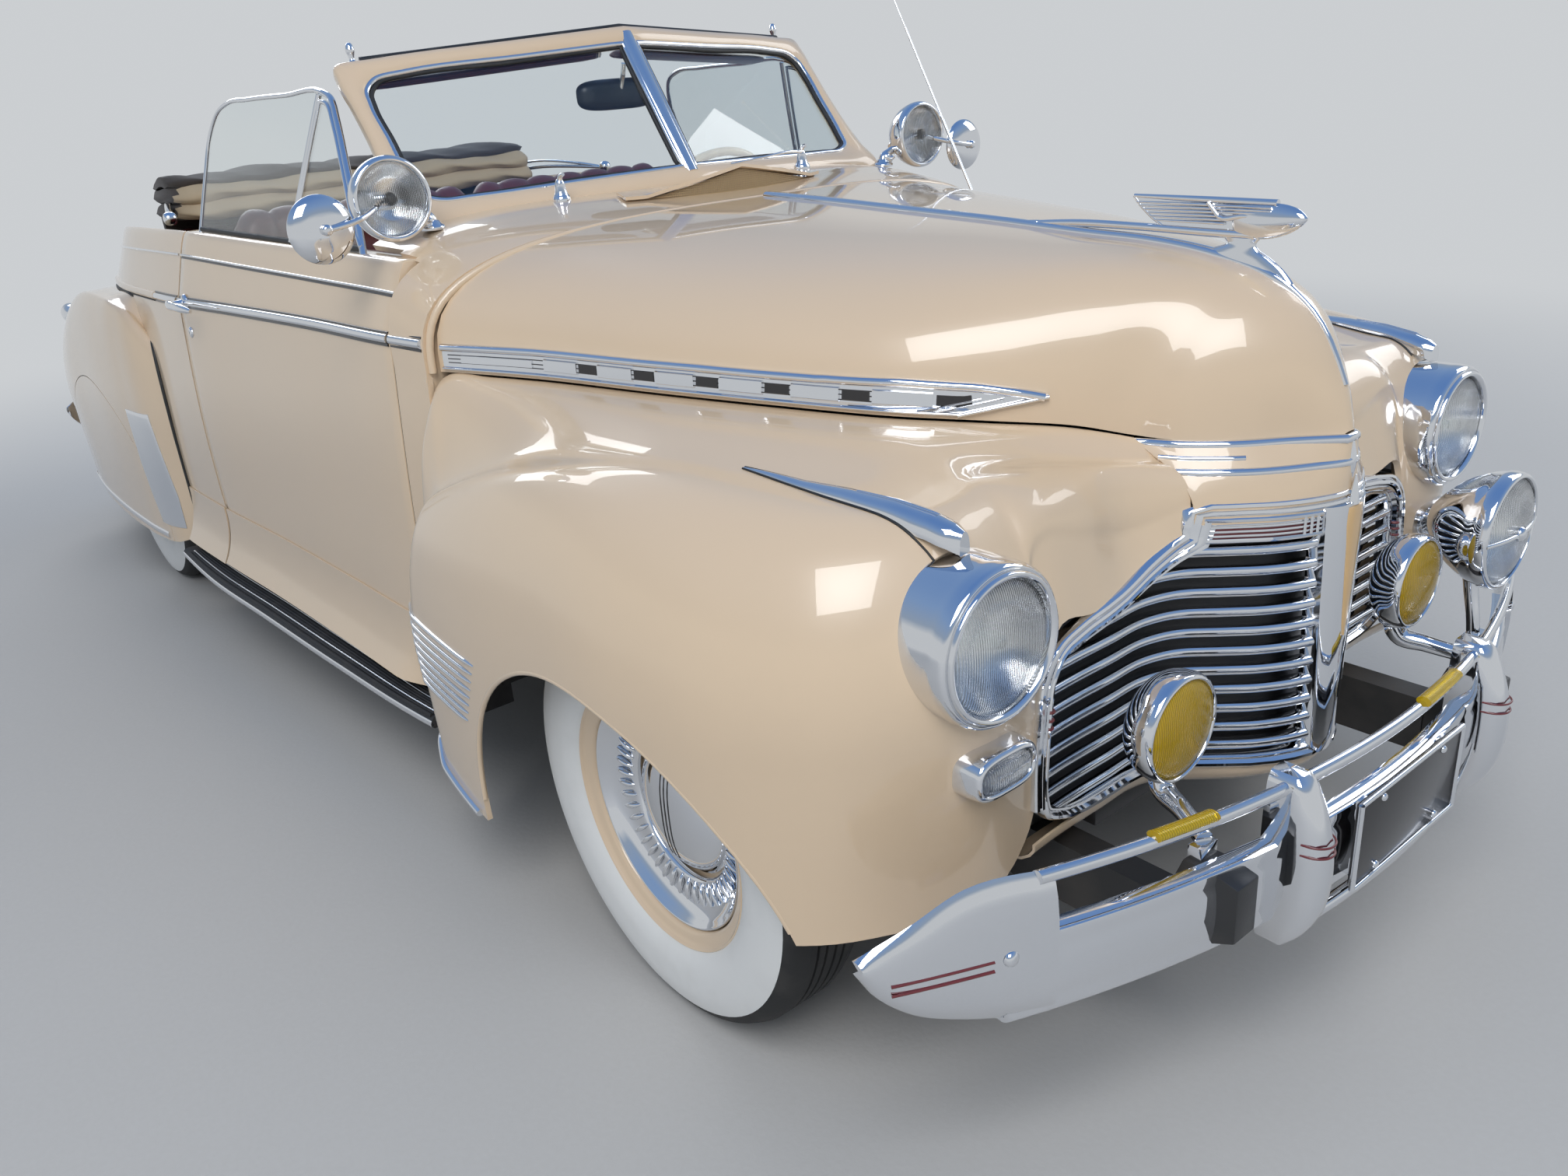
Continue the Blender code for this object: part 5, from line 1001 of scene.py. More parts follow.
def frontFenderGrid():
    table = np.array(fenderTable)
    for row in table[:12]:
        # the seam follows the hood's lower edge
        s = row[1][1]
        row[1][0] = float(np.interp(s, fineHood[:, 1], fineHood[:, 0])) - 0.001
        row[1][2] = float(np.interp(s, fineHood[:, 1], fineHood[:, 2])) - 0.004
    for row in table[12:]:
        row[1][0] -= 0.012
    fine = smoothLine(table, 7)
    return np.array([[at(*p) for p in fenderLine(line)] for line in fine]), fine


def arch(half, top, spring, centre, count=48):
    turns = np.linspace(0, math.pi, count + 1)
    return [(centre + half * math.cos(t), spring + (top - spring) * math.sin(t)) for t in turns]


def prism(outline, x0, x1):
    return loft([[at(x, s, z) for s, z in outline] for x in (x0, x1)])


def lip(surface, outline, radius, shift=0.0):
    # a rolled edge round an opening
    path = []
    for s, z in outline:
        spot, normal = surface.side(s, z)
        path.append(spot - normal * shift)
    return tube(path, radius, 10, 1)


def makeFrontFenders():
    grid, fine = frontFenderGrid()
    sheet = shell(grid[:, ::-1], 0.010)
    v = fenderValues
    outline = arch(v["archHalf"], v["archTop"], v["archSpring"], 0.0)
    opening = prism(outline + [(-v["archHalf"], 0.05), (v["archHalf"], 0.05)], 0.62, 1.1)
    lamp = turned([(0, 0), (v["lampRadius"] - 0.006, 0), (v["lampRadius"] - 0.006, 0.36), (0, 0.36)],
        at(v["lamp"][0], -0.72, v["lamp"][2]), (0, 1, 0), 64)
    surface = Surface((grid.reshape(-1, 3), gridFaces(*grid.shape[:2])))
    apron = []
    for line in fine[21:78]:
        apron.append([at(*p) for p in (line[1] + np.array([0.002, 0, -0.002]),
            line[1] * 0.3 + line[0] * 0.7, line[0])])
    edge = [p for p in outline if p[1] > (0.262 if p[0] > 0 else 0.355)]
    hem = [np.array(p) for p, line in zip(grid[:, -1], fine) if v["archHalf"] + 0.01 < line[4][1] < 0.70]
    for name, label, side in sides():
        creamPiece(f"frontFender{name}", sided(sheet, side), "chassis", [f"front_fender_{label}"],
            smooth=40, cuts=[sided(opening, side), sided(lamp, side)])
        piece(f"frontFenderLip{name}", sided(lip(surface, edge, 0.005, 0.004), side), cream, "chassis",
            smooth=60)
        strip = tube(evenly([p + (0.003, 0, 0.006) for p in hem], 24), 0.0085, 12, 1, 0.8)
        chromePiece(f"fenderHemStrip{name}", sided(strip, side), smooth=60)
        piece(f"frontApron{name}", sided(shell(np.array(apron), 0.004), side), black, "chassis",
            smooth=40)
    return surface


# Rear fender rows: seam (station and height), crest, side and hem
rearFenderTable = (
    ((2.490, 0.975), (0.826, 2.380, 0.870), (0.850, 2.305, 0.600), (0.8475, 2.300, 0.305)),
    ((2.520, 0.980), (0.850, 2.460, 0.935), (0.892, 2.400, 0.600), (0.892, 2.385, 0.275)),
    ((2.600, 0.982), (0.865, 2.570, 0.960), (0.912, 2.530, 0.600), (0.912, 2.520, 0.262)),
    ((2.760, 0.972), (0.862, 2.730, 0.966), (0.925, 2.710, 0.600), (0.922, 2.710, 0.255)),
    ((3.050, 0.955), (0.850, 3.050, 0.952), (0.925, 3.030, 0.600), (0.925, 3.030, 0.255)),
    ((3.350, 0.898), (0.822, 3.350, 0.892), (0.920, 3.320, 0.580), (0.912, 3.310, 0.262)),
    ((3.620, 0.815), (0.772, 3.650, 0.802), (0.882, 3.620, 0.560), (0.872, 3.600, 0.280)),
    ((3.820, 0.700), (0.702, 3.870, 0.690), (0.800, 3.870, 0.530), (0.790, 3.850, 0.300)),
    ((3.930, 0.560), (0.600, 3.965, 0.560), (0.650, 3.975, 0.470), (0.650, 3.960, 0.330)),
    ((3.960, 0.480), (0.520, 3.980, 0.500), (0.535, 3.990, 0.450), (0.535, 3.975, 0.350)),
)
skirtValues = {"centre": 2.95, "half": 0.52, "top": 0.705, "spring": 0.26, "gap": 0.0025}


def rearFenderKeys():
    # the table's rows made finer, with their seam in the body's side
    table = []
    for (seamS, seamZ), crest, side, hem in rearFenderTable:
        seam = (sideX(seamS, seamZ) - 0.010, seamS, seamZ)
        table.append((seam, seam, crest, side, hem))
    return smoothLine(np.array(table), 8)


def makeRearFenders():
    fine = rearFenderKeys()
    for line in fine:
        line[1][0] = sideX(line[1][1], line[1][2]) - 0.004
    grid = np.array([[at(*p) for p in fenderLine(line)] for line in fine])
    sheet = shell(grid[:, ::-1], 0.010)
    surface = Surface((grid.reshape(-1, 3), gridFaces(*grid.shape[:2])))
    v = skirtValues

    def oval(grow, low=0.1):
        outline = arch(v["half"] + grow, v["top"] + grow, v["spring"], v["centre"], 56)
        return outline, prism(outline + [(v["centre"] - v["half"] - grow, low),
            (v["centre"] + v["half"] + grow, low)], 0.80, 1.1)

    line, opening = oval(0.0)
    window = oval(-v["gap"])[1]
    bead = lip(surface, [p for p in line if p[1] > 0.27], 0.0045, 0.006)
    spots = [surface.side(s, z) for s, z in [(v["centre"] - 0.495 + 0.99 * t, 0.283)
        for t in np.linspace(0, 1, 24)]]
    strip = moulding(spots, 0.020, 0.005)
    for name, label, side in sides():
        creamPiece(f"rearFender{name}", sided(sheet, side), "chassis", [f"rear_fender_{label}"],
            smooth=40, cuts=[sided(opening, side)])
        skirt = piece(f"fenderSkirt{name}", sided(sheet, side), cream, "chassis",
            [f"fender_skirt_{label}"], "cream_paint", smooth=0)
        helper = bpy.data.objects.new("skirtKeeper", meshOf("skirtKeeper", sided(window, side)))
        bpy.context.scene.collection.objects.link(helper)
        step = skirt.modifiers.new("Keep", "BOOLEAN")
        step.operation, step.solver, step.object = "INTERSECT", "EXACT", helper
        plain(skirt)
        bpy.data.objects.remove(helper)
        skirt.data.shade_smooth()
        skirt.data.set_sharp_from_angle(angle=math.radians(40))
        piece(f"skirtBead{name}", sided(bead, side), seal, "chassis", smooth=60)
        chromePiece(f"skirtStrip{name}", sided(strip, side), smooth=50)
    return surface


# Running board rows: station and half width of the outer edge
boardTable = ((0.738, 0.850), (0.79, 0.856), (1.16, 0.882), (1.60, 0.904), (1.97, 0.922), (2.292, 0.915))
boardValues = {"top": 0.285, "thickness": 0.030, "ribs": 9}


def makeRunningBoards():
    fine = smoothLine(boardTable, 6)
    rings = []
    v = boardValues
    for station, outer in fine:
        inner = sideX(station, 0.30) - 0.004
        t, b = v["top"] - 0.004, v["top"] - v["thickness"]
        ring = [(inner, t), (outer - 0.014, t), (outer - 0.006, t - 0.002), (outer - 0.001, t - 0.008),
            (outer, t - 0.016), (outer - 0.004, b), (inner, b)]
        rings.append([at(x, station, z) for x, z in ring])
    parts = [loft(rings)]
    bright = []
    for k in range(v["ribs"]):
        share = 0.10 + 0.80 * k / (v["ribs"] - 1)
        spots = []
        for station, outer in fine[1:-1]:
            inner = sideX(station, 0.30)
            spots.append((np.array(at(inner + (outer - inner) * share, station, v["top"] - 0.004)),
                np.array((0, 0, 1.0))))
        (bright if k in (2, 6) else parts).append(moulding(spots, 0.0052, 0.0042))
    edge = [(np.array(at(outer - 0.0015, station, v["top"] - 0.018)), np.array((1.0, 0, 0.25)))
        for station, outer in fine]
    bright.append(moulding(edge, 0.014, 0.003))
    for name, label, side in sides():
        piece(f"runningBoard{name}", sided(join(parts), side), boardRubber, "chassis",
            [f"running_board_{label}"], "board_rubber", smooth=40)
        chromePiece(f"boardStrips{name}", sided(join(bright), side), smooth=50)


frontSurface = makeFrontFenders()
rearSurface = makeRearFenders()
makeRunningBoards()
print("fenders, skirts and running boards made")

wheelValues = {"radius": 0.352, "half": 0.0785, "rim": 0.208, "sides": 96}
# Each wheel: its name in a piece and in a node, distance from the middle, station and side
wheelPlaces = (
    ("FrontLeft", "front_left", 0.73, 0.0, 1), ("FrontRight", "front_right", 0.73, 0.0, -1),
    ("RearLeft", "rear_left", 0.762, 2.946, 1), ("RearRight", "rear_right", 0.762, 2.946, -1),
)


def tyreParts(centre, side):
    v = wheelValues
    r, h, rim = v["radius"], v["half"], v["rim"]
    outer = [(r, h * 0.50), (r - 0.004, h * 0.64), (r - 0.011, h * 0.80), (r - 0.022, h * 0.90)]
    wall = [(r - 0.026, h * 0.925), (r - 0.050, h * 0.99), (r - 0.075, h * 1.0), (r - 0.100, h * 0.975),
        (rim + 0.026, h * 0.90), (rim + 0.010, h * 0.76)]
    lipLine = [(rim + 0.006, h * 0.72), (rim + 0.001, 0.050)]
    white = smoothLine(wall, 5)
    grooves = (-0.026, -0.009, 0.009, 0.026)
    profile = []
    edges = np.linspace(-h * 0.50, h * 0.50, 61)
    for d in edges:
        deep = any(abs(d - g) < 0.0022 for g in grooves)
        profile.append((r - (0.007 if deep else 0.0), float(d)))
    shoulder = [tuple(p) for p in smoothLine(outer, 4)]
    whole = profile + shoulder[1:] + [tuple(p) for p in white] + lipLine
    back = [(x, -d) for x, d in [(rim + 0.001, 0.050), (rim + 0.006, h * 0.72)]] + [(x, -d)
        for x, d in white[::-1]] + [(x, -d) for x, d in shoulder[::-1][:-1]]
    return turned(whole + back, centre, (side, 0, 0), v["sides"])


def makeWheels():
    v = wheelValues
    rim = v["rim"]
    rimLine = [(0.150, 0.004), (0.152, 0.001), (0.166, 0.006), (0.186, 0.026), (0.194, 0.040),
        (0.198, 0.052), (rim + 0.009, 0.060), (rim + 0.0135, 0.0655), (rim + 0.0155, 0.0620),
        (rim + 0.0075, 0.0567),
               (rim - 0.004, 0.050), (rim - 0.004, -0.050), (rim + 0.0075, -0.0567),
               (rim + 0.0155, -0.0620), (rim + 0.0125, -0.0655), (rim - 0.010, -0.052),
               (rim - 0.012, -0.016), (0.146, -0.018), (0.10, -0.020), (0.09, -0.010), (0.11, -0.002)]
    ringLine = [(0.122, 0.006), (0.1225, 0.014), (0.128, 0.019), (0.140, 0.021), (0.158, 0.024),
        (0.176, 0.034), (0.188, 0.046), (0.1925, 0.050), (0.194, 0.046), (0.188, 0.036), (0.172, 0.020),
        (0.150, 0.010), (0.130, 0.004)]
    capLine = [(0, 0.0435), (0.022, 0.0432), (0.045, 0.0415), (0.066, 0.0375), (0.084, 0.031),
        (0.098, 0.0225), (0.107, 0.0135), (0.112, 0.006), (0.116, 0.004), (0.117, 0.0), (0.110, -0.002),
        (0.0, -0.002)]
    drumLine = [(0, -0.070), (0.138, -0.070), (0.142, -0.066), (0.142, -0.022), (0.138, -0.019),
        (0, -0.019)]
    for name, label, x, station, side in wheelPlaces:
        centre = (side * x, station + frontAxleY, v["radius"])
        axis = (side, 0, 0)
        body = f"wheel_{label}"
        tyre = piece(f"tyre{name}", tyreParts(centre, side), [tread, whitewall], body, [f"tyre_{label}"],
            "tyre_rubber", smooth=45)
        for face in tyre.data.polygons:
            c = face.center
            reach = math.hypot(c.y - centre[1], c.z - centre[2])
            if side * (c.x - centre[0]) > 0.040 and reach < v["radius"] - 0.0255:
                face.material_index = 1
        rimPart = join([turned(rounded(rimLine, 3), centre, axis, 96),
            turned(rounded(drumLine, 2, (0, 1, 2, 3, 4, 5)), centre, axis, 64)])
        piece(f"rim{name}", rimPart, cream, body, [f"wheel_{label}"], "cream_wheel", smooth=45)
        fins = []
        for k in range(44):
            a = 2 * math.pi * (k + 0.5) / 44
            out = Vector((0, math.sin(a), math.cos(a)))
            path = [Vector(centre) + out * rr + Vector((side * d, 0, 0))
                for rr, d in ((0.128, 0.0185), (0.137, 0.0235), (0.150, 0.0265), (0.163, 0.0275))]
            fins.append(tube(path, (0.0022, 0.0046, 0.0050, 0.0024), 8, 3))
        chromePiece(f"trimRing{name}", join([turned(rounded(ringLine, 4), centre, axis, 96), *fins]),
            body, smooth=50)
        chromePiece(f"hubcap{name}", turned(rounded(capLine, 5, (8, 9, 10)), centre, axis, 96), body,
            smooth=50)
        lines = []
        for shift in (-0.010, 0.0, 0.010):
            path = []
            for t in np.linspace(-1, 1, 25):
                zz = t * 0.080
                reach = math.hypot(zz, shift)
                d = float(np.interp(reach, [p[0] for p in capLine[:8]], [p[1] for p in capLine[:8]]))
                path.append((centre[0] + side * (d - 0.0004), centre[1] + shift, centre[2] + zz))
            lines.append(tube(path, 0.0017, 8, 1))
        piece(f"capLines{name}", join(lines), darkLine, body, smooth=60)


makeWheels()
print("wheels made")

# The nose's plan: distance from the middle and station
nosePlan = ((0.0, -0.660), (0.025, -0.658), (0.05, -0.650), (0.11, -0.616), (0.155, -0.575),
    (0.205, -0.531), (0.25, -0.516), (0.33, -0.515), (0.467, -0.517), (0.50, -0.520))
finePlan = smoothLine(nosePlan, 8)
# Half of the grille's outline: distance from the middle and height, from the top round to the bottom
grilleOutline = (
    (0.0, 0.812), (0.10, 0.812), (0.185, 0.812), (0.190, 0.776), (0.230, 0.752), (0.275, 0.730),
    (0.340, 0.712), (0.405, 0.700),
    (0.450, 0.685), (0.470, 0.662), (0.482, 0.600), (0.488, 0.540), (0.488, 0.470), (0.478, 0.444),
    (0.455, 0.430), (0.290, 0.412), (0.150, 0.408), (0.0, 0.408),
)
grilleValues = {"top": 0.757, "pitch": 0.0312, "bars": 11, "strips": (0.9015, 0.885, 0.8685)}


def noseS(x):
    return float(np.interp(abs(x), finePlan[:, 0], finePlan[:, 1]))


def prowPoint(x, z):
    # the prow stands upright over the grille and rolls back to the hood's lower edge
    share = min(max((z - 0.812) / 0.091, 0.0), 1.0) ** 2.2
    hoodS = float(np.interp(abs(x), fineHood[:, 0], fineHood[:, 1], left=-0.655))
    return at(x, noseS(x) + (hoodS - noseS(x)) * share, z)


def makeProw():
    xs = np.linspace(-0.192, 0.192, 65)
    zs = (0.800, 0.812, 0.824, 0.836, 0.848, 0.860, 0.870, 0.880, 0.889, 0.897, 0.904)
    grid = np.array([[prowPoint(x, z) for z in zs] for x in xs])
    low = []
    for x in np.linspace(-0.50, 0.50, 61):
        s = noseS(x)
        low.append([at(x, s + d, z) for d, z in ((0.002, 0.410), (0.002, 0.400), (0.010, 0.388),
            (0.026, 0.376), (0.052, 0.368))])
    support = join([block(at(-0.345, -0.430, 0.3525), at(-0.281, -0.400, 0.872)),
        block(at(0.281, -0.430, 0.3525), at(0.345, -0.400, 0.872)),
        block(at(-0.285, -0.430, 0.831), at(0.285, -0.400, 0.872)),
        block(at(-0.40, -0.430, 0.3525), at(0.40, -0.400, 0.429)),
        block(at(-0.34, -0.500, 0.356), at(0.34, -0.425, 0.385)),
        block(at(-0.17, -0.500, 0.852), at(0.17, -0.400, 0.872))])
    creamPiece("nosePanel", join([shell(grid[:, ::-1], 0.004), shell(np.array(low)[:, ::-1], 0.004)]),
        "chassis", ["nose_panel"], smooth=50)
    piece("radiatorSupport", support, black, "chassis", bevel=0.003)

    def strip(start, end, z, width=0.0075):
        spots = []
        for x in np.linspace(start, end, max(6, int(abs(end - start) * 160))):
            p = np.array(prowPoint(x, z))
            ahead, behind = np.array(prowPoint(x + 0.004, z)), np.array(prowPoint(x - 0.004, z))
            above = np.array(prowPoint(x, z + 0.003))
            n = np.cross(ahead - behind, above - p)
            n = n / np.linalg.norm(n)
            spots.append((p, n if n[1] < 0 else -n))
        return moulding(spots, width, 0.0065)

    top, middle, lowest = grilleValues["strips"]
    strips = [strip(-0.197, 0.197, top, 0.0135), strip(-0.190, 0.190, lowest, 0.0125)]
    seams = []
    for side in (1, -1):
        strips += [strip(side * 0.124, side * 0.190, middle, 0.0088)]
        seams.append(tube([np.array(prowPoint(side * 0.124, z)) for z in np.linspace(lowest, top, 7)],
            0.0013, 8, 1))
    crest = [np.array(prowPoint(0, z)) for z in (0.905, 0.890, 0.870, 0.850, 0.832)]
    strips.append(tube([q - np.array((0, 0.001, 0)) for q in crest], (0.004, 0.007, 0.010, 0.006, 0.003),
        14, 5, 0.6))
    chromePiece("noseStrips", join(strips), smooth=50)
    piece("noseSeams", join(seams), black, "chassis", smooth=60)


def grilleHalf(z):
    outer = [(x, h) for x, h in grilleOutline if x > 0.16][:13]
    heights = [h for x, h in outer][::-1]
    return float(np.interp(z, heights, [x for x, h in outer][::-1]))


def planBar(half, z, section, setback=0.0, count=120):
    rings = []
    for x in np.linspace(-half, half, count):
        rings.append([at(x, noseS(x) + setback + d, z + h) for d, h in section])
    return loft(rings)


def sweptLoop(loop, section, closed=True):
    # a section of (inward, depth) points carried round an outline that follows the nose's plan
    rings = []
    for i, p in enumerate(loop):
        before, after = loop[i - 1 if closed else max(i - 1,
            0)], loop[(i + 1) % len(loop) if closed else min(i + 1, len(loop) - 1)]
        heading = np.array(after) - np.array(before)
        heading = heading / np.linalg.norm(heading)
        inward = np.array((heading[1], -heading[0]))
        rings.append([at(p[0] + inward[0] * a, noseS(p[0] + inward[0] * a) + d, p[1] + inward[1] * a)
            for a, d in section])
    return loft(rings, closed=closed)


def makeGrille():
    v = grilleValues
    half = smoothLine(grilleOutline, 5, (2, 3, 17))[:-1]
    loop = [tuple(p) for p in half] + [(-p[0], p[1]) for p in half[::-1] if p[0] > 1e-6]
    loop = [p for i, p in enumerate(loop) if np.linalg.norm(np.array(p) - np.array(loop[i - 1])) > 1e-5]
    section = [(0.0, 0.024), (0.0, 0.002), (0.0015, -0.004), (0.005, -0.0075), (0.009, -0.0065),
        (0.0115, -0.002), (0.013, 0.0005), (0.0145, -0.001), (0.0175, -0.001), (0.020, 0.003),
        (0.0205, 0.024)]
    parts = [sweptLoop(loop, section)]
    barSection = [(0.0, 0.0012), (0.0012, 0.0048), (0.0048, 0.0072), (0.012, 0.0076), (0.022, 0.0060),
        (0.022, -0.0060), (0.014, -0.0074), (0.0045, -0.0070), (0.0010, -0.0030)]
    for k in range(v["bars"]):
        z = v["top"] - k * v["pitch"]
        parts.append(planBar(grilleHalf(z) - 0.006, z, barSection))
    for z in (0.8010, 0.7945, 0.7880, 0.7815):
        parts.append(planBar(0.176, z, [(-0.0035, 0.0), (-0.0028, 0.0016), (0.002, 0.0020),
            (0.002, -0.0020), (-0.0028, -0.0016)]))
    parts.append(planBar(0.186, 0.7745,
        [(-0.005, 0.0), (-0.0035, 0.0030), (0.010, 0.0036), (0.010, -0.0036), (-0.0035, -0.0030)]))
    centre = []
    for z, w, ahead in ((0.812, 0.052, 0.011), (0.760, 0.050, 0.012), (0.60, 0.040, 0.012),
            (0.440, 0.033, 0.011), (0.412, 0.031, 0.006)):
        s = noseS(0) - ahead
        centre.append([at(x, s + d, z)
            for x, d in ((-w, 0.040), (-w, 0.014), (-w * 0.86, 0.008), (-w * 0.62, 0.0015),
            (-w * 0.52, 0.0), (-w * 0.2, -0.002), (w * 0.2, -0.002), (w * 0.52, 0.0), (w * 0.62, 0.0015),
            (w * 0.86, 0.008), (w, 0.014), (w, 0.040))])
    parts.append(loft(centre))
    peak = [at(0, -0.668, z) for z in (0.808, 0.822, 0.838, 0.850)]
    parts.append(tube(peak, (0.011, 0.009, 0.005, 0.0015), 14, 5, 0.7))
    for side in (1, -1):
        for k in range(3):
            x = side * (0.058 + 0.009 * k)
            parts.append(tube([at(x, noseS(x) - 0.003, z) for z in (0.777, 0.806)], 0.0026, 8, 1))
    chromePiece("grilleBars", join(parts), "chassis", ["grille"], smooth=42)
    # a two-step moulding outside the grille, from one lower corner over the top to the other
    across = [(x, 0.812) for x in np.linspace(0.0, 0.185, 24)]
    flank = [tuple(p) for p in smoothLine(grilleOutline[3:13], 6)]
    outer = [*across, (0.1875, 0.794), flank[0], *[p for p in flank if p[0] > 0.204]]
    path = [(-x, z) for x, z in outer[::-1]] + outer[1:]
    steps = [(0.0, 0.012), (0.0, -0.0060), (-0.0030, -0.0090), (-0.0070, -0.0080), (-0.0088, -0.0030),
        (-0.0100, -0.0030), (-0.0120, -0.0070), (-0.0165, -0.0060), (-0.0190, -0.0010), (-0.0190, 0.012)]
    chromePiece("grilleSurround", sweptLoop(path, steps, closed=False), smooth=42)
    maroonParts = [planBar(0.184, 0.7905,
        [(0.0005, -0.016), (0.0005, 0.016), (0.012, 0.016), (0.012, -0.016)])]
    for side in (1, -1):
        for z in (0.588, 0.600, 0.612):
            x = grilleHalf(z)
            maroonParts.append(tube([at(side * (x - a), noseS(x) + d, z)
                for a, d in ((-0.0012, 0.004), (0.001, -0.0055), (0.005, -0.0082), (0.0095, -0.0068),
                (0.0125, -0.0005))], 0.0020, 8, 3))
    piece("grilleLines", join(maroonParts), maroonLine, "chassis", smooth=45)
    inset = []
    for z, w in ((0.806, 0.019), (0.795, 0.021), (0.74, 0.018), (0.67, 0.012), (0.62, 0.006),
            (0.606, 0.002)):
        s = noseS(0) - 0.0150
        inset.append([at(x, s + d, z) for x, d in ((-w, 0.004), (-w * 0.8, 0.0), (-w * 0.3, -0.0012),
            (w * 0.3, -0.0012), (w * 0.8, 0.0), (w, 0.004))])
    piece("grilleInset", loft(smoothLine(inset, 4)), enamel("insetEnamel", (0.72, 0.47, 0.22)), "chassis",
        smooth=50)
    panel = []
    for x in np.linspace(-0.478, 0.478, 41):
        top = 0.80 if abs(x) < 0.18 else float(np.interp(abs(x), [p[0] for p in grilleOutline[3:10]],
            [p[1] for p in grilleOutline[3:10]])) - 0.004
        panel.append([at(x, noseS(x) + d, z) for d, z in ((0.055, top), (0.060, 0.416))])
    piece("grilleShroud", shell(np.array(panel)[:, ::-1], 0.003), black, "chassis", smooth=60)


makeProw()
makeGrille()
print("nose and grille made")


def repeat(name, source, count, step, finish, body, smooth=0, second=(1, (0, 0, 0)),
        cadNodes=()):
    # copies of one small mesh in rows, laid out by geometry nodes
    holder = bpy.data.objects.new(name, bpy.data.meshes.new(name))
    bpy.context.scene.collection.objects.link(holder)
    unit = bpy.data.objects.new(name + "Unit", meshOf(name + "Unit", source))
    bpy.context.scene.collection.objects.link(unit)
    tree = bpy.data.node_groups.new(name + "Nodes", "GeometryNodeTree")
    tree.interface.new_socket("Geometry", in_out="OUTPUT", socket_type="NodeSocketGeometry")
    wanted = (("Unit", "NodeSocketObject", unit), ("Count", "NodeSocketInt", count),
        ("Step", "NodeSocketVector", step), ("Rows", "NodeSocketInt", second[0]),
        ("Row Step", "NodeSocketVector", second[1]), ("Finish", "NodeSocketMaterial", finish))
    sockets = {label: tree.interface.new_socket(label, in_out="INPUT", socket_type=kind)
        for label, kind, value in wanted}
    inside, outside = tree.nodes.new("NodeGroupInput"), tree.nodes.new("NodeGroupOutput")

    def add(kind, links):
        made = tree.nodes.new(kind)
        for key, socket in links.items():
            tree.links.new(socket, made.inputs[key])
        return made

    info = add("GeometryNodeObjectInfo", {"Object": inside.outputs["Unit"]})
    line = add("GeometryNodeMeshLine",
        {"Count": inside.outputs["Count"], "Offset": inside.outputs["Step"]})
    copies = add("GeometryNodeInstanceOnPoints",
        {"Points": line.outputs[0], "Instance": info.outputs["Geometry"]})
    rows = add("GeometryNodeMeshLine",
        {"Count": inside.outputs["Rows"], "Offset": inside.outputs["Row Step"]})
    whole = add("GeometryNodeInstanceOnPoints",
        {"Points": rows.outputs[0], "Instance": copies.outputs[0]})
    real = add("GeometryNodeRealizeInstances", {"Geometry": whole.outputs[0]})
    painted = add("GeometryNodeSetMaterial",
        {"Geometry": real.outputs[0], "Material": inside.outputs["Finish"]})
    tree.links.new(painted.outputs[0], outside.inputs[0])
    made = holder.modifiers.new("Rows", "NODES")
    made.node_group = tree
    for label, kind, value in wanted:
        made[sockets[label].identifier] = value
    plain(holder)
    bpy.data.objects.remove(unit)
    if smooth:
        holder.data.shade_smooth()
        holder.data.set_sharp_from_angle(angle=math.radians(smooth))
    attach(holder, body)
    if cadNodes:
        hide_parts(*cadNodes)
    return holder


def makeRadiator():
    fin = block((-0.2795 + 0.004, at(0, -0.428, 0)[1], 0.462),
        (-0.2795 + 0.0052, at(0, -0.380, 0)[1], 0.800))
    repeat("radiatorFins", fin, 78, (0.0071, 0, 0), black, "chassis")
    tubeUnit = block((-0.2795, at(0, -0.418, 0)[1], 0.470), (0.2795, at(0, -0.388, 0)[1], 0.473))
    repeat("radiatorTubes", tubeUnit, 33, (0, 0, 0.0101), black, "chassis")
    tanks = join([block(at(-0.2795, -0.3995, 0.798), at(0.2795, -0.335, 0.850)),
        block(at(-0.2795, -0.3995, 0.400), at(0.2795, -0.335, 0.465)),
        block(at(-0.2795, -0.428, 0.4305), at(-0.272, -0.376, 0.8295)),
        block(at(0.272, -0.428, 0.4305), at(0.2795, -0.376, 0.8295))])
    piece("radiatorTanks", tanks, black, "chassis", ["radiator"], bevel=0.006)


# Centres of the lamps: distance from the middle, station and height
lampValues = {"head": (0.603, -0.549, 0.761), "fog": (0.335, -0.632, 0.570),
    "driving": (0.520, -0.690, 0.620)}


def lampSet(centre, axis, scale, sides=72):
    # lens, reflector and bulb of a round lamp; profile distances run along the axis
    def spin(profile, steps=4, creases=()):
        return turned(rounded([(r * scale, d * scale) for r, d in profile], steps, creases), centre, axis,
            sides)

    lensPart = spin([(0.0, -0.016), (0.030, -0.015), (0.060, -0.0105), (0.080, -0.004), (0.086, 0.0005),
        (0.086, 0.004), (0.080, -0.0005), (0.060, -0.007), (0.030, -0.0115), (0.0, -0.0125)], 3, (4, 5))
    bowl = spin([(0.0, 0.060), (0.018, 0.058), (0.048, 0.045), (0.070, 0.024), (0.085, 0.006),
        (0.088, 0.006), (0.073, 0.026), (0.050, 0.049), (0.020, 0.063), (0.0, 0.065)], 4, (4, 5))
    bulb = spin([(0.0, 0.012), (0.006, 0.014), (0.010, 0.022), (0.010, 0.034), (0.007, 0.044),
        (0.007, 0.060), (0.0, 0.060)], 3, (5,))
    return lensPart, bowl, bulb


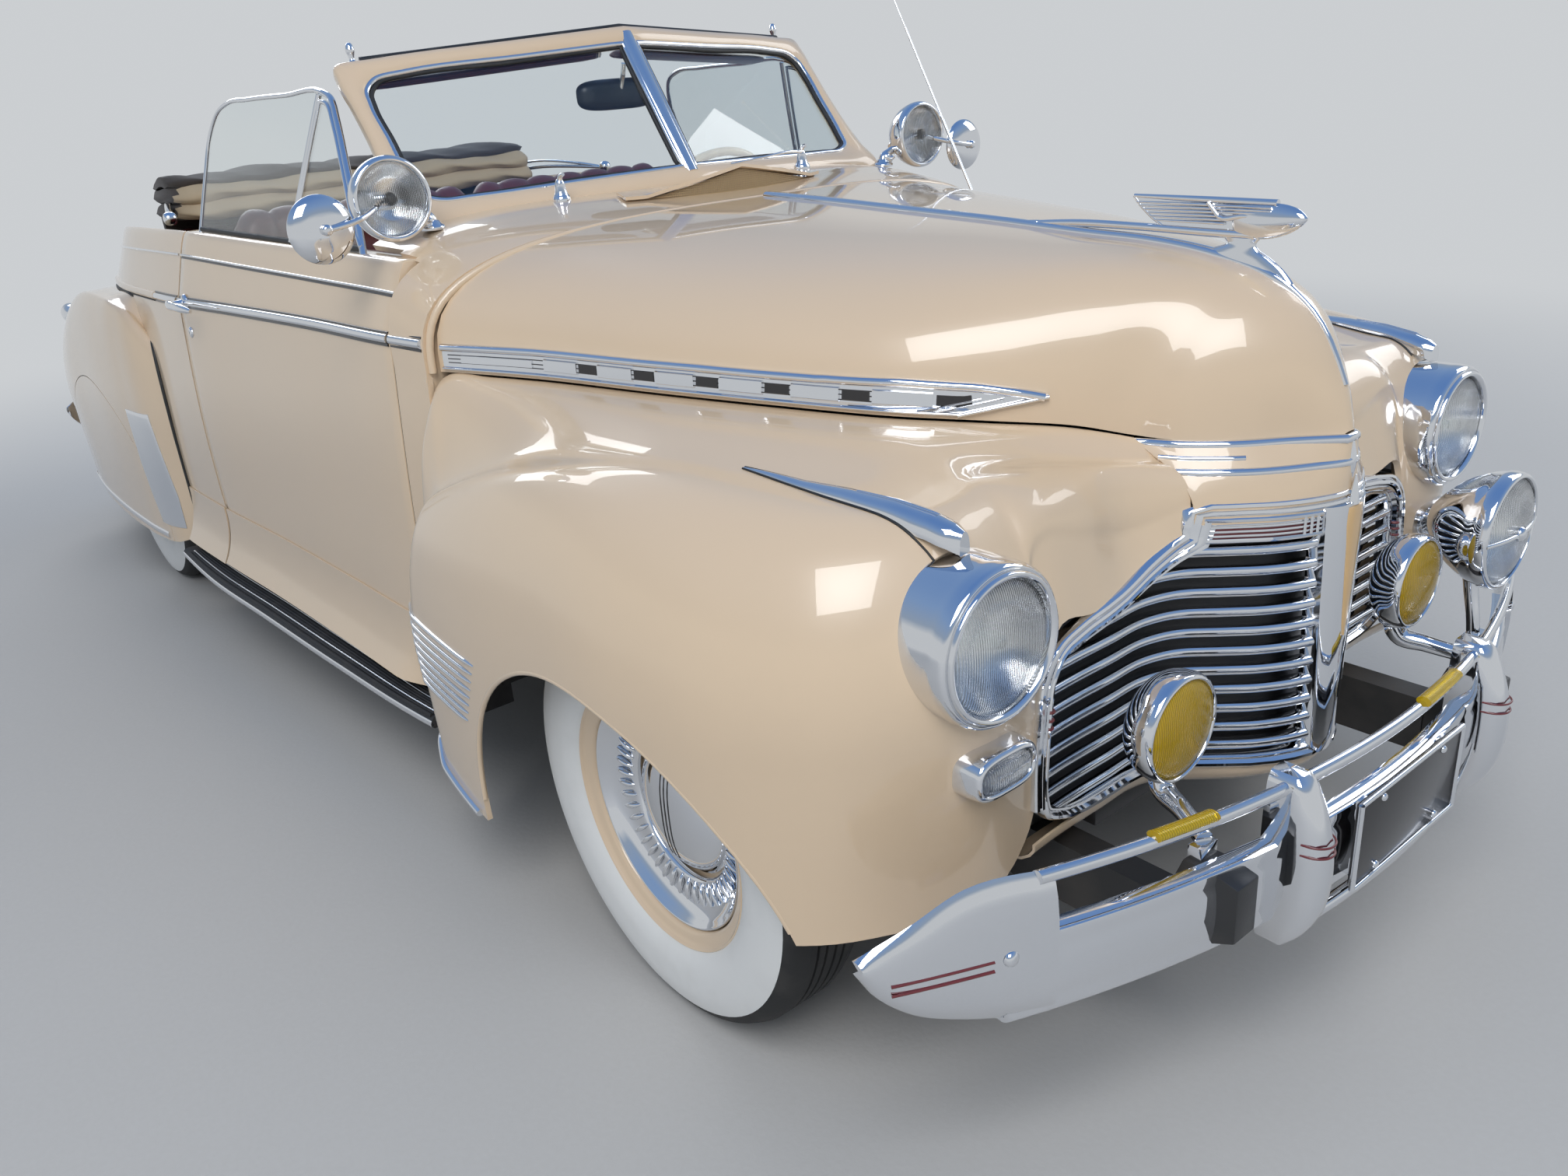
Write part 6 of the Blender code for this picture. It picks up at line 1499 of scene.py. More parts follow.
def makeHeadlamps():
    x, s, z = lampValues["head"]
    for name, label, side in sides():
        centre, axis = at(side * x, s, z), (0, 1, 0)
        lensPart, bowl, bulb = lampSet(centre, axis, 1.0)
        rim = [(0.0865, 0.008), (0.0865, 0.000), (0.0885, -0.0065), (0.0925, -0.0100), (0.0965, -0.0095),
            (0.0985, -0.0055), (0.0990, -0.0020), (0.1010, -0.0035), (0.1045, -0.0010), (0.1075, 0.010),
            (0.1078, 0.030), (0.1072, 0.095), (0.1040, 0.095), (0.1040, 0.012), (0.095, 0.008)]
        chromePiece(f"headlampRim{name}", turned(rounded(rim, 4, (0, 11, 12, 13)), centre, axis, 96),
            "chassis", [f"headlamp_{label}"], smooth=40)
        piece(f"headlampLens{name}", lensPart, lens, "chassis", slot="clear_glass", smooth=60)
        piece(f"headlampBowl{name}", bowl, softChrome, "chassis", smooth=60)
        piece(f"headlampBulb{name}", bulb, clear, "chassis", smooth=60)
        cup = [(0.1035, 0.090), (0.085, 0.118), (0.045, 0.138), (0.0, 0.143), (0.0, 0.139),
            (0.043, 0.134), (0.082, 0.114), (0.099, 0.090)]
        piece(f"headlampCup{name}", turned(rounded(cup, 3, (3, 4)), centre, axis, 48), black, "chassis",
            smooth=50)


def superOval(centre, half, height, power, sides, depth):
    # an upright ring between an ellipse and a rectangle
    ring = []
    for a in aroundTurn(sides):
        across, up = (math.copysign(abs(f(a)) ** (2 / power), f(a)) for f in (math.cos, math.sin))
        ring.append((centre[0] + half * across, centre[1] + depth, centre[2] + height * up))
    return ring


def makeParkingLamps():
    for name, side in hands():
        c = at(side * 0.600, -0.530, 0.589)
        pod = [superOval(c, a, b, 3.2, 64, d)
            for a, b, d in ((0.047, 0.022, -0.0265), (0.0505, 0.0255, -0.0295), (0.0545, 0.0300, -0.0275),
            (0.057, 0.0330, -0.016), (0.0585, 0.0350, 0.004), (0.059, 0.0365, 0.030))]
        pod = [[tuple(p) for p in ring] for ring in smoothLine(np.array(pod), 4)]
        inner = [superOval(c, a, b, 3.2, 64, d)
            for a, b, d in ((0.047, 0.022, -0.0265), (0.046, 0.021, -0.018))]
        chromePiece(f"parkingLamp{name}", loft(inner[::-1] + pod), smooth=45)
        glassRings = [superOval(c, 0.046 * k, 0.021 * k, 3.2, 48, d)
            for k, d in ((1.0, -0.022), (0.93, -0.0285), (0.75, -0.032), (0.45, -0.034), (0.1, -0.0348))]
        piece(f"parkingLens{name}", loft(glassRings), lens, "chassis", slot="clear_glass", smooth=60)


def makeFogLamps():
    turn = Vector((0, 1, 0))
    for name, label, side in sides():
        x, s, z = lampValues["fog"]
        centre = at(side * x, s, z)
        lensPart, bowl = lampSet(centre, turn, 0.82, 56)[:2]
        body = [(0.0705, 0.006), (0.0705, -0.001), (0.0730, -0.0045), (0.0765, -0.003), (0.0800, 0.006),
            (0.0800, 0.016), (0.0795, 0.020), (0.0770, 0.031), (0.068, 0.045), (0.050, 0.058),
            (0.026, 0.067), (0.0, 0.070), (0.0, 0.066), (0.050, 0.054), (0.070, 0.036)]
        chromePiece(f"fogLampBody{name}", turned(rounded(body, 4, (0, 11, 12)), centre, turn, 72),
            "chassis", [f"fog_lamp_{label}"], smooth=45)
        piece(f"fogLens{name}", lensPart, amber, "chassis", smooth=60)
        piece(f"fogBowl{name}", bowl, softChrome, "chassis", smooth=60)
        route = ((0.335, -0.600, 0.505), (0.335, -0.601, 0.485), (0.338, -0.610, 0.468),
            (0.352, -0.650, 0.458), (0.374, -0.698, 0.446))
        post = tube([at(side * a, b, c) for a, b, c in route], (0.0135, 0.0165, 0.0170, 0.0145, 0.0130),
            20, 6)
        neck = turned(rounded([(0, 0.0), (0.020, 0.0), (0.024, 0.004), (0.018, 0.012), (0.013, 0.018),
            (0.0, 0.018)], 3, (0, 5)), at(side * x, s + 0.032, z - 0.083), (0, 0, 1), 32)
        foot = block(at(side * 0.380 - 0.018, -0.711, 0.4255), at(side * 0.380 + 0.018, -0.690, 0.446))
        chromePiece(f"fogPost{name}", join([post, neck, foot]), smooth=40, bevel=0.0008)


def makeDrivingLamp():
    centre = at(*lampValues["driving"])
    axis = Vector((0, 1, 0))
    lensPart, bowl = lampSet(centre, axis, 1.06)[:2]
    body = [(0.0915, 0.010), (0.0915, 0.000), (0.0940, -0.0055), (0.0985, -0.004), (0.1020, 0.006),
        (0.1020, 0.018), (0.1000, 0.024), (0.0960, 0.040), (0.0860, 0.062), (0.068, 0.088),
        (0.045, 0.110), (0.022, 0.126), (0.0, 0.131), (0.0, 0.126), (0.060, 0.090), (0.085, 0.055)]
    chromePiece("drivingLampBody", turned(rounded(body, 4, (0, 12, 13)), centre, axis, 96), "chassis",
        ["driving_lamp"], smooth=45)
    piece("drivingLens", lensPart, lens, "chassis", slot="clear_glass", smooth=60)
    piece("drivingBowl", bowl, softChrome, "chassis", smooth=60)
    x, s, z = lampValues["driving"]
    barPath = [at(x + d, s - 0.018 + abs(d) ** 2 * 1.7, z) for d in np.linspace(-0.096, 0.096, 13)]
    cap = turned(rounded([(0, 0.01), (0.010, 0.008), (0.013, 0.0), (0.009, -0.006), (0.0, -0.008)], 3),
        at(x, s - 0.019, z), (0, 1, 0), 24)
    stem = tube([at(0.520, -0.640, 0.545), at(0.520, -0.642, 0.520), at(0.520, -0.645, 0.500),
        at(0.520, -0.655, 0.450), at(0.520, -0.661, 0.400)], (0.018, 0.013, 0.012, 0.011, 0.011), 20, 6)
    chromePiece("drivingStem", join([tube(barPath, 0.0042, 10, 1), cap, stem,
        block(at(0.500, -0.6735, 0.345), at(0.540, -0.650, 0.425))]), smooth=40)


makeRadiator()
makeHeadlamps()
makeParkingLamps()
makeFogLamps()
makeDrivingLamp()
print("lamps made")

bumperValues = {"bend": 0.295, "front": -0.790, "rear": 4.140, "guard": 0.267, "top": 0.43,
    "bottom": 0.30}
# The bumper's tip: distance from the middle, lower height, upper height
tipTable = ((0.640, 0.297, 0.514), (0.745, 0.322, 0.517), (0.810, 0.351, 0.482), (0.850, 0.390, 0.462),
    (0.872, 0.430, 0.450))


def makeBumper(name, face, heading, guardReach, node):
    v = bumperValues
    fineTip = smoothLine(tipTable, 6)

    def faceS(x):
        return face - heading * v["bend"] * x * x

    def sweep(xs, section):
        return loft([[at(x, faceS(x) - heading * d, z) for d, z in section(x)] for x in xs])

    def ribbon(x):
        # the blade is crowned, with a rolled upper and lower edge
        low, top = v["bottom"], v["top"]
        outer = [(0.030, low + 0.002), (0.012, low + 0.001), (0.005, low + 0.005), (0.0030, low + 0.012),
            (0.0045, low + 0.022), (0.0020, low + 0.034)]
        flat = [(0.0005, low + 0.050), (0.0, (low + top) / 2), (0.0005, top - 0.050)]
        upper = [(0.0020, top - 0.034), (0.0045, top - 0.022), (0.0030, top - 0.012),
            (0.005, top - 0.005), (0.012, top - 0.001), (0.030, top - 0.002)]
        back = [(0.030, top - 0.006), (0.014, top - 0.010), (0.010, low + 0.010), (0.030, low + 0.006)]
        return outer + flat + upper + back

    def wing(x):
        low = float(np.interp(x, fineTip[:, 0], fineTip[:, 1]))
        top = float(np.interp(x, fineTip[:, 0], fineTip[:, 2]))
        tall = top - low
        front = [(0.012, low), (0.004, low + tall * 0.05), (-0.0005, low + tall * 0.16),
            (-0.0030, low + tall * 0.3), (-0.0045, low + tall * 0.5), (-0.0030, low + tall * 0.7),
            (-0.0005, low + tall * 0.84), (0.004, top - tall * 0.05), (0.012, top)]
        return front + [(0.014, top - tall * 0.04), (0.004, low + tall * 0.5), (0.014, low + tall * 0.04)]

    def rail(x):
        return [(0.008 + 0.0085 * math.cos(a), 0.510 + 0.0100 * math.sin(a)) for a in aroundTurn(20)]

    parts = [sweep(np.linspace(-0.70, 0.70, 71), ribbon), sweep(np.linspace(-0.66, 0.66, 61), rail)]
    ends = [sweep(fineTip[:, 0], wing)]
    guard = []
    for z, reach, half in smoothLine(((0.263, 0.004, 0.019), (0.280, 0.020, 0.024),
            (0.320, guardReach * 0.8, 0.027), (0.400, guardReach, 0.028),
            (0.460, guardReach * 0.82, 0.0275), (0.500, 0.026, 0.025), (0.520, 0.015, 0.021),
            (0.529, 0.004, 0.014)), 5):
        s = faceS(v["guard"])
        ring = [(-half, 0.035), (-half, 0.0), (-half * 0.96, -reach * 0.45),
            (-half * 0.72, -reach * 0.82), (-half * 0.30, -reach), (half * 0.30, -reach),
            (half * 0.72, -reach * 0.82), (half * 0.96, -reach * 0.45), (half, 0.0), (half, 0.035)]
        guard.append([at(v["guard"] + dx, s - heading * d, z) for dx, d in ring])
    ends.append(loft(guard))
    ends.append(turned(rounded([(0.0, -0.006), (0.006, -0.0055), (0.0105, -0.002), (0.012, 0.003),
        (0.0, 0.004)], 3, (3,)), at(0.700, faceS(0.700) - heading * -0.004, 0.410), (0, -heading, 0), 24))
    for part in ends:
        parts += [part, mirrored(part)]
    parts.append(sweep(np.linspace(-v["guard"], v["guard"], 21),
        lambda x: [(0.010 + 0.010 * math.cos(a), 0.269 + 0.011 * math.sin(a)) for a in aroundTurn(16)]))
    chromePiece(f"{name}Bumper", join(parts), "chassis", [node], smooth=40)
    lines = []
    for side in (1, -1):
        for z in (0.425, 0.441):
            rows = [np.array(at(side * (v["guard"] + dx),
                faceS(v["guard"]) - heading * (-guardReach * k - 0.0003), z))
                for dx, k in ((-0.0265, 0.40), (-0.020, 0.80), (-0.008, 0.985), (0.008, 0.985),
                (0.020, 0.80), (0.0265, 0.40))]
            lines.append(tube(rows, 0.0016, 8, 4))
        for z in (0.398, 0.412):
            rows = [at(side * x, faceS(x) - heading * (-0.0044), z) for x in np.linspace(0.722, 0.842, 9)]
            lines.append(tube(rows, 0.0018, 8, 1))
    piece(f"{name}BumperLines", join(lines), maroonLine, "chassis", smooth=60)
    return faceS


def makeBumpers():
    v = bumperValues
    face = makeBumper("front", v["front"], -1, 0.051, "front_bumper")
    makeBumper("rear", v["rear"], 1, 0.031, "rear_bumper")
    s = v["front"] - 0.013
    plate = loft([[at(x, s + d, z)
        for x, z in ((-0.150, 0.301), (0.150, 0.301), (0.150, 0.438), (-0.150, 0.438))]
        for d in (0.004, 0.012)])
    piece("blankPlate", plate, darkLine, "chassis", bevel=0.0015)
    ring = []
    for x, z in ((-0.1525, 0.2995), (0.1525, 0.2995), (0.1525, 0.4395), (-0.1525, 0.4395)):
        ring.append(at(x, s + 0.003, z))
    bars = [tube([ring[i], ring[(i + 1) % 4]], 0.0042, 12, 1) for i in range(4)]
    bars += [turned(rounded([(0, -0.004), (0.004, -0.0035), (0.0062, -0.0005), (0.0062, 0.003),
        (0, 0.003)], 3, (3,)), at(x, s + 0.002, z), (0, 1, 0), 16) for x in (-0.09, 0.09)
        for z in (0.313, 0.426)]
    for x in (-0.12, 0.12):
        bars.append(block(at(x - 0.01, s + 0.012, 0.305), at(x + 0.01, s + 0.022, 0.43)))
    chromePiece("plateFrame", join(bars), smooth=45)
    ambers = []
    for low, high in ((-0.505, -0.415), (0.040, 0.155)):
        xs = np.linspace(low, high, 12)
        rings = [[at(x, face(x) + 0.008 + 0.011 * math.cos(a) - 0.002, 0.519 + 0.008 * math.sin(a))
            for a in aroundTurn(14)] for x in xs]
        ambers.append(loft(rings))
    piece("railReflectors", join(ambers), amber, "chassis", smooth=50)
    end, top = -0.6605, 0.352
    brackets = []
    for side in (1, -1):
        outline = ((-0.770, 0.330), (-0.770, 0.415), (-0.730, 0.425), (-0.688, 0.425), (end, top),
            (end, top - 0.1), (-0.730, 0.31))
        brackets.append(loft([[at(side * 0.380 + dx, q, z) for q, z in outline]
            for dx in (-0.025, 0.025)]))
        post = block(at(side * 0.267 - 0.012, -0.765, 0.42), at(side * 0.267 + 0.012, -0.750, 0.515))
        brackets.append(post)
        brackets.append(loft([[at(side * x, q, z)
            for q, z in ((face(x) + 0.012 + d, 0.345), (face(x) + 0.012 + d, 0.395),
            (face(x) + 0.026 + d, 0.395), (face(x) + 0.026 + d, 0.345))]
            for x, d in ((0.25, 0.0), (0.38, 0.005), (0.62, 0.0))]))
        rear = ((4.115, 0.33), (4.115, 0.39), (4.07, 0.38), (3.9505, 0.39), (3.9505, 0.29), (4.07, 0.31))
        brackets.append(loft([[at(side * 0.440 + dx, q, z) for q, z in rear] for dx in (-0.025, 0.025)]))
    piece("bumperIrons", join(brackets), black, "chassis", smooth=30, bevel=0.003)


makeBumpers()
print("bumpers made")

shieldKeys = {"bottomMid": (0.0, 0.845), "bottomEnd": (0.602, 0.962), "topMid": (0.0, 1.067, 1.538),
    "topEnd": (0.612, 1.213, 1.500)}


def shieldPoint(u, v, lift=0.0):
    # u runs across the windshield from -1 to 1, v up it from 0 to 1, lift stands out from it
    k = shieldKeys
    midLow = np.array([*k["bottomMid"], cowlHeight(*k["bottomMid"]) + 0.004])
    endLow = np.array([*k["bottomEnd"], cowlHeight(*k["bottomEnd"]) + 0.009])

    def spot(a, b):
        near = midLow + (np.array(k["topMid"]) - midLow) * b
        far = endLow + (np.array(k["topEnd"]) - endLow) * b
        return near + (far - near) * a

    a = abs(u)
    p = spot(a, v)
    n = np.cross(spot(a + 0.01, v) - p, spot(a, v + 0.01) - p)
    n = n / np.linalg.norm(n)
    p = p + (n if n[1] < 0 else -n) * lift
    return np.array(at(math.copysign(p[0], u) if u else 0.0, p[1], p[2]))


# The windshield frame's inner and outer edge, across and up the shield
frameInner = ((0, .085), (.4, .085), (.78, .085), (.885, .092), (.935, .13), (.945, .22), (.945, .5),
    (.944, .72), (.930, .815), (.885, .878), (.79, .898), (.4, .90), (0, .90))
frameOuter = ((0, -.06), (.4, -.06), (.80, -.07), (.97, -.09), (1.085, -.06), (1.040, .12), (1.006, .45),
    (1.0, .74), (1.0, .91), (.988, .995), (.88, 1.006), (.4, 1.012), (0, 1.014))


def aroundBoth(line, steps=6):
    half = smoothLine(line, steps)
    return [tuple(p) for p in half] + [(-p[0], p[1]) for p in half[::-1][1:-1]]


def makeWindshield():
    inner, outer = aroundBoth(frameInner), aroundBoth(frameOuter)
    section = ((0.0, -0.014), (0.0, 0.003), (0.03, 0.009), (0.14, 0.0145), (0.5, 0.0175), (0.86, 0.0145),
        (0.97, 0.009), (1.0, 0.003), (1.0, -0.014))
    rings = [[shieldPoint(o[0] + (i[0] - o[0]) * t, o[1] + (i[1] - o[1]) * t, h) for t, h in section]
        for o, i in zip(outer, inner)]
    creamPiece("windshieldSurround", loft(rings, closed=True), "chassis", ["windshield_frame"], smooth=50)
    bright, rubber = [], []
    for side in (1, -1):
        pane = [(side * max(u, 0.026), v) for u, v in smoothLine(frameInner, 6)]
        pane += [(side * 0.026, v) for v in np.linspace(0.86, 0.12, 9)]
        bright.append(tube([shieldPoint(u, v, 0.0085) for u, v in pane], 0.0060, 10, 1, 0.8, closed=True))
        middle = np.array((side * 0.48, 0.49))
        spots, stretch = [np.array(p) for p in pane], np.array((0.63, 0.42))
        small = [p + (middle - p) / np.linalg.norm((middle - p) * stretch) * 0.009 for p in spots]
        rubber.append(tube([shieldPoint(u, v, 0.003) for u, v in small], 0.0052, 8, 1, closed=True))
        glass = np.array([[shieldPoint(side * u, v, -0.001) for v in np.linspace(0.075, 0.91, 9)]
            for u in np.linspace(0.012, 0.955, 13)])
        piece(f"windshieldPane{'Left' if side > 0 else 'Right'}", shell(glass, 0.005), clear, "chassis",
            ["windshield_glass"] if side > 0 else (), "clear_glass", smooth=40)
    rows = []
    for v in np.linspace(0.045, 0.965, 20):
        rows.append([shieldPoint(0.0, v, h) + np.array((x, 0, 0))
            for x, h in ((-0.016, 0.0), (-0.016, 0.010), (-0.010, 0.0155), (-0.003, 0.0175),
            (0.003, 0.0175), (0.010, 0.0155), (0.016, 0.010), (0.016, 0.0))])
    bright.append(loft(rows))
    chromePiece("windshieldTrim", join(bright), smooth=45)
    piece("windshieldSeal", join(rubber), seal, "chassis", smooth=60)
    strip = [shieldPoint(u, 1.022, -0.004) for u in np.linspace(-0.90, 0.90, 41)]
    pads = [shieldPoint(u, 1.035, -0.030) + np.array((0, 0.0, 0.004))
        for u in np.linspace(-0.89, 0.89, 41)]
    piece("headerSeal", tube(strip, 0.0095, 12, 1), seal, "chassis", smooth=60)
    piece("headerPad", tube(pads, 0.022, 16, 1, 0.7), maroon, "chassis", smooth=60)
    visors = []
    for side in (1, -1):
        ring = []
        for u, grow in ((0.06, 0.55), (0.075, 0.9), (0.11, 1.0), (0.80, 1.0), (0.845, 0.9), (0.86, 0.55)):
            base = shieldPoint(side * u, 0.955, -0.030)
            ring.append([base + np.array((0, 0.055 + 0.052 * grow * math.cos(a),
                -0.012 + 0.010 * grow * math.sin(a))) for a in aroundTurn(20)])
        visors.append(loft(ring))
    visor = piece("sunVisors", join(visors), maroon, "chassis", smooth=60)
    pins = []
    for side in (1, -1):
        pins.append(turned(rounded([(0, 0.046), (0.004, 0.045), (0.008, 0.038), (0.0095, 0.030),
            (0.007, 0.022), (0.006, 0.012), (0.012, 0.006), (0.016, 0.0), (0.016, -0.008), (0, -0.008)],
            3, (8,)), at(side * 0.559, 1.222, 1.500), (0, 0.10, 1), 28))
        pins.append(tube([shieldPoint(side * 0.10, 0.93, -0.016), shieldPoint(side * 0.10, 0.92, -0.036)],
            0.006, 10, 1))
    mirror = [at(0.0, 1.075, 1.470), at(0.0, 1.085, 1.445), at(0.0, 1.098, 1.420)]
    pins.append(tube(mirror, 0.006, 10, 3))
    c = at(0.0, 1.115, 1.408)
    back = [superOval(c, a, b, 3.6, 48, d)
        for a, b, d in ((0.070, 0.014, -0.022), (0.092, 0.024, -0.018), (0.104, 0.031, -0.008),
        (0.106, 0.033, 0.004))]
    piece("mirrorBack", loft(back), black, "chassis", smooth=50)
    face = [superOval(c, a, b, 3.6, 48, d) for a, b, d in ((0.100, 0.028, 0.003), (0.100, 0.028, 0.0055))]
    pins.append(loft(face))
    chromePiece("headerFittings", join(pins), smooth=45)


makeWindshield()
print("windshield made")

# The door window's edge and the vent window's rear edge: station and height
windowLine = ((0.985, 1.150), (1.030, 1.215), (1.100, 1.305), (1.175, 1.400), (1.215, 1.442),
    (1.262, 1.457), (1.45, 1.459), (1.68, 1.459), (1.80, 1.455), (1.865, 1.432), (1.897, 1.385),
    (1.904, 1.30), (1.904, 1.16))
ventLine = ((1.275, 1.452), (1.300, 1.36), (1.325, 1.26), (1.345, 1.165))


def windowX(station, z):
    sill = sideRow(station)[4]
    return sill - bodyValues["ledgeInset"] - 0.006 - doorValues["lean"] * (z - 1.16)


def windowSpot(s, z, out=0.0):
    return np.array(at(windowX(s, z) + out, s, z))


def makeWindows():
    frameLine = smoothLine(windowLine, 5)
    vent = smoothLine(ventLine, 5)
    for name, label, side in sides():
        body = f"door_{label}"
        glassRows = []
        for s in np.linspace(0.990, 1.902, 40):
            upper = float(np.interp(s, frameLine[:, 0],
                frameLine[:, 1])) if s < 1.86 else float(np.interp(s, (1.86, 1.897, 1.902),
                (1.436, 1.388, 1.34)))
            lower = sideRow(s)[5] + bodyValues["ledgeRise"] - 0.012
            glassRows.append([windowSpot(s, z)
                for z in np.linspace(lower, max(upper - 0.002, lower + 0.004), 8)])
        piece(f"doorGlass{name}", sided(shell(np.array(glassRows), 0.0055), side), clear, body,
            [f"door_window_{label}"], "clear_glass", smooth=40)
        outer = [windowSpot(s, z, -0.003) for s, z in frameLine]
        parts = [tube(outer, 0.0072, 12, 1, 0.8)]
        parts.append(tube([windowSpot(s, z, -0.003) for s, z in vent], 0.0080, 12, 1, 0.8))
        ventFrame = [(0.997, 1.170), (1.040, 1.213), (1.110, 1.303), (1.185, 1.396), (1.222, 1.432),
            (1.262, 1.440), (1.284, 1.36), (1.309, 1.262), (1.330, 1.172)]
        parts.append(tube([windowSpot(s, z, 0.001) for s, z in smoothLine(ventFrame, 4, (5,))], 0.0050,
            10, 1))
        parts.append(tube([windowSpot(1.255, 1.205, 0.004), windowSpot(1.262, 1.205, -0.020),
            windowSpot(1.285, 1.203, -0.026)], 0.0042, 10, 4))
        chromePiece(f"windowFrame{name}", sided(join(parts), side), body, smooth=50)
        inner = [windowSpot(s, z, -0.003) + np.array((-0.001, 0, 0))
            for s, z in [(0.995, 1.166), (1.3, 1.166), (1.6, 1.170), (1.9, 1.175)]]
        piece(f"windowWelt{name}", sided(tube(inner, 0.0070, 10, 6), side), seal, body, smooth=50)


makeWindows()
print("windows made")

seatValues = {"channel": 0.088, "puff": 0.011, "fill": 0.75, "cap": 0.02}


def cushion(name, outline, low, high, cadNodes=(), pleats=(0.0, 1.0)):
    # a padded form drawn across the car: sewn channels are held, and cloth pressure swells what lies between
    v = seatValues
    loop = smoothLine(list(outline) + [outline[0]], 10)
    around = evenly(loop, max(40, int(np.linalg.norm(np.diff(loop, axis=0), axis=1).sum() / 0.013)))[:-1]
    count = max(2, round((high - low) / v["channel"]))
    per = 8
    middle = around.mean(axis=0)
    rings, seams = [], []
    total = count * per
    for i in range(total + 1):
        t = i / total
        x = low + (high - low) * t
        edge = min(t, 1 - t) * (high - low)
        shrink = 1.0 - 0.10 * max(0.0, 1 - edge / 0.05) ** 2
        phase = abs(math.sin(math.pi * i / per))
        ring = []
        for k, p in enumerate(around):
            q = middle + (p - middle) * shrink
            share = k / len(around)
            inside = pleats[0] <= share <= pleats[1]
            n = np.array(around[(k + 1) % len(around)]) - np.array(around[k - 1])
            n = np.array((n[1], -n[0])) / max(np.linalg.norm(n), 1e-9)
            if np.dot(n, p - middle) < 0:
                n = -n
            if inside:
                q = q + n * v["puff"] * (phase**0.6 - 0.55)
            ring.append(at(x, q[0], q[1]))
            seams.append(i % per == 0 and inside or not inside or i in (0, total))
        rings.append(ring)
    points, faces = loft(rings)
    obj = bpy.data.objects.new(name, meshOf(name, (points, faces)))
    bpy.context.scene.collection.objects.link(obj)
    swellCloth(obj, [Vector(p) for p, held in zip(points, seams) if held])
    obj.data.materials.append(maroon)
    obj.data.shade_smooth()
    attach(obj, "chassis")
    if cadNodes:
        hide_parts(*cadNodes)


def swellCloth(obj, held):
    # cloth pressure between the held seams, its movement capped
    known = KDTree(len(held))
    for i, p in enumerate(held):
        known.insert(p, i)
    known.balance()
    rest = [vert.co.copy() for vert in obj.data.vertices]
    group = obj.vertex_groups.new(name="held")
    group.add([i for i, p in enumerate(rest) if known.find(p)[2] < 1e-4], 1.0, "REPLACE")
    step = obj.modifiers.new("Padding", "CLOTH")
    settings = step.settings
    settings.quality = 4
    settings.effector_weights.gravity = 0.0
    settings.use_pressure, settings.uniform_pressure_force = True, 4.0
    settings.tension_stiffness = settings.compression_stiffness = 12.0
    settings.bending_stiffness = 0.4
    settings.shrink_min = -0.012
    settings.vertex_group_mass = "held"
    step.collision_settings.use_collision = False
    step.point_cache.frame_start, step.point_cache.frame_end = 1, 14
    scene = bpy.context.scene
    for number in range(1, 15):
        scene.frame_set(number)
    plain(obj)
    scene.frame_set(1)
    for vert, before in zip(obj.data.vertices, rest):
        move = vert.co - before
        if move.length > seatValues["cap"]:
            vert.co = before + move * (seatValues["cap"] / move.length)


def makeSeats():
    base = ((1.350, 0.500), (1.332, 0.600), (1.350, 0.652), (1.410, 0.672), (1.620, 0.668),
        (1.840, 0.640), (1.880, 0.600), (1.900, 0.500))
    back = ((1.850, 0.560), (1.862, 0.700), (1.884, 0.900), (1.904, 1.090), (1.927, 1.180),
        (1.966, 1.197), (2.002, 1.160), (2.014, 1.00), (2.000, 0.760), (1.975, 0.560))
    cushion("frontSeatCushion", base, -0.650, 0.650, ["front_seat"], (0.14, 0.60))
    for label, low, high in (("Left", 0.006, 0.650), ("Right", -0.650, -0.006)):
        cushion(f"frontSeatBack{label}", back, low, high, (), (0.0, 0.46))
    boards = [block(at(side * 0.40 - 0.20, 1.38, 0.3305), at(side * 0.40 + 0.20, 1.95, 0.505))
        for side in (1, -1)]
    piece("seatPlinth", join(boards), carpet, "chassis", bevel=0.01)
    base = ((2.390, 0.552), (2.370, 0.700), (2.392, 0.756), (2.450, 0.774), (2.600, 0.768),
        (2.770, 0.742), (2.800, 0.700), (2.805, 0.552))
    back = ((2.780, 0.640), (2.800, 0.780), (2.835, 0.950), (2.862, 1.060), (2.890, 1.098),
        (2.930, 1.104), (2.955, 1.075), (2.965, 0.80), (2.960, 0.640))
    cushion("rearSeatCushion", base, -0.575, 0.575, ["rear_seat"], (0.12, 0.60))
    cushion("rearSeatBack", back, -0.575, 0.575, (), (0.0, 0.50))


makeSeats()
print("seats made")


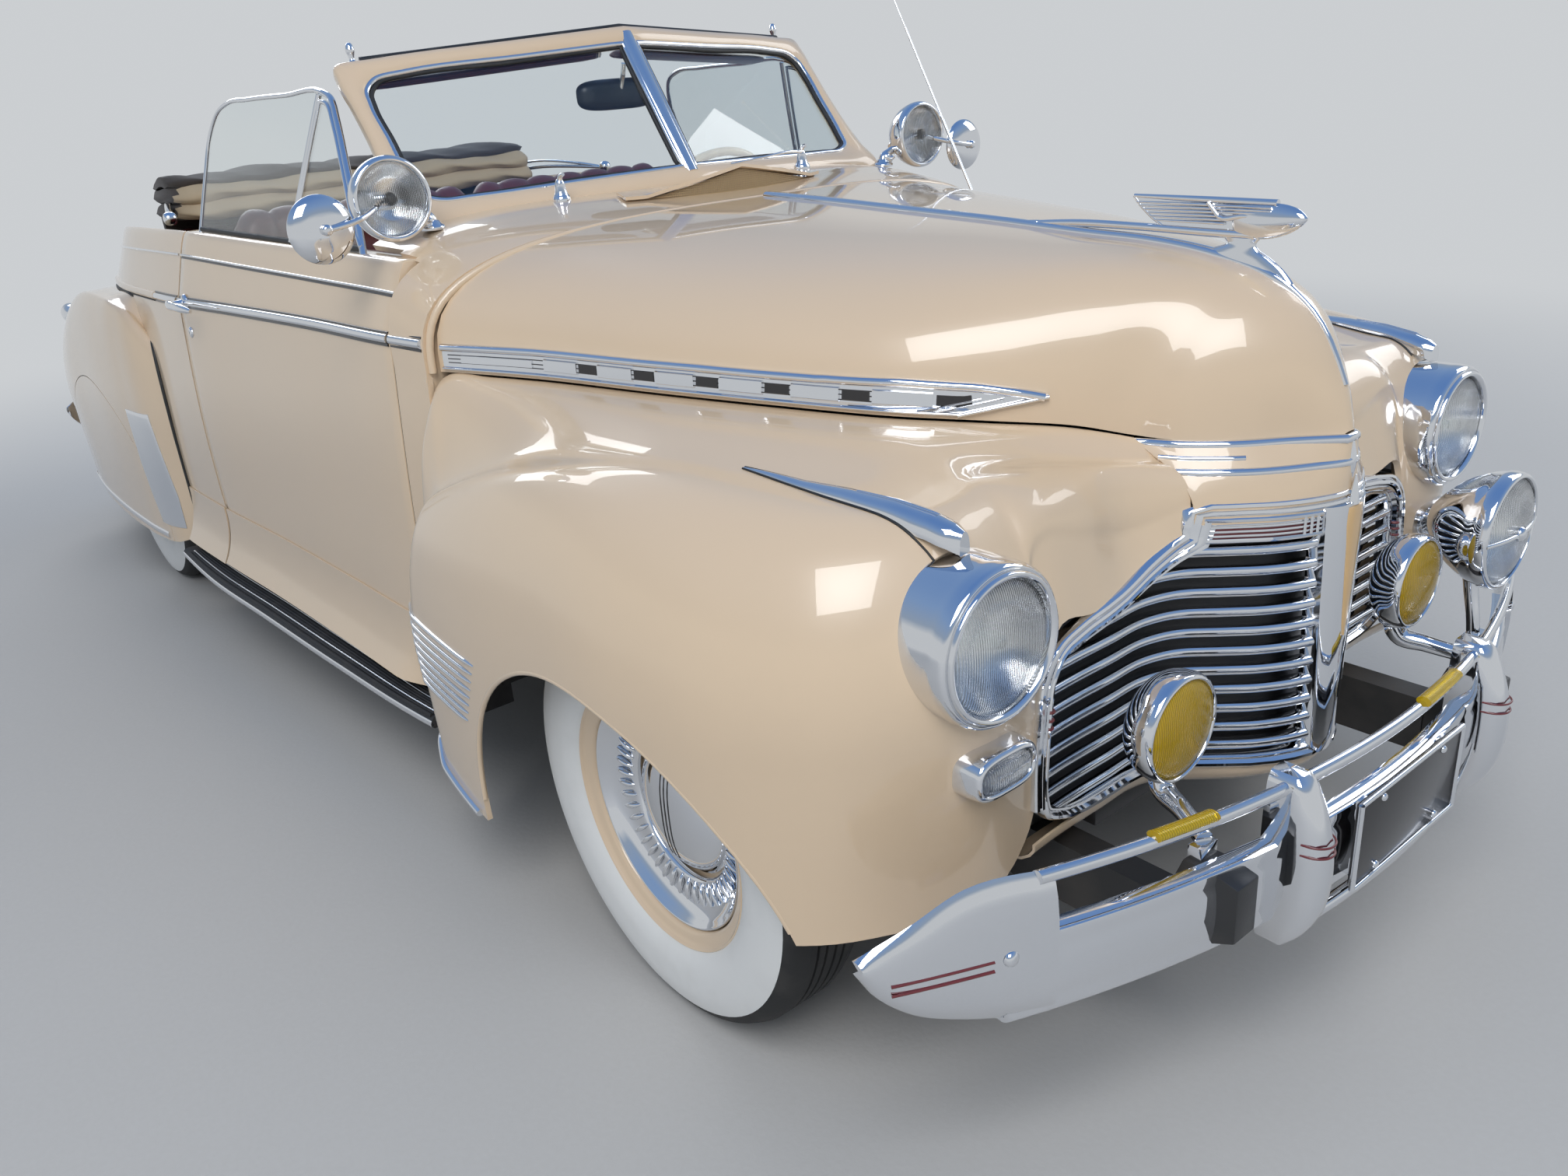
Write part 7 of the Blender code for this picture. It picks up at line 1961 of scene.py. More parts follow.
def makeDash():
    outline = smoothLine(((0.992, 1.150), (1.000, 1.157), (1.030, 1.150), (1.062, 1.137), (1.083, 1.110),
        (1.092, 1.060), (1.090, 1.00), (1.078, 0.958), (1.056, 0.944), (1.040, 0.950), (1.036, 0.99),
        (1.030, 1.06), (1.000, 1.10), (0.992, 1.10)), 4)
    rings = []
    for x, shrink in ((-0.640, 0.94), (-0.630, 0.985), (-0.60, 1.0), (0.0, 1.0), (0.60, 1.0),
            (0.630, 0.985), (0.640, 0.94)):
        rings.append([at(x, 1.04 + (s - 1.04) * shrink, 1.05 + (z - 1.05) * shrink) for s, z in outline])
    creamPiece("dashPanel", loft(rings), "chassis", ["dashboard"], smooth=50)
    bright, dark, knobs = [], [], []
    for z in (1.118, 1.105):
        s = float(np.interp(z, (1.060, 1.110, 1.137), (1.0925, 1.0835, 1.063)))
        bright.append(tube([at(x, s + 0.001, z) for x in np.linspace(-0.60, 0.60, 31)], 0.0028, 8, 1))
    for x, r in ((0.43, 0.058), (0.31, 0.058), (-0.36, 0.038)):
        c, way = at(x, 1.091, 1.040), (0, 1, 0)
        bright.append(turned(rounded([(r, 0.010), (r + 0.007, 0.008), (r + 0.009, 0.001),
            (r + 0.006, -0.004), (r, -0.004), (r - 0.003, 0.006)], 3), c, way, 48))
        dark.append(turned([(0, 0.0055), (r, 0.0055), (r, 0.001), (0, 0.001)], c, way, 48))
        for k in range(9):
            a = math.radians(-120 + 30 * k)
            p = [at(x + q * math.sin(a), 1.0972, 1.040 + q * math.cos(a)) for q in (r * 0.72, r * 0.90)]
            knobs.append(tube(p, 0.0012, 6, 1))
        a = math.radians(-70)
        knobs.append(tube([at(x, 1.0985, 1.040),
            at(x + r * 0.7 * math.sin(a), 1.0985, 1.040 + r * 0.7 * math.cos(a))], 0.0014, 6, 1))
    for x in (-0.20, -0.14, 0.14, 0.20, 0.52):
        knobs.append(turned(rounded([(0, 0.030), (0.009, 0.029), (0.013, 0.022), (0.010, 0.013),
            (0.005, 0.010), (0.005, 0.0), (0, 0.0)], 3), at(x, 1.089, 0.985), (0, 1, 0), 24))
    chromePiece("dashTrim", join(bright), smooth=45)
    piece("gaugeFaces", join(dark), darkLine, "chassis", smooth=30)
    piece("dashKnobs", join(knobs), ivory, "chassis", slot="ivory_plastic", smooth=45)
    unit = tube([at(-0.085, 1.0925, 0.965), at(-0.085, 1.0955, 1.02), at(-0.085, 1.0915, 1.075)], 0.0026,
        8, 3)
    repeat("radioGrille", unit, 18, (0.010, 0, 0), chrome, "chassis", 60)


def makeSteering():
    centre = Vector(at(0.370, 1.335, 1.075))
    axis = Vector((0.0, -0.866, -0.5)).normalized()
    side = Vector((1, 0, 0))
    up = axis.cross(side).normalized()
    rings = []
    for i in range(120):
        a = 2 * math.pi * i / 120
        radial = side * math.cos(a) + up * math.sin(a)
        dent = 0.0011 * max(0.0, math.cos(a * 30)) if abs(math.sin(a)) > 0.25 else 0.0
        ring = []
        for k in range(14):
            b = 2 * math.pi * k / 14
            r = 0.0112 - (dent if math.cos(b) < 0.3 else 0.0)
            ring.append(centre + radial * (0.2035 + r * math.cos(b)) + axis * r * 1.05 * math.sin(b))
        rings.append(ring)
    parts = [loft(rings, closed=True),
        turned(rounded([(0, -0.020), (0.020, -0.019), (0.034, -0.010), (0.038, 0.004), (0.036, 0.022),
        (0.030, 0.030), (0, 0.030)], 3, (5,)), centre, axis, 40)]
    for a in (0.0, math.pi, math.pi * 1.5):
        for shift in (-0.010, 0.010):
            radial = side * math.cos(a) + up * math.sin(a)
            across = axis.cross(radial) * shift
            parts.append(tube([centre + radial * 0.03 + across,
                centre + radial * 0.11 + across * 1.1 + axis * 0.004,
                centre + radial * 0.198 + across * 0.9], (0.0065, 0.0050, 0.0065), 10, 4))
    piece("steeringRim", join(parts), ivory, "steering_wheel", ["steering_wheel"], "ivory_plastic",
        smooth=60)
    spread = np.linspace(-0.15, math.pi + 0.15, 40)
    ring = [centre + (side * math.cos(a) + up * math.sin(a)) * 0.118 - axis * 0.014 for a in spread]
    cap = turned(rounded([(0, -0.031), (0.012, -0.030), (0.021, -0.024), (0.024, -0.018), (0.0, -0.018)],
        3, (3,)), centre, axis, 32)
    posts = [tube([centre + side * k * 0.118 - axis * 0.014, centre + side * k * 0.03 - axis * 0.008],
        0.0032, 8, 1) for k in (1, -1)]
    chromePiece("hornRing", join([tube(ring, 0.0036, 10, 1), cap, *posts]), "steering_wheel", smooth=50)
    column = [tube([centre + axis * 0.032, centre + axis * 0.665], 0.0225, 28, 1),
        turned(rounded([(0.024, 0.033), (0.030, 0.038), (0.030, 0.085), (0.0245, 0.095), (0.02, 0.095),
        (0.02, 0.033)], 3), centre, axis, 32)]
    lever = [centre + axis * 0.06 + side * 0.02, centre + axis * 0.055 - side * 0.10 + up * 0.03,
        centre + axis * 0.03 - side * 0.20 + up * 0.05]
    column.append(tube(lever, 0.0052, 12, 6))
    column.append(turned(rounded([(0, -0.014), (0.010, -0.010), (0.013, 0.0), (0.010, 0.010), (0, 0.014)],
        3), lever[-1], (1, 0, 0), 20))
    piece("steeringColumn", join(column), ivory, "chassis", ["steering_column"], "ivory_plastic",
        smooth=50)


def makeFloor():
    floorTop = 0.3315
    parts = []
    parts.append(loft([[at(x, s, z)
        for s, z in ((0.722, 0.610), (0.960, floorTop), (2.358, floorTop), (2.358, floorTop - 0.012),
        (0.950, floorTop - 0.012), (0.715, 0.600))] for x in (-0.697, 0.697)]))
    hump = []
    for s in (0.75, 0.95, 1.30, 2.0, 2.357):
        top = float(np.interp(s, (0.75, 0.95, 2.357), (0.62, 0.482, 0.478)))
        hump.append([at(x, s, floorTop + (top - floorTop) * z)
            for x, z in ((-0.19, 0.0), (-0.165, 0.35), (-0.14, 0.75), (-0.11, 0.95), (-0.06, 1.0),
            (0.06, 1.0), (0.11, 0.95), (0.14, 0.75), (0.165, 0.35), (0.19, 0.0))])
    parts.append(loft(smoothLine(hump, 4)))
    parts.append(block(at(-0.598, 2.3605, floorTop), at(0.598, 2.366, 0.560)))
    piece("cabinCarpet", join(parts), carpet, "chassis", smooth=40, bevel=0.003)
    pan = [loft([[at(x, s, z) for s, z in ((0.700, 0.62), (0.720, 0.62), (0.960, 0.33), (2.36, 0.33),
        (2.36, 0.55), (3.46, 0.55), (3.93, 0.55), (3.93, 0.53), (2.38, 0.53), (2.38, 0.31), (0.945, 0.31),
        (0.700, 0.60))] for x in (-0.43, 0.43)])]
    pan.append(loft([[at(x, s, z) for s, z in ((2.36, 0.33), (2.36, 0.55), (3.46, 0.55), (3.46, 0.53),
        (2.38, 0.53), (2.38, 0.31))] for x in (-0.60, 0.60)]))
    for side in (1, -1):
        pan.append(loft([[at(side * x, s, z)
            for s, z in ((2.36, 0.31), (2.36, 0.93), (3.36, 0.93), (3.46, 0.84), (3.46, 0.53),
            (2.38, 0.53), (2.38, 0.31))] for x in (0.588, 0.600)]))
        pan.append(loft([[at(side * x, s, z)
            for s, z in ((2.36, 0.31), (2.36, 0.93), (2.38, 0.93), (2.38, 0.31))]
            for x in (0.59, 0.765)]))
        pan.append(loft([[at(side * x, s, z)
            for x, z in ((0.68, 0.262), (sideX(s, 0.30) - 0.004, 0.262), (sideX(s, 0.30) - 0.004, 0.298),
            (sideX(s, 0.30) - 0.056, 0.298), (sideX(s, 0.30) - 0.056, 0.345), (0.68, 0.345))]
            for s in np.linspace(0.71, 2.25, 20)]))
        pan.append(loft([[at(side * x, s, z)
            for s, z in ((0.70, 0.31), (0.70, 0.329), (2.36, 0.329), (2.36, 0.31))]
            for x in (0.43, 0.70)]))
    pan.append(loft([[at(x, s, z) for s, z in ((2.985, 0.54), (2.985, 1.065), (3.005, 1.065),
        (3.005, 0.54))] for x in (-0.598, 0.598)]))
    piece("floorPan", join(pan), black, "chassis", ["floor_pan"], smooth=30)
    rail = []
    for x, s, z in ((0.46, 1.02, 0.43), (0.34, 1.02, 0.43)):
        c = at(x, s, z)
        rings = [superOval(c, 0.030, 0.038, 4, 24, d) for d in (0.0, 0.010)]
        rail.append(loft([[(p[0], p[1] - (p[2] - c[2]) * 0.6, p[2]) for p in ring] for ring in rings]))
        rail.append(tube([at(x, s - 0.005, z - 0.01), at(x, s - 0.05, z - 0.05),
            at(x, s - 0.10, z - 0.13)], 0.008, 10, 4))
    c = at(0.22, 1.00, 0.42)
    rail.append(loft([superOval((c[0], c[1] + k * 0.5, c[2] + k), 0.022, 0.004, 3, 20, 0.0)
        for k in (-0.075, -0.05, 0.0, 0.05, 0.075)]))
    piece("pedals", join(rail), boardRubber, "chassis", smooth=50)


def makeTrimPanels():
    for name, label, side in sides():
        body = f"door_{label}"
        rings = []
        for s in np.linspace(doorValues["front"] + 0.02, doorValues["rear"] - 0.02, 30):
            heights = (0.345, 0.36, 0.45, 0.60, 0.75, 0.90, sideRow(s)[3], 1.055)
            rings.append([at(sideX(s, z) - 0.0475, s, z) for z in heights])
        piece(f"doorPanel{name}", sided(shell(np.array(rings)[::-1], 0.010), side), tanVinyl, body,
            smooth=50)
        rail = []
        for s in np.linspace(doorValues["front"] + 0.012, doorValues["rear"] - 0.012, 30):
            sill, sillZ = sideRow(s)[4:]
            top = sill - bodyValues["ledgeInset"] - 0.030
            rail.append([at(x, s, z) for x, z in ((top + 0.004, sillZ + 0.036),
                (top - 0.016, sillZ + 0.034), (top - 0.030, sillZ + 0.018), (top - 0.034, sillZ - 0.014),
                (sideX(s, 1.05) - 0.060, 1.050), (sideX(s, 1.05) - 0.046, 1.048))])
        piece(f"doorRail{name}", sided(loft(rail), side), maroon, body, smooth=50)
        bits = []
        for z in (0.50, 0.515, 0.53):
            bits.append(tube([at(sideX(s, z) - 0.058, s, z) for s in np.linspace(0.86, 1.93, 16)], 0.0032,
                8, 1))
        bits.append(tube([at(sideX(1.32, 0.88) - 0.058, 1.32, 0.88),
            at(sideX(1.32, 0.88) - 0.082, 1.32, 0.88), at(sideX(1.36, 0.86) - 0.088, 1.375, 0.80)],
            0.0055, 10, 5))
        bits.append(tube([at(sideX(1.60, 0.90) - 0.058, 1.60, 0.90),
            at(sideX(1.60, 0.90) - 0.080, 1.60, 0.90), at(sideX(1.68, 0.90) - 0.084, 1.70, 0.905)],
            0.0055, 10, 5))
        chromePiece(f"doorHandles{name}", sided(join(bits), side), body, smooth=50)
        arm = []
        for s, k in ((1.44, 0.5), (1.47, 0.9), (1.52, 1.0), (1.78, 1.0), (1.83, 0.9), (1.86, 0.5)):
            x0 = sideX(s, 0.76) - 0.055
            arm.append([at(x0 - 0.030 + 0.032 * k * math.cos(a), s, 0.765 + 0.022 * k * math.sin(a))
                for a in aroundTurn(18)])
        armrest = piece(f"armrest{name}", sided(loft(smoothLine(arm, 3)), side), maroon, body, smooth=60)
        rows = []
        for s in np.linspace(2.0, 2.99, 24):
            sill, sillZ = sideRow(s)[4:]
            foot = 0.36 if s < 2.36 else 0.56
            x = min(sideX(s, 0.8) - 0.060, 0.768) if s < 2.36 else 0.603
            rows.append([at(xx, s, z) for xx, z in ((x, foot), (x, 0.70), (x, 0.90),
                (min(x + 0.02, sideX(s, 0.95) - 0.055), 0.96), (sill - 0.062, 1.06),
                (sill - 0.055, sillZ + 0.010), (sill - 0.030, sillZ + 0.038))])
        piece(f"quarterPanel{name}", sided(shell(np.array(rows)[::-1], 0.008), side), tanVinyl, "chassis",
            smooth=40)


def makeTop():
    # folded layers of canvas and lining behind the rear seat, with the irons beside them
    layers = (
        ((2.640, 1.150), (2.622, 1.168), (2.650, 1.196), (2.740, 1.214), (2.880, 1.208), (2.990, 1.180),
        (3.018, 1.160), (2.990, 1.146), (2.800, 1.150)),
        ((2.655, 1.198), (2.640, 1.214), (2.672, 1.238), (2.760, 1.252), (2.880, 1.246), (2.975, 1.218),
        (2.996, 1.200), (2.960, 1.190), (2.800, 1.200)),
        ((2.690, 1.238), (2.680, 1.250), (2.715, 1.268), (2.780, 1.276), (2.880, 1.268), (2.950, 1.246),
        (2.962, 1.234), (2.920, 1.228), (2.800, 1.236)),
    )
    half = 0.60
    for n, outline in enumerate(layers):
        loop = smoothLine(list(outline) + [outline[0]], 6)[:-1]
        rings = []
        for i in range(81):
            t = i / 80
            x = -half + 2 * half * t
            edge = min(t, 1 - t) * 2 * half
            shrink = 1.0 - 0.35 * max(0.0, 1 - edge / 0.05) ** 2
            ring = []
            for k, p in enumerate(loop):
                wave = 0.0045 * math.sin(x * 17 + n * 2.1 + k * 0.12)
                wave += 0.003 * math.sin(x * 41 + n + k * 0.31)
                ring.append(at(x, 2.82 + (p[0] - 2.82) * shrink + wave * 0.6,
                    outline[0][1] + 0.02 + (p[1] - outline[0][1] - 0.02) * shrink + wave))
            rings.append(ring)
        fold = piece(f"topFold{n}", loft(rings), [canvas, liner], "chassis",
            ["folded_top"] if n == 0 else (), "canvas", smooth=60)
        for face in fold.data.polygons:
            if face.center.y < at(0, 2.70, 0)[1] and face.normal.y < 0.2 and n < 2:
                face.material_index = 1
    skirt = loft([[at(x, s, z) for s, z in ((2.986, 1.066), (3.003, 1.066), (3.006, 1.150),
        (2.980, 1.155))] for x in (-0.575, 0.575)])
    piece("topSkirt", skirt, canvas, "chassis", smooth=30)
    irons = []
    for side in (1, -1):
        for lift, width in ((0.0, 0.010), (0.020, 0.008)):
            path = [(0.575, 2.84, 1.170 + lift), (0.63, 2.66, 1.186 + lift),
                (0.672, 2.50, 1.184 + lift * 0.6), (0.706, 2.36, 1.178)]
            irons.append(tube([at(side * a, b, c) for a, b, c in path], width, 12, 6, 0.6))
        irons.append(turned(rounded([(0, 0.016), (0.014, 0.014), (0.018, 0.006), (0.018, -0.006),
            (0.014, -0.014), (0, -0.016)], 3), at(side * 0.706, 2.36, 1.180), (side, 0, 0), 24))
    chromePiece("topIrons", join(irons), smooth=50)


makeDash()
makeSteering()
makeFloor()
makeTrimPanels()
makeTop()
print("cabin made")

hoodGrid = np.array([bothSides(archRow(line)) for line in fineHood])
hoodSurface = Surface((hoodGrid.reshape(-1, 3), gridFaces(*hoodGrid.shape[:2])))
flatRib = [(-0.5, -1.0), (-0.5, 0.55), (-0.42, 1.0), (0.42, 1.0), (0.5, 0.55), (0.5, -1.0)]


def follow(table, place):
    return float(np.interp(place, [p[0] for p in table], [p[1] for p in table]))


def patch(surface, rows, proud=0.003, depth=0.004):
    # a thin plate that lies on a surface; rows hold (station, height) pairs
    grid = []
    for row in rows:
        line = []
        for s, z in row:
            spot, normal = surface.side(s, z)
            line.append(spot + normal * proud)
        grid.append(line)
    grid = np.array(grid)
    if np.cross(grid[1, 1] - grid[0, 0], grid[0, 1] - grid[1, 0])[0] < 0:
        grid = grid[:, ::-1]
    return shell(grid, depth)


def crownAt(station):
    return float(np.interp(station, fineHood[:, 3], fineHood[:, 4]))


ornamentValues = {"stripWidth": 0.019, "thin": 0.009, "feathers": 6}


def makeHoodStrip():
    v = ornamentValues
    spots, widths, heights = [], [], []
    for s in np.linspace(0.594, -0.640, 90):
        z = crownAt(s)
        slope = (crownAt(s + 0.01) - crownAt(s - 0.01)) / 0.02
        spots.append((np.array(at(0, s, z)), np.array((0, -slope, 1.0))))
        widths.append(np.interp(s, (-0.56, -0.53, 0.0, 0.594),
            (v["thin"], 0.019, v["stripWidth"], 0.024)))
        heights.append(np.interp(s, (-0.56, -0.53, -0.1), (0.004, 0.009, 0.008)))
    lower = moulding(spots, widths, heights)
    bar = tube([at(0, -0.095, 1.167), at(0, -0.19, 1.1705), at(0, -0.30, 1.1690), at(0, -0.42, 1.1655),
        at(0, -0.490, 1.1640)], (0.0045, 0.0055, 0.0055, 0.006, 0.006), 16, 6, 1.1)
    collar = tube([at(0, -0.085, 1.164), at(0, -0.105, 1.165)], 0.0082, 16, 1)
    chromePiece("hoodStrip", join([lower, bar, collar]), "hood", smooth=50)


def sliceRing(station, low, high, half, top=0.4):
    # an upright lens shape across the car
    mid = (low + high) / 2
    reach = (high - low) / 2
    turns = aroundTurn(20)
    return [at(half * math.sin(t) * (1 - top * max(math.cos(t), 0) ** 2), station,
        mid + reach * math.cos(t)) for t in turns]


def makeOrnament():
    # a plain fin swept back from a pointed nose, on a foot that runs into the hood strip
    nose = [(-0.5640, 1.1870, 1.1895, 0.0015), (-0.5600, 1.1820, 1.1945, 0.0050),
        (-0.5500, 1.1740, 1.2015, 0.0085), (-0.5350, 1.1665, 1.2060, 0.0110),
            (-0.5150, 1.1610, 1.2082, 0.0118), (-0.4950, 1.1590, 1.2088, 0.0110),
            (-0.4750, 1.1595, 1.2090, 0.0090), (-0.4600, 1.1625, 1.2085, 0.0060),
            (-0.4540, 1.1700, 1.2040, 0.0030)]
    fine = smoothLine(nose, 3)
    parts = [loft([sliceRing(*row) for row in fine])]
    plate = [(-0.500, 1.2082), (-0.288, 1.2135), (-0.300, 1.2000), (-0.340, 1.1712), (-0.420, 1.1660),
        (-0.500, 1.1650)]
    parts.append(loft([[at(x, s, z) for s, z in plate] for x in (-0.0022, 0.0022)]))
    edge = [(-0.520, 1.2078), (-0.40, 1.2108), (-0.288, 1.2137), (-0.300, 1.2000), (-0.342, 1.1705)]
    parts.append(tube([at(0, s, z) for s, z in edge[:3]], (0.0055, 0.0048, 0.0030), 12, 4))
    parts.append(tube([at(0, s, z) for s, z in edge[2:]], 0.0030, 10, 2))
    for side in (1, -1):
        for k in range(ornamentValues["feathers"]):
            z = 1.2052 - 0.0050 * k
            tail = -0.293 - 0.0065 * k
            front = -0.420 if k < 1 else -0.428 - 0.003 * k
            parts.append(tube([at(side * 0.0024, tail, z),
                at(side * 0.0034, (tail + front) / 2, z - 0.0006), at(side * 0.0044, front, z - 0.0012)],
                (0.0011, 0.0019, 0.0023), 8, 3))
        step = [(-0.4150, 1.2070), (-0.4260, 1.1960), (-0.4340, 1.1880), (-0.4700, 1.1900),
            (-0.5050, 1.1905)]
        parts.append(tube([at(side * 0.0050, s, z) for s, z in step],
            (0.0030, 0.0032, 0.0036, 0.0042, 0.0040), 10, 4))
        for k in range(3):
            z = 1.2030 - 0.0042 * k
            parts.append(tube([at(side * 0.0058, -0.424 - 0.004 * k, z), at(side * 0.0068, -0.47, z),
                at(side * 0.0078, -0.515, z - 0.001)], (0.0012, 0.0018, 0.0014), 8, 3))
    rings = []
    for height, front, rear, half in ((1.1600, -0.498, -0.440, 0.0055), (1.1530, -0.492, -0.446, 0.0060),
            (1.1450, -0.496, -0.425, 0.0075), (1.1360, -0.512, -0.400, 0.0090),
            (1.1240, -0.530, -0.395, 0.0100), (1.1100, -0.545, -0.42, 0.0105),
            (1.1020, -0.552, -0.45, 0.0105)):
        ring = []
        for a in aroundTurn(28):
            s = (front + rear) / 2 + (rear - front) / 2 * math.cos(a)
            ring.append(at(half * math.sin(a), s, height))
        rings.append(ring)
    parts.append(loft([[tuple(p) for p in ring] for ring in smoothLine(np.array(rings), 4)]))
    chromePiece("hoodOrnament", join(parts), "hood", smooth=45)


spearValues = {"rear": 0.652, "corner": -0.263, "tip": -0.352, "blocks": 6}
# The spear's upper edge: station and height
spearTop = ((-0.352, 0.976), (-0.328, 0.984), (-0.280, 0.995), (-0.200, 1.004), (0.112, 1.013),
    (0.450, 1.0185), (0.652, 1.019))


def spearLow(station):
    seam = float(np.interp(station, fineHood[:, 1], fineHood[:, 2])) + 0.006
    if station < spearValues["corner"]:
        t = (spearValues["corner"] - station) / (spearValues["corner"] - spearValues["tip"])
        return 0.951 + (0.974 - 0.951) * t
    return seam


def spearAt(station, share):
    # a height on the spear, by its share from the lower edge to the upper one
    low = spearLow(station)
    return low + (follow(spearTop, station) - low) * share


def makeSpears():
    v = spearValues
    stations = np.linspace(v["rear"], v["tip"] + 0.004, 80)
    plate = patch(hoodSurface, [[(s, spearAt(s, t)) for t in np.linspace(0, 1, 6)] for s in stations],
        0.0030, 0.0045)
    top = moulding([hoodSurface.side(s, follow(spearTop, s) - 0.004) for s in stations], 0.0135, 0.0095)
    low = moulding([hoodSurface.side(s, spearLow(s) + 0.002) for s in stations if s > v["corner"] - 0.01],
        0.0060, 0.0075)
    cut = [hoodSurface.side(v["corner"] + (v["tip"] - v["corner"]) * t, 0.953 + 0.021 * t)
        for t in np.linspace(-0.02, 1.0, 12)]
    slant = moulding(cut, 0.0075, 0.0085)
    parts = [top, low, slant]
    for shift in (0.022, 0.040):
        line = [hoodSurface.side(v["corner"] + shift * 1.3 + (v["tip"] - v["corner"]) * t * 0.84,
            0.957 + 0.0165 * t + shift * 0.02) for t in np.linspace(0.05, 1.0, 10)]
        parts.append(moulding(line, 0.0040, 0.0070))
    dark, bright = [], []
    for share in (0.30, 0.46, 0.62):
        line = [hoodSurface.side(s, spearAt(s, share)) for s in stations if -0.225 < s < 0.645]
        dark.append(moulding(line, 0.0026, 0.0038))
    for k in range(v["blocks"]):
        middle = 0.392 - 0.118 * k
        line = [hoodSurface.side(s, spearAt(s, 0.46))
            for s in np.linspace(middle + 0.036, middle - 0.036, 9)]
        bright.append(moulding(line, 0.0215, 0.0066, section=flatRib))
        slot = [hoodSurface.side(s, spearAt(s, 0.46))
            for s in np.linspace(middle - 0.040, middle - 0.078, 6)]
        dark.append(moulding(slot, 0.0165, 0.0046, section=flatRib))
    blank = [hoodSurface.side(s, spearAt(s, 0.46)) for s in np.linspace(0.610, 0.455, 12)]
    bright.append(moulding(blank, 0.0150, 0.0052, section=flatRib))
    for name, side in hands():
        chromePiece(f"spearPlate{name}", sided(plate, side), "hood", smooth=40)
        chromePiece(f"spearRails{name}", sided(join(parts), side), "hood", smooth=50)
        chromePiece(f"spearBlocks{name}", sided(join(bright), side), "hood", smooth=35)
        piece(f"spearLines{name}", sided(join(dark), side), darkLine, "hood", smooth=50)


def beltSpots(start, end, down=0.0, count=30):
    spots = []
    for s in np.linspace(start, end, count):
        z = sideRow(s)[3] - 0.006 - down
        spots.append((np.array(at(sideX(s, z), s, z)), np.array((1.0, 0.0, 0.16))))
    return spots


def sillSpots(start, end, drop=0.0, count=30):
    spots = []
    for s in np.linspace(start, end, count):
        belt, beltZ, sill, sillZ = sideRow(s)[2:]
        share = drop / (sillZ - beltZ)
        spots.append((np.array(at(sill + (belt - sill) * share, s, sillZ - drop)),
            np.array((1.0, 0.0, 0.45))))
    return spots


def makeSideStrips():
    runs = (("cowl", 0.676, 0.7885, "chassis"), ("door", 0.7985, 1.9725, "door"),
        ("quarter", 1.9895, 2.20, "chassis"))
    for name, label, side in sides():
        for run, start, end, body in runs:
            where = f"door_{label}" if body == "door" else "chassis"
            parts = [moulding(beltSpots(start, end), 0.0175, 0.0080)]
            if run != "cowl":
                parts.append(moulding(sillSpots(start + 0.002, end if run == "door" else 2.93, 0.010),
                    0.0062, 0.0042))
            chromePiece(f"{run}Strip{name}", sided(join(parts), side), where, smooth=50)
            dark = [moulding(beltSpots(start, end, 0.0115), 0.0062, 0.0030),
                moulding(beltSpots(start, end, -0.0110), 0.0040, 0.0026)]
            if run == "door":
                dark.append(moulding(sillSpots(start + 0.002, end, 0.0155), 0.0045, 0.0022))
            piece(f"{run}StripShade{name}", sided(join(dark), side), darkLine, where, smooth=50)
        welt = moulding(beltSpots(2.205, 3.20, 0.0, 46), 0.020, 0.0080)
        piece(f"quarterWelt{name}", sided(welt, side), cream, "chassis", smooth=50)
        piece(f"quarterShade{name}", sided(moulding(beltSpots(2.205, 3.20, 0.0125, 46), 0.0045, 0.0032),
            side), seal, "chassis", smooth=50)


def makeFenderOrnaments():
    keys = [(0.0, 0.0016, 0.0020), (0.10, 0.0050, 0.0050), (0.30, 0.0110, 0.0100), (0.55, 0.0175, 0.0150),
        (0.75, 0.0215, 0.0190), (0.88, 0.0225, 0.0225), (0.96, 0.0190, 0.0225), (1.0, 0.0110, 0.0180)]
    fine = smoothLine(keys, 6)
    rings, ribs, spine, under = [], [], [], []
    start, end = np.array((0.664, -0.142)), np.array((0.606, -0.495))
    heading = (end - start) / np.linalg.norm(end - start)
    across = np.array((-heading[1], heading[0]))

    def ground(x, s):
        return frontSurface.top(x, s)[0][2]

    topLine = ((0.0, 0.9235), (0.25, 0.9245), (0.50, 0.9255), (0.72, 0.9225), (0.88, 0.9150),
        (0.96, 0.9070), (1.0, 0.8990))
    for t, half, high in fine:
        centre = start + (end - start) * t
        top = max(follow(topLine, t), ground(*centre) + high * (1 - t))
        ring = []
        for a in np.linspace(0, math.pi, 17):
            p = centre + across * half * math.cos(a)
            floorZ = max(ground(*p) - 0.003, top - 0.027)
            z = floorZ + (top - floorZ) * math.sin(a) ** 0.72
            ring.append(at(p[0], p[1], z))
        for a in (0.25, -0.25):
            p = centre + across * half * a * -3.2
            ring.append(at(p[0], p[1], max(ground(*p) - 0.004, top - 0.029)))
        rings.append(ring)
        if 0.52 < t < 0.90:
            spine.append((t, centre, top, half))
    for k in (-2, -1, 0, 1, 2):
        line = []
        for t, centre, z, half in spine:
            p = centre + across * half * 0.17 * k
            line.append(at(p[0], p[1], z - 0.0105 * (0.17 * k) ** 2 * 3 + 0.0002))
        ribs.append(tube(line, 0.0013, 8, 1))
    for side in (1, -1):
        line = []
        for t, half, high in fine[:-9]:
            centre = start + (end - start) * t
            p = centre + across * (half + 0.001) * side
            line.append(at(p[0], p[1], ground(*p) + 0.0008))
        under.append(tube(line, 0.0016, 8, 1))
    for name, side in hands():
        chromePiece(f"fenderOrnament{name}", sided(join([loft(rings), *ribs]), side), smooth=50)
        piece(f"ornamentPad{name}", sided(join(under), side), seal, "chassis", smooth=50)


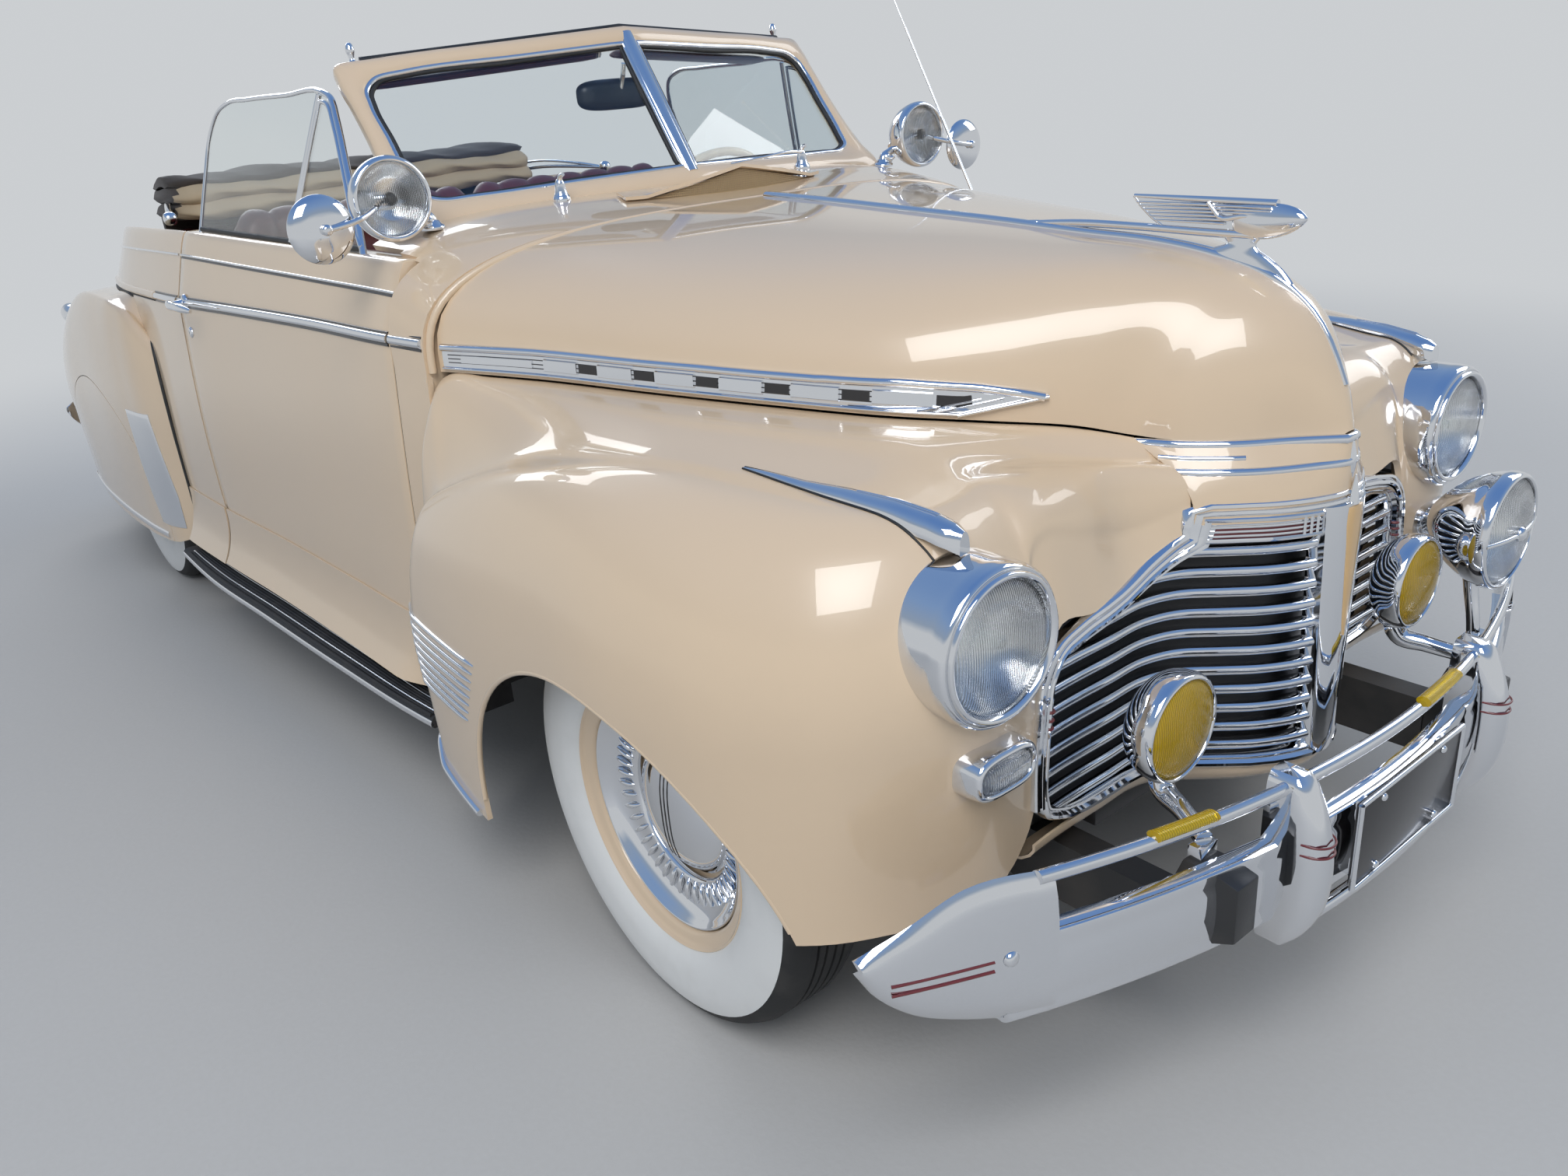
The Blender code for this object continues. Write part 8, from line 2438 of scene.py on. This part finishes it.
def makeSpeedRibs():
    parts = []
    for k in range(8):
        z = 0.563 - 0.0187 * k
        front = 0.311 + 0.0107 * k
        spots = [frontSurface.side(s, z) for s in np.linspace(0.655, front, 26)]
        widths = [0.0078] * 23 + [0.0070, 0.0052, 0.0026]
        heights = [0.0052] * 23 + [0.0046, 0.0034, 0.0018]
        parts.append(moulding(spots, widths, heights))
    guard = []
    inner, outer = ((0.318, 2.350), (0.415, 2.352), (0.564, 2.379), (0.668, 2.394)), ((0.318, 2.478),
        (0.40, 2.510), (0.499, 2.534), (0.668, 2.547))
    for z in np.linspace(0.320, 0.660, 26):
        a, b = follow(inner, z), follow(outer, z)
        guard.append([(a + (b - a) * t, z) for t in np.linspace(0, 1, 12)])
    plate = patch(rearSurface, [row[::-1] for row in guard], 0.0022, 0.0032)
    for name, side in hands():
        chromePiece(f"speedRibs{name}", sided(join(parts), side), smooth=50)
        chromePiece(f"stoneGuard{name}", sided(plate, side), smooth=40, bevel=0.0008)


def makeFenderWelts():
    fine = rearFenderKeys()
    front = [at(*p) for p in fenderLine(fine[0])[::-1]]
    back = []
    for line in fine[1:-6]:
        s, z = line[1][1], line[1][2]
        back.append(at(sideX(s, z) + 0.001, s, z + 0.002))
    path = [(p[0] + 0.002, p[1] - 0.003, p[2]) for p in front] + back
    welt = tube(evenly(path, 90), 0.0052, 10, 1)
    for name, side in hands():
        piece(f"rearWelt{name}", sided(welt, side), seal, "chassis", smooth=60)


flareValues = {"top": 0.455, "front": 0.800, "run": 0.10, "reach": 0.040, "proud": 0.0006,
    "depth": 0.0035}


def flareSheet(stations, foot):
    # the sheet that curves outwards over the running board, from nothing at the door's front
    v = flareValues
    grid = []
    for s in stations:
        reach = v["reach"] * min(1.0, (s - v["front"]) / v["run"]) ** 0.8
        row = []
        for t in np.linspace(0, 1, 12):
            z = v["top"] - (v["top"] - foot) * t
            row.append(at(sideX(s, z) + v["proud"] + reach * t**2.4, s, z))
        grid.append(row)
    return shell(np.array(grid), v["depth"])


def makeDoorFittings():
    for name, label, side in sides():
        s0, s1, z = 1.775, 1.940, 1.004
        x = sideX(s1, z)
        grip = tube([at(x + 0.034, s1 + 0.006, z + 0.001), at(x + 0.040, s1 - 0.02, z + 0.003),
            at(x + 0.041, s1 - 0.07, z + 0.003), at(x + 0.036, s0 + 0.030, z + 0.001),
            at(x + 0.030, s0, z - 0.002)], (0.0080, 0.0100, 0.0090, 0.0075, 0.0040), 18, 6, 1.25)
        stem = tube([at(x - 0.004, s1 - 0.012, z), at(x + 0.018, s1 - 0.012, z + 0.001),
            at(x + 0.040, s1 - 0.014, z + 0.003)], (0.0135, 0.0090, 0.0080), 18, 5)
        plate = turned(rounded([(0, 0.010), (0.015, 0.009), (0.0215, 0.004), (0.023, 0.0), (0, 0.0)], 3,
            (3,)), at(x - 0.002, s1 - 0.012, z), (1, 0, 0), 32)
        lockX = sideX(1.925, 0.932)
        lock = turned(rounded([(0, 0.0055), (0.0085, 0.0052), (0.0125, 0.0035), (0.0140, 0.0), (0, 0.0)],
            3, (3,)), at(lockX - 0.001, 1.925, 0.932), (1, 0, 0), 32)
        slotPart = block(at(lockX + 0.0035, 1.9240, 0.9270), at(lockX + 0.0050, 1.9260, 0.9370))
        chromePiece(f"doorHandle{name}", sided(join([grip, stem, plate, lock]), side), f"door_{label}",
            smooth=45)
        piece(f"keySlot{name}", sided(slotPart, side), darkLine, f"door_{label}", bevel=0.0003)
        flare = flareSheet(np.linspace(0.800, 1.972, 40), 0.306)
        creamPiece(f"doorFlare{name}", sided(flare, side), f"door_{label}", smooth=50)
        rear = flareSheet(np.linspace(1.988, 2.296, 12), 0.301)
        creamPiece(f"quarterFlare{name}", sided(rear, side), smooth=50)


ventValues = {"front": 0.672, "hinge": 0.800, "half": 0.255, "peak": 1.2535, "edge": 1.2035,
    "wires": 0.0042}


def ventTop(x):
    v = ventValues
    return v["edge"] + (v["peak"] - v["edge"]) * (1 - min(abs(x) / v["half"], 1.0)) ** 0.92


def makeCowlVent():
    v = ventValues
    grid = []
    for t in np.linspace(0, 1, 14):
        row = []
        for u in np.linspace(-1, 1, 61):
            x = u * v["half"] * (1.0 - 0.10 * t)
            front = v["front"] + 0.055 * abs(u) ** 2.0
            s = front + (v["hinge"] - front) * t
            rest = cowlHeight(x, s) + 0.0035
            z = rest + max(ventTop(x) - rest, 0.0) * (1 - t) ** 1.15
            row.append(at(x, s, z))
        grid.append(row)
    creamPiece("cowlVentLid", shell(np.array(grid), [0.0065 - 0.003 * k / 13 for k in range(14)]),
        smooth=45)
    back = []
    for u in np.linspace(-0.97, 0.97, 49):
        x = u * v["half"]
        s = v["front"] + 0.055 * abs(u) ** 2.0 + 0.010
        low, high = cowlHeight(x, s) + 0.0005, ventTop(x) - 0.0045
        high = max(high, low + 0.0008)
        back.append([at(x, s, low), at(x, s + 0.001, (low + high) / 2), at(x, s, high)])
    piece("ventScreen", shell(np.array(back), 0.0012), liner, "chassis", smooth=0)
    wires = []
    for x in np.arange(-v["half"] * 0.95, v["half"] * 0.95, v["wires"]):
        s = v["front"] + 0.055 * (abs(x) / v["half"]) ** 2.0 + 0.0075
        low, high = cowlHeight(x, s), ventTop(x) - 0.004
        if high - low > 0.004:
            wires.append(tube([at(x, s, low), at(x, s, high)], 0.00075, 5, 1))
    for k in range(1, 14):
        z0 = 1.1995 + 0.0042 * k
        line = [at(x, v["front"] + 0.055 * (abs(x) / v["half"]) ** 2.0 + 0.0075, z0)
            for x in np.linspace(-v["half"], v["half"], 61) if ventTop(x) - 0.004 > z0]
        if len(line) > 2:
            wires.append(tube(line, 0.00075, 5, 1))
    piece("ventWires", join(wires), meshTan, "chassis", smooth=60)


def makeWipers():
    for name, side in hands():
        c = (0.322, 0.862)
        base = cowlHeight(*c)
        profile = rounded([(0, -0.004), (0.0190, -0.004), (0.0185, 0.004), (0.0140, 0.012),
            (0.0105, 0.026), (0.0085, 0.036), (0.0050, 0.041), (0, 0.042)], 4, (1,))
        tower = turned(profile, at(side * c[0], c[1], base), (0, 0, 1), 32)
        nozzle = tube([at(side * c[0], c[1], base + 0.030), at(side * c[0], c[1] - 0.006, base + 0.046),
            at(side * c[0], c[1] - 0.018, base + 0.050)], (0.0060, 0.0050, 0.0035), 12, 4)
        parts = [tower, nozzle]
        if side > 0:
            parts.append(tube([at(0.322, 0.858, base + 0.036), at(0.27, 0.847, base + 0.040),
                at(0.20, 0.843, base + 0.036), at(0.10, 0.842, base + 0.030)],
                (0.0042, 0.0034, 0.0026, 0.0020), 10, 5))
        chromePiece(f"wiperTower{name}", join(parts), smooth=45)


def makeSpotlights():
    for name, label, side in sides():
        centre, axis = at(side * 0.689, 0.834, 1.262), Vector((0, 1, 0))
        profile = [(0.0660, 0.004), (0.0660, -0.004), (0.0690, -0.0085), (0.0735, -0.0065),
            (0.0765, 0.001), (0.0765, 0.010), (0.0755, 0.016), (0.0745, 0.020), (0.070, 0.034),
            (0.060, 0.052), (0.044, 0.069), (0.024, 0.079), (0.0, 0.082), (0.0, 0.078), (0.040, 0.066),
            (0.064, 0.036)]
        body = turned(rounded(profile, 4, (0, 12, 13)), centre, axis, 80)
        lensPart, bowl = lampSet(centre, axis, 0.765)[:2]
        cap = turned(rounded([(0.0, -0.005), (0.008, -0.004), (0.0125, 0.002), (0.0125, 0.010),
            (0.0, 0.012)], 3, (4,)), centre, axis, 24)
        base = cowlHeight(0.60, 0.88)
        stem = tube([at(side * 0.600, 0.880, base + 0.0015), at(side * 0.602, 0.880, base + 0.022),
            at(side * 0.625, 0.880, 1.228), at(side * 0.662, 0.876, 1.248),
            at(side * 0.688, 0.868, 1.258)], (0.0125, 0.0105, 0.0095, 0.0095, 0.0090), 16, 6)
        foot = turned(rounded([(0, 0.0), (0.024, 0.0), (0.0245, 0.006), (0.018, 0.011), (0.0135, 0.017),
            (0, 0.017)], 3, (1, 5)), at(side * 0.600, 0.880, base + 0.0006), (0, 0, 1), 32)
        clamps = [turned(rounded([(0, -0.008), (0.0145, -0.008), (0.0165, -0.004), (0.0165, 0.004),
            (0.0145, 0.008), (0, 0.008)], 2, (1, 4)), p, d, 24)
            for p, d in ((at(side * 0.612, 0.880, 1.214), (side * 0.6, 0, 0.8)),
            (at(side * 0.640, 0.879, 1.237), (side * 0.85, -0.05, 0.5)),
            (at(side * 0.700, 0.864, 1.2605), (1, 0, 0)))]
        screws = [turned(rounded([(0, 0.0), (0.0045, 0.0), (0.0045, 0.012), (0.003, 0.015), (0, 0.015)],
            2, (1, 4)), p, (0, -1, 0.1), 10)
            for p in (at(side * 0.612, 0.868, 1.214), at(side * 0.640, 0.867, 1.237))]
        arm = tube([at(side * 0.700, 0.858, 1.262), at(side * 0.735, 0.822, 1.247),
            at(side * 0.780, 0.799, 1.234), at(side * 0.832, 0.7965, 1.226)],
            (0.0066, 0.0058, 0.0054, 0.0054), 14, 6)
        ball = turned(rounded([(0, -0.010), (0.0075, -0.008), (0.0100, 0.0), (0.0075, 0.006), (0, 0.008)],
            4), at(side * 0.832, 0.7985, 1.226), (0, 1, 0), 24)
        shellLine = rounded([(0.0, -0.0225), (0.022, -0.0210), (0.045, -0.0150), (0.0575, -0.0060),
            (0.0605, 0.0005), (0.0590, 0.0040), (0.0555, 0.0046), (0.0, 0.0030)], 4, (6,))
        mirror = turned(shellLine, at(side * 0.832, 0.826, 1.226), (0, 1, 0), 64)
        face = turned(rounded([(0.0, 0.0056), (0.030, 0.0054), (0.0555, 0.0048), (0.0555, 0.0030),
            (0.0, 0.0030)], 2, (2, 3)), at(side * 0.832, 0.826, 1.226), (0, 1, 0), 64)
        chromePiece(f"spotlightBody{name}", join([body, stem, foot, *clamps, *screws, arm, ball, mirror]),
            "chassis", [f"spotlight_{label}"], smooth=45)
        piece(f"spotlightLens{name}", lensPart, lens, "chassis", slot="clear_glass", smooth=60)
        piece(f"spotlightBowl{name}", bowl, softChrome, "chassis", smooth=60)
        piece(f"spotlightCap{name}", cap, darkLine, "chassis", smooth=50)
        piece(f"mirrorGlass{name}", face, softChrome, "chassis", smooth=60)


def makeAntenna():
    base, tip = np.array(at(0.767, 0.705, 1.060)), np.array(at(0.735, 1.030, 1.700))
    parts = []
    for low, high, radius in ((0.0, 0.36, 0.0036), (0.34, 0.70, 0.0027), (0.68, 0.995, 0.0018)):
        parts.append(tube([base + (tip - base) * low, base + (tip - base) * high], radius, 12, 1))
    parts.append(turned(rounded([(0, -0.006), (0.0035, -0.0045), (0.0052, 0.0), (0.0035, 0.0045),
        (0, 0.006)], 4), tuple(base + (tip - base) * 0.9915), tuple(tip - base), 16))
    parts.append(turned(rounded([(0, -0.020), (0.0075, -0.018), (0.0095, 0.0), (0.0075, 0.022),
        (0.0045, 0.034), (0, 0.034)], 3, (5,)), tuple(base), tuple(tip - base), 24))
    edge = sideX(0.705, 0.97)
    for z in (0.992, 1.045):
        parts.append(tube([at(edge - 0.002, 0.705, z), at(edge + 0.006, 0.705, z),
            at(0.767, 0.703, z + 0.004)], (0.0085, 0.0060, 0.0055), 14, 4))
    parts.append(tube([at(0.7685, 0.690, 0.978), at(0.7675, 0.697, 1.02), at(0.767, 0.704, 1.058)],
        (0.0062, 0.0068, 0.0072), 16, 4))
    chromePiece("antennaMast", join(parts), "chassis", ["antenna"], smooth=50)


def makeTailLights():
    for name, label, side in sides():
        c = (0.790, 3.680, 0.815)
        rings = []
        for d, k in ((-0.062, 0.10), (-0.055, 0.36), (-0.035, 0.66), (-0.005, 0.90), (0.030, 1.0),
                (0.046, 1.0), (0.052, 0.95)):
            rings.append([at(c[0] + 0.034 * k * math.cos(a) - 0.010 * (1 - k), c[1] + d,
                c[2] + 0.036 * k * math.sin(a) - 0.004 * (1 - k)) for a in aroundTurn(32)])
        pod = loft([[tuple(p) for p in ring] for ring in smoothLine(np.array(rings), 4)])
        glassRings = [[at(c[0] + 0.029 * k * math.cos(a), c[1] + d, c[2] + 0.031 * k * math.sin(a))
            for a in aroundTurn(32)] for d, k in ((0.050, 1.0), (0.057, 0.96), (0.062, 0.80),
            (0.0645, 0.5), (0.0652, 0.15))]
        neck = tube([at(0.745, 3.690, 0.795), at(0.765, 3.688, 0.803), at(0.785, 3.684, 0.812)],
            (0.021, 0.018, 0.016), 16, 4)
        chromePiece(f"tailLightPod{name}", sided(join([pod, neck]), side), "chassis",
            [f"taillight_{label}"], smooth=50)
        piece(f"tailLens{name}", sided(loft(glassRings), side), ruby, "chassis", smooth=60)


def deckHeight(x, station):
    row = deckRow(station)
    return float(np.interp(abs(x), [p[0] for p in row][::-1], [p[2] for p in row][::-1]))


def makeTrunkFittings():
    slope = (deckHeight(0, 3.83) - deckHeight(0, 3.78)) / 0.05
    z = deckHeight(0, 3.805)
    out = Vector((0, -slope, 1)).normalized()
    centre = Vector(at(0, 3.805, z))
    base = turned(rounded([(0, 0.012), (0.014, 0.010), (0.022, 0.004), (0.024, 0.0), (0, 0.0)], 3, (3,)),
        tuple(centre), tuple(out), 32)
    bar = tube([centre + out * 0.024 + Vector((d, 0, 0)) for d in (-0.075, -0.05, 0.0, 0.05, 0.075)],
        (0.0045, 0.0085, 0.0105, 0.0085, 0.0045), 16, 5)
    stem = tube([centre, centre + out * 0.024], (0.012, 0.009), 16, 1)
    hinges = []
    for x in (-0.40, 0.40):
        line = []
        for s in np.linspace(3.066, 3.205, 12):
            lift = (deckHeight(x, s + 0.01) - deckHeight(x, s - 0.01)) / 0.02
            line.append((np.array(at(x, s, deckHeight(x, s))), np.array((0, -lift, 1.0))))
        hinges.append(moulding(line, [0.030 - 0.016 * t for t in np.linspace(0, 1, 12)], 0.007))
    chromePiece("trunkHandle", join([base, bar, stem]), "trunk_lid", smooth=45)
    creamPiece("trunkHinges", join(hinges), "trunk_lid", smooth=50)


makeHoodStrip()
makeOrnament()
makeSpears()
makeSideStrips()
makeFenderOrnaments()
makeSpeedRibs()
makeFenderWelts()
makeDoorFittings()
makeCowlVent()
makeWipers()
makeSpotlights()
makeAntenna()
makeTailLights()
makeTrunkFittings()
print("trim, lamps and fittings made")

engineGrey = Finish("engineGrey", (0.16, 0.18, 0.18), 0.42, 0.1, Coat_Weight=0.3, Coat_Roughness=0.3)
oily = engineGrey.steps(engineGrey.noise(9.0, 6.0), (0.42, 0.0), (0.72, 1.0))
engineGrey.put("Base Color", engineGrey.mix(oily * 0.6, engineGrey.colour, (0.05, 0.04, 0.03)))
engineGrey.put("Roughness", oily * 0.25 + 0.36)
engineGrey.bump(engineGrey.noise(200.0, 3.0), 0.12, 0.002)


def softBlock(low, high):
    return block(at(*low), at(*high))


def makeEngine():
    grey = engineGrey.material
    bottom = join([softBlock((-0.165, -0.215, 0.470), (0.165, 0.495, 0.835)),
        softBlock((-0.135, -0.150, 0.330), (0.135, 0.450, 0.470)),
        softBlock((-0.180, -0.205, 0.462), (0.180, 0.485, 0.480))])
    piece("engineBlock", bottom, grey, "chassis", ["engine"], bevel=0.010)
    bell = [(0.470, 0.215, 0.115), (0.520, 0.210, 0.115), (0.600, 0.140, 0.085), (0.680, 0.098, 0.070),
        (0.930, 0.092, 0.062), (0.955, 0.060, 0.045)]
    rings = []
    for s, half, reach in smoothLine(bell, 4):
        rings.append([at(half * 0.5 * math.cos(a), s, 0.400 + reach * math.sin(a))
            for a in aroundTurn(32)])
    lugs = [sided(softBlock((0.130, -0.105, 0.372), (0.327, -0.065, 0.452)), side) for side in (1, -1)]
    piece("gearbox", join([loft(rings), *lugs]), cast, "chassis", bevel=0.003)
    head = softBlock((-0.125, -0.205, 0.835), (0.125, 0.485, 0.872))
    piece("cylinderHead", head, grey, "chassis", bevel=0.006)
    cover = []
    for s, k in ((-0.190, 0.80), (-0.182, 0.95), (-0.165, 1.0), (0.445, 1.0), (0.462, 0.95),
            (0.470, 0.80)):
        cover.append([at(x * k, s, 0.872 + (z - 0.872) * k)
            for x, z in ((-0.085, 0.872), (-0.085, 0.925), (-0.078, 0.942), (-0.060, 0.952),
            (0.060, 0.952), (0.078, 0.942), (0.085, 0.925), (0.085, 0.872))])
    nuts = [turned(rounded([(0, 0), (0.012, 0), (0.012, 0.010), (0.006, 0.013), (0.005, 0.020),
        (0, 0.021)], 2, (1,)), at(0, s, 0.950), (0, 0, 1), 16) for s in (-0.06, 0.34)]
    piece("valveCover", join([loft(cover), *nuts]), grey, "chassis", bevel=0.003)
    pipes = []
    for s in (-0.10, 0.14, 0.38):
        pipes.append(tube([at(0.115, s, 0.800), at(0.190, s, 0.800),
            at(0.225, s + (0.14 - s) * 0.3, 0.790)], 0.024, 16, 5))
    pipes.append(tube([at(0.228, -0.12, 0.790), at(0.232, 0.14, 0.795), at(0.228, 0.40, 0.790)],
        (0.024, 0.028, 0.024), 16, 6))
    outlets = [tube([at(-0.150, s, 0.770), at(-0.195, s, 0.765),
        at(-0.222, s + (0.20 - s) * 0.25, 0.745)], 0.021, 16, 5) for s in (-0.13, 0.02, 0.24, 0.40)]
    outlets.append(tube([at(-0.225, -0.14, 0.748), at(-0.228, 0.15, 0.745), at(-0.225, 0.30, 0.735),
        at(-0.218, 0.36, 0.66), at(-0.205, 0.32, 0.56), at(-0.205, 0.30, 0.505)], 0.026, 16, 6))
    piece("manifolds", join(pipes + outlets), cast, "chassis", smooth=60)
    carb = [turned(rounded([(0, 0), (0.030, 0), (0.030, 0.010), (0.022, 0.020), (0.022, 0.060),
        (0.034, 0.072), (0.034, 0.092), (0.028, 0.100), (0, 0.100)], 3, (1, 7)), at(0.225, 0.14, 0.815),
        (0, 0, 1), 32)]
    carb.append(softBlock((0.245, 0.115, 0.845), (0.285, 0.165, 0.890)))
    piece("carburettor", join(carb), cast, "chassis", bevel=0.002)
    cleaner = [(0, 0.0), (0.070, 0.0), (0.092, 0.006), (0.098, 0.020), (0.098, 0.060), (0.104, 0.066),
        (0.104, 0.074), (0.090, 0.086), (0.040, 0.094), (0.014, 0.095), (0.012, 0.104), (0, 0.104)]
    piece("airCleaner", turned(rounded(cleaner, 4, (1, 10)), at(0.225, 0.14, 0.915), (0, 0, 1), 56),
        black, "chassis", smooth=45)
    plug = turned(rounded([(0, 0), (0.011, 0), (0.011, 0.010), (0.007, 0.013), (0.0065, 0.040),
        (0.003, 0.044), (0, 0.046)], 2, (1, 2)), at(0.123, -0.14, 0.855), (0.95, 0, 0.3), 12)
    repeat("sparkPlugs", plug, 6, (0, 0.1125, 0), ivory, "chassis", 40)
    bolt = turned(rounded([(0, 0), (0.009, 0), (0.009, 0.006), (0.006, 0.008), (0, 0.0085)], 1, (1, 2)),
        at(-0.106, -0.18, 0.8715), (0, 0, 1), 6)
    repeat("headBolts", bolt, 8, (0, 0.090, 0), cast, "chassis", 30, (2, (0.212, 0, 0)))
    panBolt = turned([(0, 0), (0.0075, 0), (0.0075, 0.006), (0, 0.006)], at(-0.1725, -0.17, 0.4795),
        (0, 0, 1), 6)
    repeat("sumpBolts", panBolt, 9, (0, 0.078, 0), cast, "chassis", 30, (2, (0.345, 0, 0)))
    middle = at(0, -0.272, 0.655)
    blades = [turned(rounded([(0, -0.010), (0.040, -0.010), (0.050, 0.0), (0.040, 0.018), (0, 0.052)], 3),
        middle, (0, 1, 0), 32)]
    for k in range(4):
        a = math.pi / 2 * k + 0.35
        out = Vector((math.cos(a), 0, math.sin(a)))
        way = Vector((-math.sin(a), 0, math.cos(a)))
        rows = []
        for r, wide, pitch in ((0.035, 0.022, 0.6), (0.07, 0.040, 0.55), (0.12, 0.052, 0.45),
                (0.165, 0.048, 0.36), (0.180, 0.030, 0.34)):
            centre = Vector(middle) + out * r
            tilt = way * math.cos(pitch) + Vector((0, 1, 0)) * math.sin(pitch)
            face = tilt.cross(out)
            rows.append([centre + tilt * wide * u + face * w
                for u, w in ((-1, 0.0012), (0, 0.0030), (1, 0.0012), (1, -0.0012), (0, 0.0006),
                (-1, -0.0012))])
        blades.append(loft(rows))
    piece("coolingFan", join(blades), black, "chassis", smooth=40)
    belt = []
    for k in range(40):
        t = 2 * math.pi * k / 40
        top = math.cos(t) > 0
        r = 0.052 if top else 0.078
        belt.append(at(r * math.sin(t), -0.236, (0.655 if top else 0.520) + r * math.cos(t)))
    pulleys = [turned(rounded([(0, 0.0), (r, 0.0), (r, 0.004), (r - 0.012, 0.008), (r - 0.012, 0.010),
        (r, 0.014), (r, 0.018), (0, 0.018)], 1), at(0, -0.245, z), (0, 1, 0), 40)
        for r, z in ((0.058, 0.655), (0.084, 0.520))]
    piece("pulleys", join(pulleys), black, "chassis", smooth=40)
    piece("fanBelt", tube(belt, 0.006, 8, 1, closed=True), seal, "chassis", smooth=50)
    hoses = [tube([at(0, -0.175, 0.885), at(0, -0.235, 0.895), at(0, -0.290, 0.868),
        at(0, -0.345, 0.838)], 0.023, 20, 6),
        tube([at(0.13, -0.20, 0.560), at(0.175, -0.245, 0.530), at(0.19, -0.300, 0.470),
        at(0.19, -0.345, 0.445)], 0.021, 20, 6)]
    piece("coolantPipes", join(hoses), seal, "chassis", smooth=60)
    starter = [turned(rounded([(0, 0), (0.045, 0), (0.050, 0.005), (0.050, 0.200), (0.045, 0.206),
        (0, 0.206)], 2, (1, 4)), at(0.205, 0.22, 0.560), (0, 1, 0), 32),
        turned(rounded([(0, 0), (0.052, 0), (0.058, 0.006), (0.058, 0.170), (0.050, 0.180), (0, 0.180)],
        2, (1, 4)), at(-0.235, -0.20, 0.640), (0, 1, 0), 32)]
    piece("startingMotor", join(starter), black, "chassis", smooth=45)


def barAlong(path, width, height, steps=4):
    fine = smoothLine(path, steps)
    rings = []
    for i, p in enumerate(fine):
        heading = fine[min(i + 1, len(fine) - 1)] - fine[max(i - 1, 0)]
        flat = np.array((heading[0], heading[1], 0.0)) / math.hypot(heading[0], heading[1])
        across = np.array((-flat[1], flat[0], 0.0))
        rings.append([at(*(p + across * u * width / 2 + np.array((0, 0, v * height / 2))))
            for u, v in ((-1, -1), (1, -1), (1, 1), (-1, 1))])
    return loft(rings)


def makeChassis():
    for label in ("frame_rail_left", "frame_rail_right", "cross_member_middle", "cross_member_rear",
            "front_suspension", "rear_axle", "knuckle_left", "knuckle_right", "fuel_tank"):
        obj = nodes[label]
        for slot in obj.material_slots:
            slot.material = black if label != "fuel_tank" else cast
    springs = []
    for side in (1, -1):
        turns = np.linspace(0, 2 * math.pi * 5.5, 110)
        springs.append(tube([at(side * 0.50 + 0.058 * math.cos(a), 0.058 * math.sin(a),
            0.270 + 0.160 * a / turns[-1]) for a in turns], 0.0075, 8, 1))
    piece("coilSprings", join(springs), black, "chassis", smooth=60)
    leaves = []
    for side in (1, -1):
        for k in range(5):
            reach = 0.50 - 0.085 * k
            line = []
            for t in np.linspace(-1, 1, 13):
                s = 2.95 + reach * t
                z = float(np.interp(s, (2.42, 2.68, 2.95, 3.22, 3.50),
                    (0.310, 0.290, 0.285, 0.295, 0.345)))
                line.append((side * 0.575, s, z - 0.019 - 0.0065 * k))
            leaves.append(barAlong(line, 0.045, 0.0058, 2))
        for s in (2.90, 3.0):
            for x in (-0.030, 0.030):
                leaves.append(tube([at(side * 0.575 + x, s, 0.236), at(side * 0.575 + x, s, 0.385)],
                    0.006, 10, 1))
        leaves.append(softBlock((side * 0.575 - 0.040, 2.885, 0.238),
            (side * 0.575 + 0.040, 3.015, 0.246)))
    piece("leafSprings", join(leaves), black, "chassis", bevel=0.0008)
    route = ((-0.2005, 0.30, 0.50), (-0.23, 0.30, 0.50), (-0.27, 0.33, 0.44), (-0.28, 0.45, 0.30),
        (-0.28, 0.65, 0.205), (-0.28, 1.20, 0.198), (-0.28, 2.25, 0.198), (-0.30, 2.60, 0.215),
        (-0.34, 3.00, 0.225), (-0.36, 3.30, 0.225), (-0.37, 3.70, 0.225), (-0.37, 4.06, 0.245))
    pipe = tube([at(*p) for p in route], 0.0215, 20, 5)
    muffler = turned(rounded([(0, 0), (0.045, 0.0), (0.060, 0.010), (0.062, 0.02), (0.062, 0.48),
        (0.060, 0.490), (0.045, 0.50), (0, 0.50)], 3, (1, 6)), at(-0.28, 1.35, 0.205), (0, 1, 0), 40)
    hangers = [block(at(-0.290, 1.01, 0.198), at(-0.270, 1.03, 0.226)),
        block(at(-0.380, 3.885, 0.235), at(-0.360, 3.905, 0.328))]
    piece("exhaustPipe", join([pipe, muffler, *hangers]), cast, "chassis", ["exhaust"], smooth=45)
    tip = turned(rounded([(0.0195, 0.0), (0.0245, -0.002), (0.0250, -0.100), (0.0235, -0.102),
        (0.0195, -0.100)], 3, (3, 4)), at(-0.37, 4.070, 0.2455), (0, 1, 0), 40)
    chromePiece("exhaustTip", tip, smooth=45)


makeEngine()
makeChassis()
print("engine and chassis made")
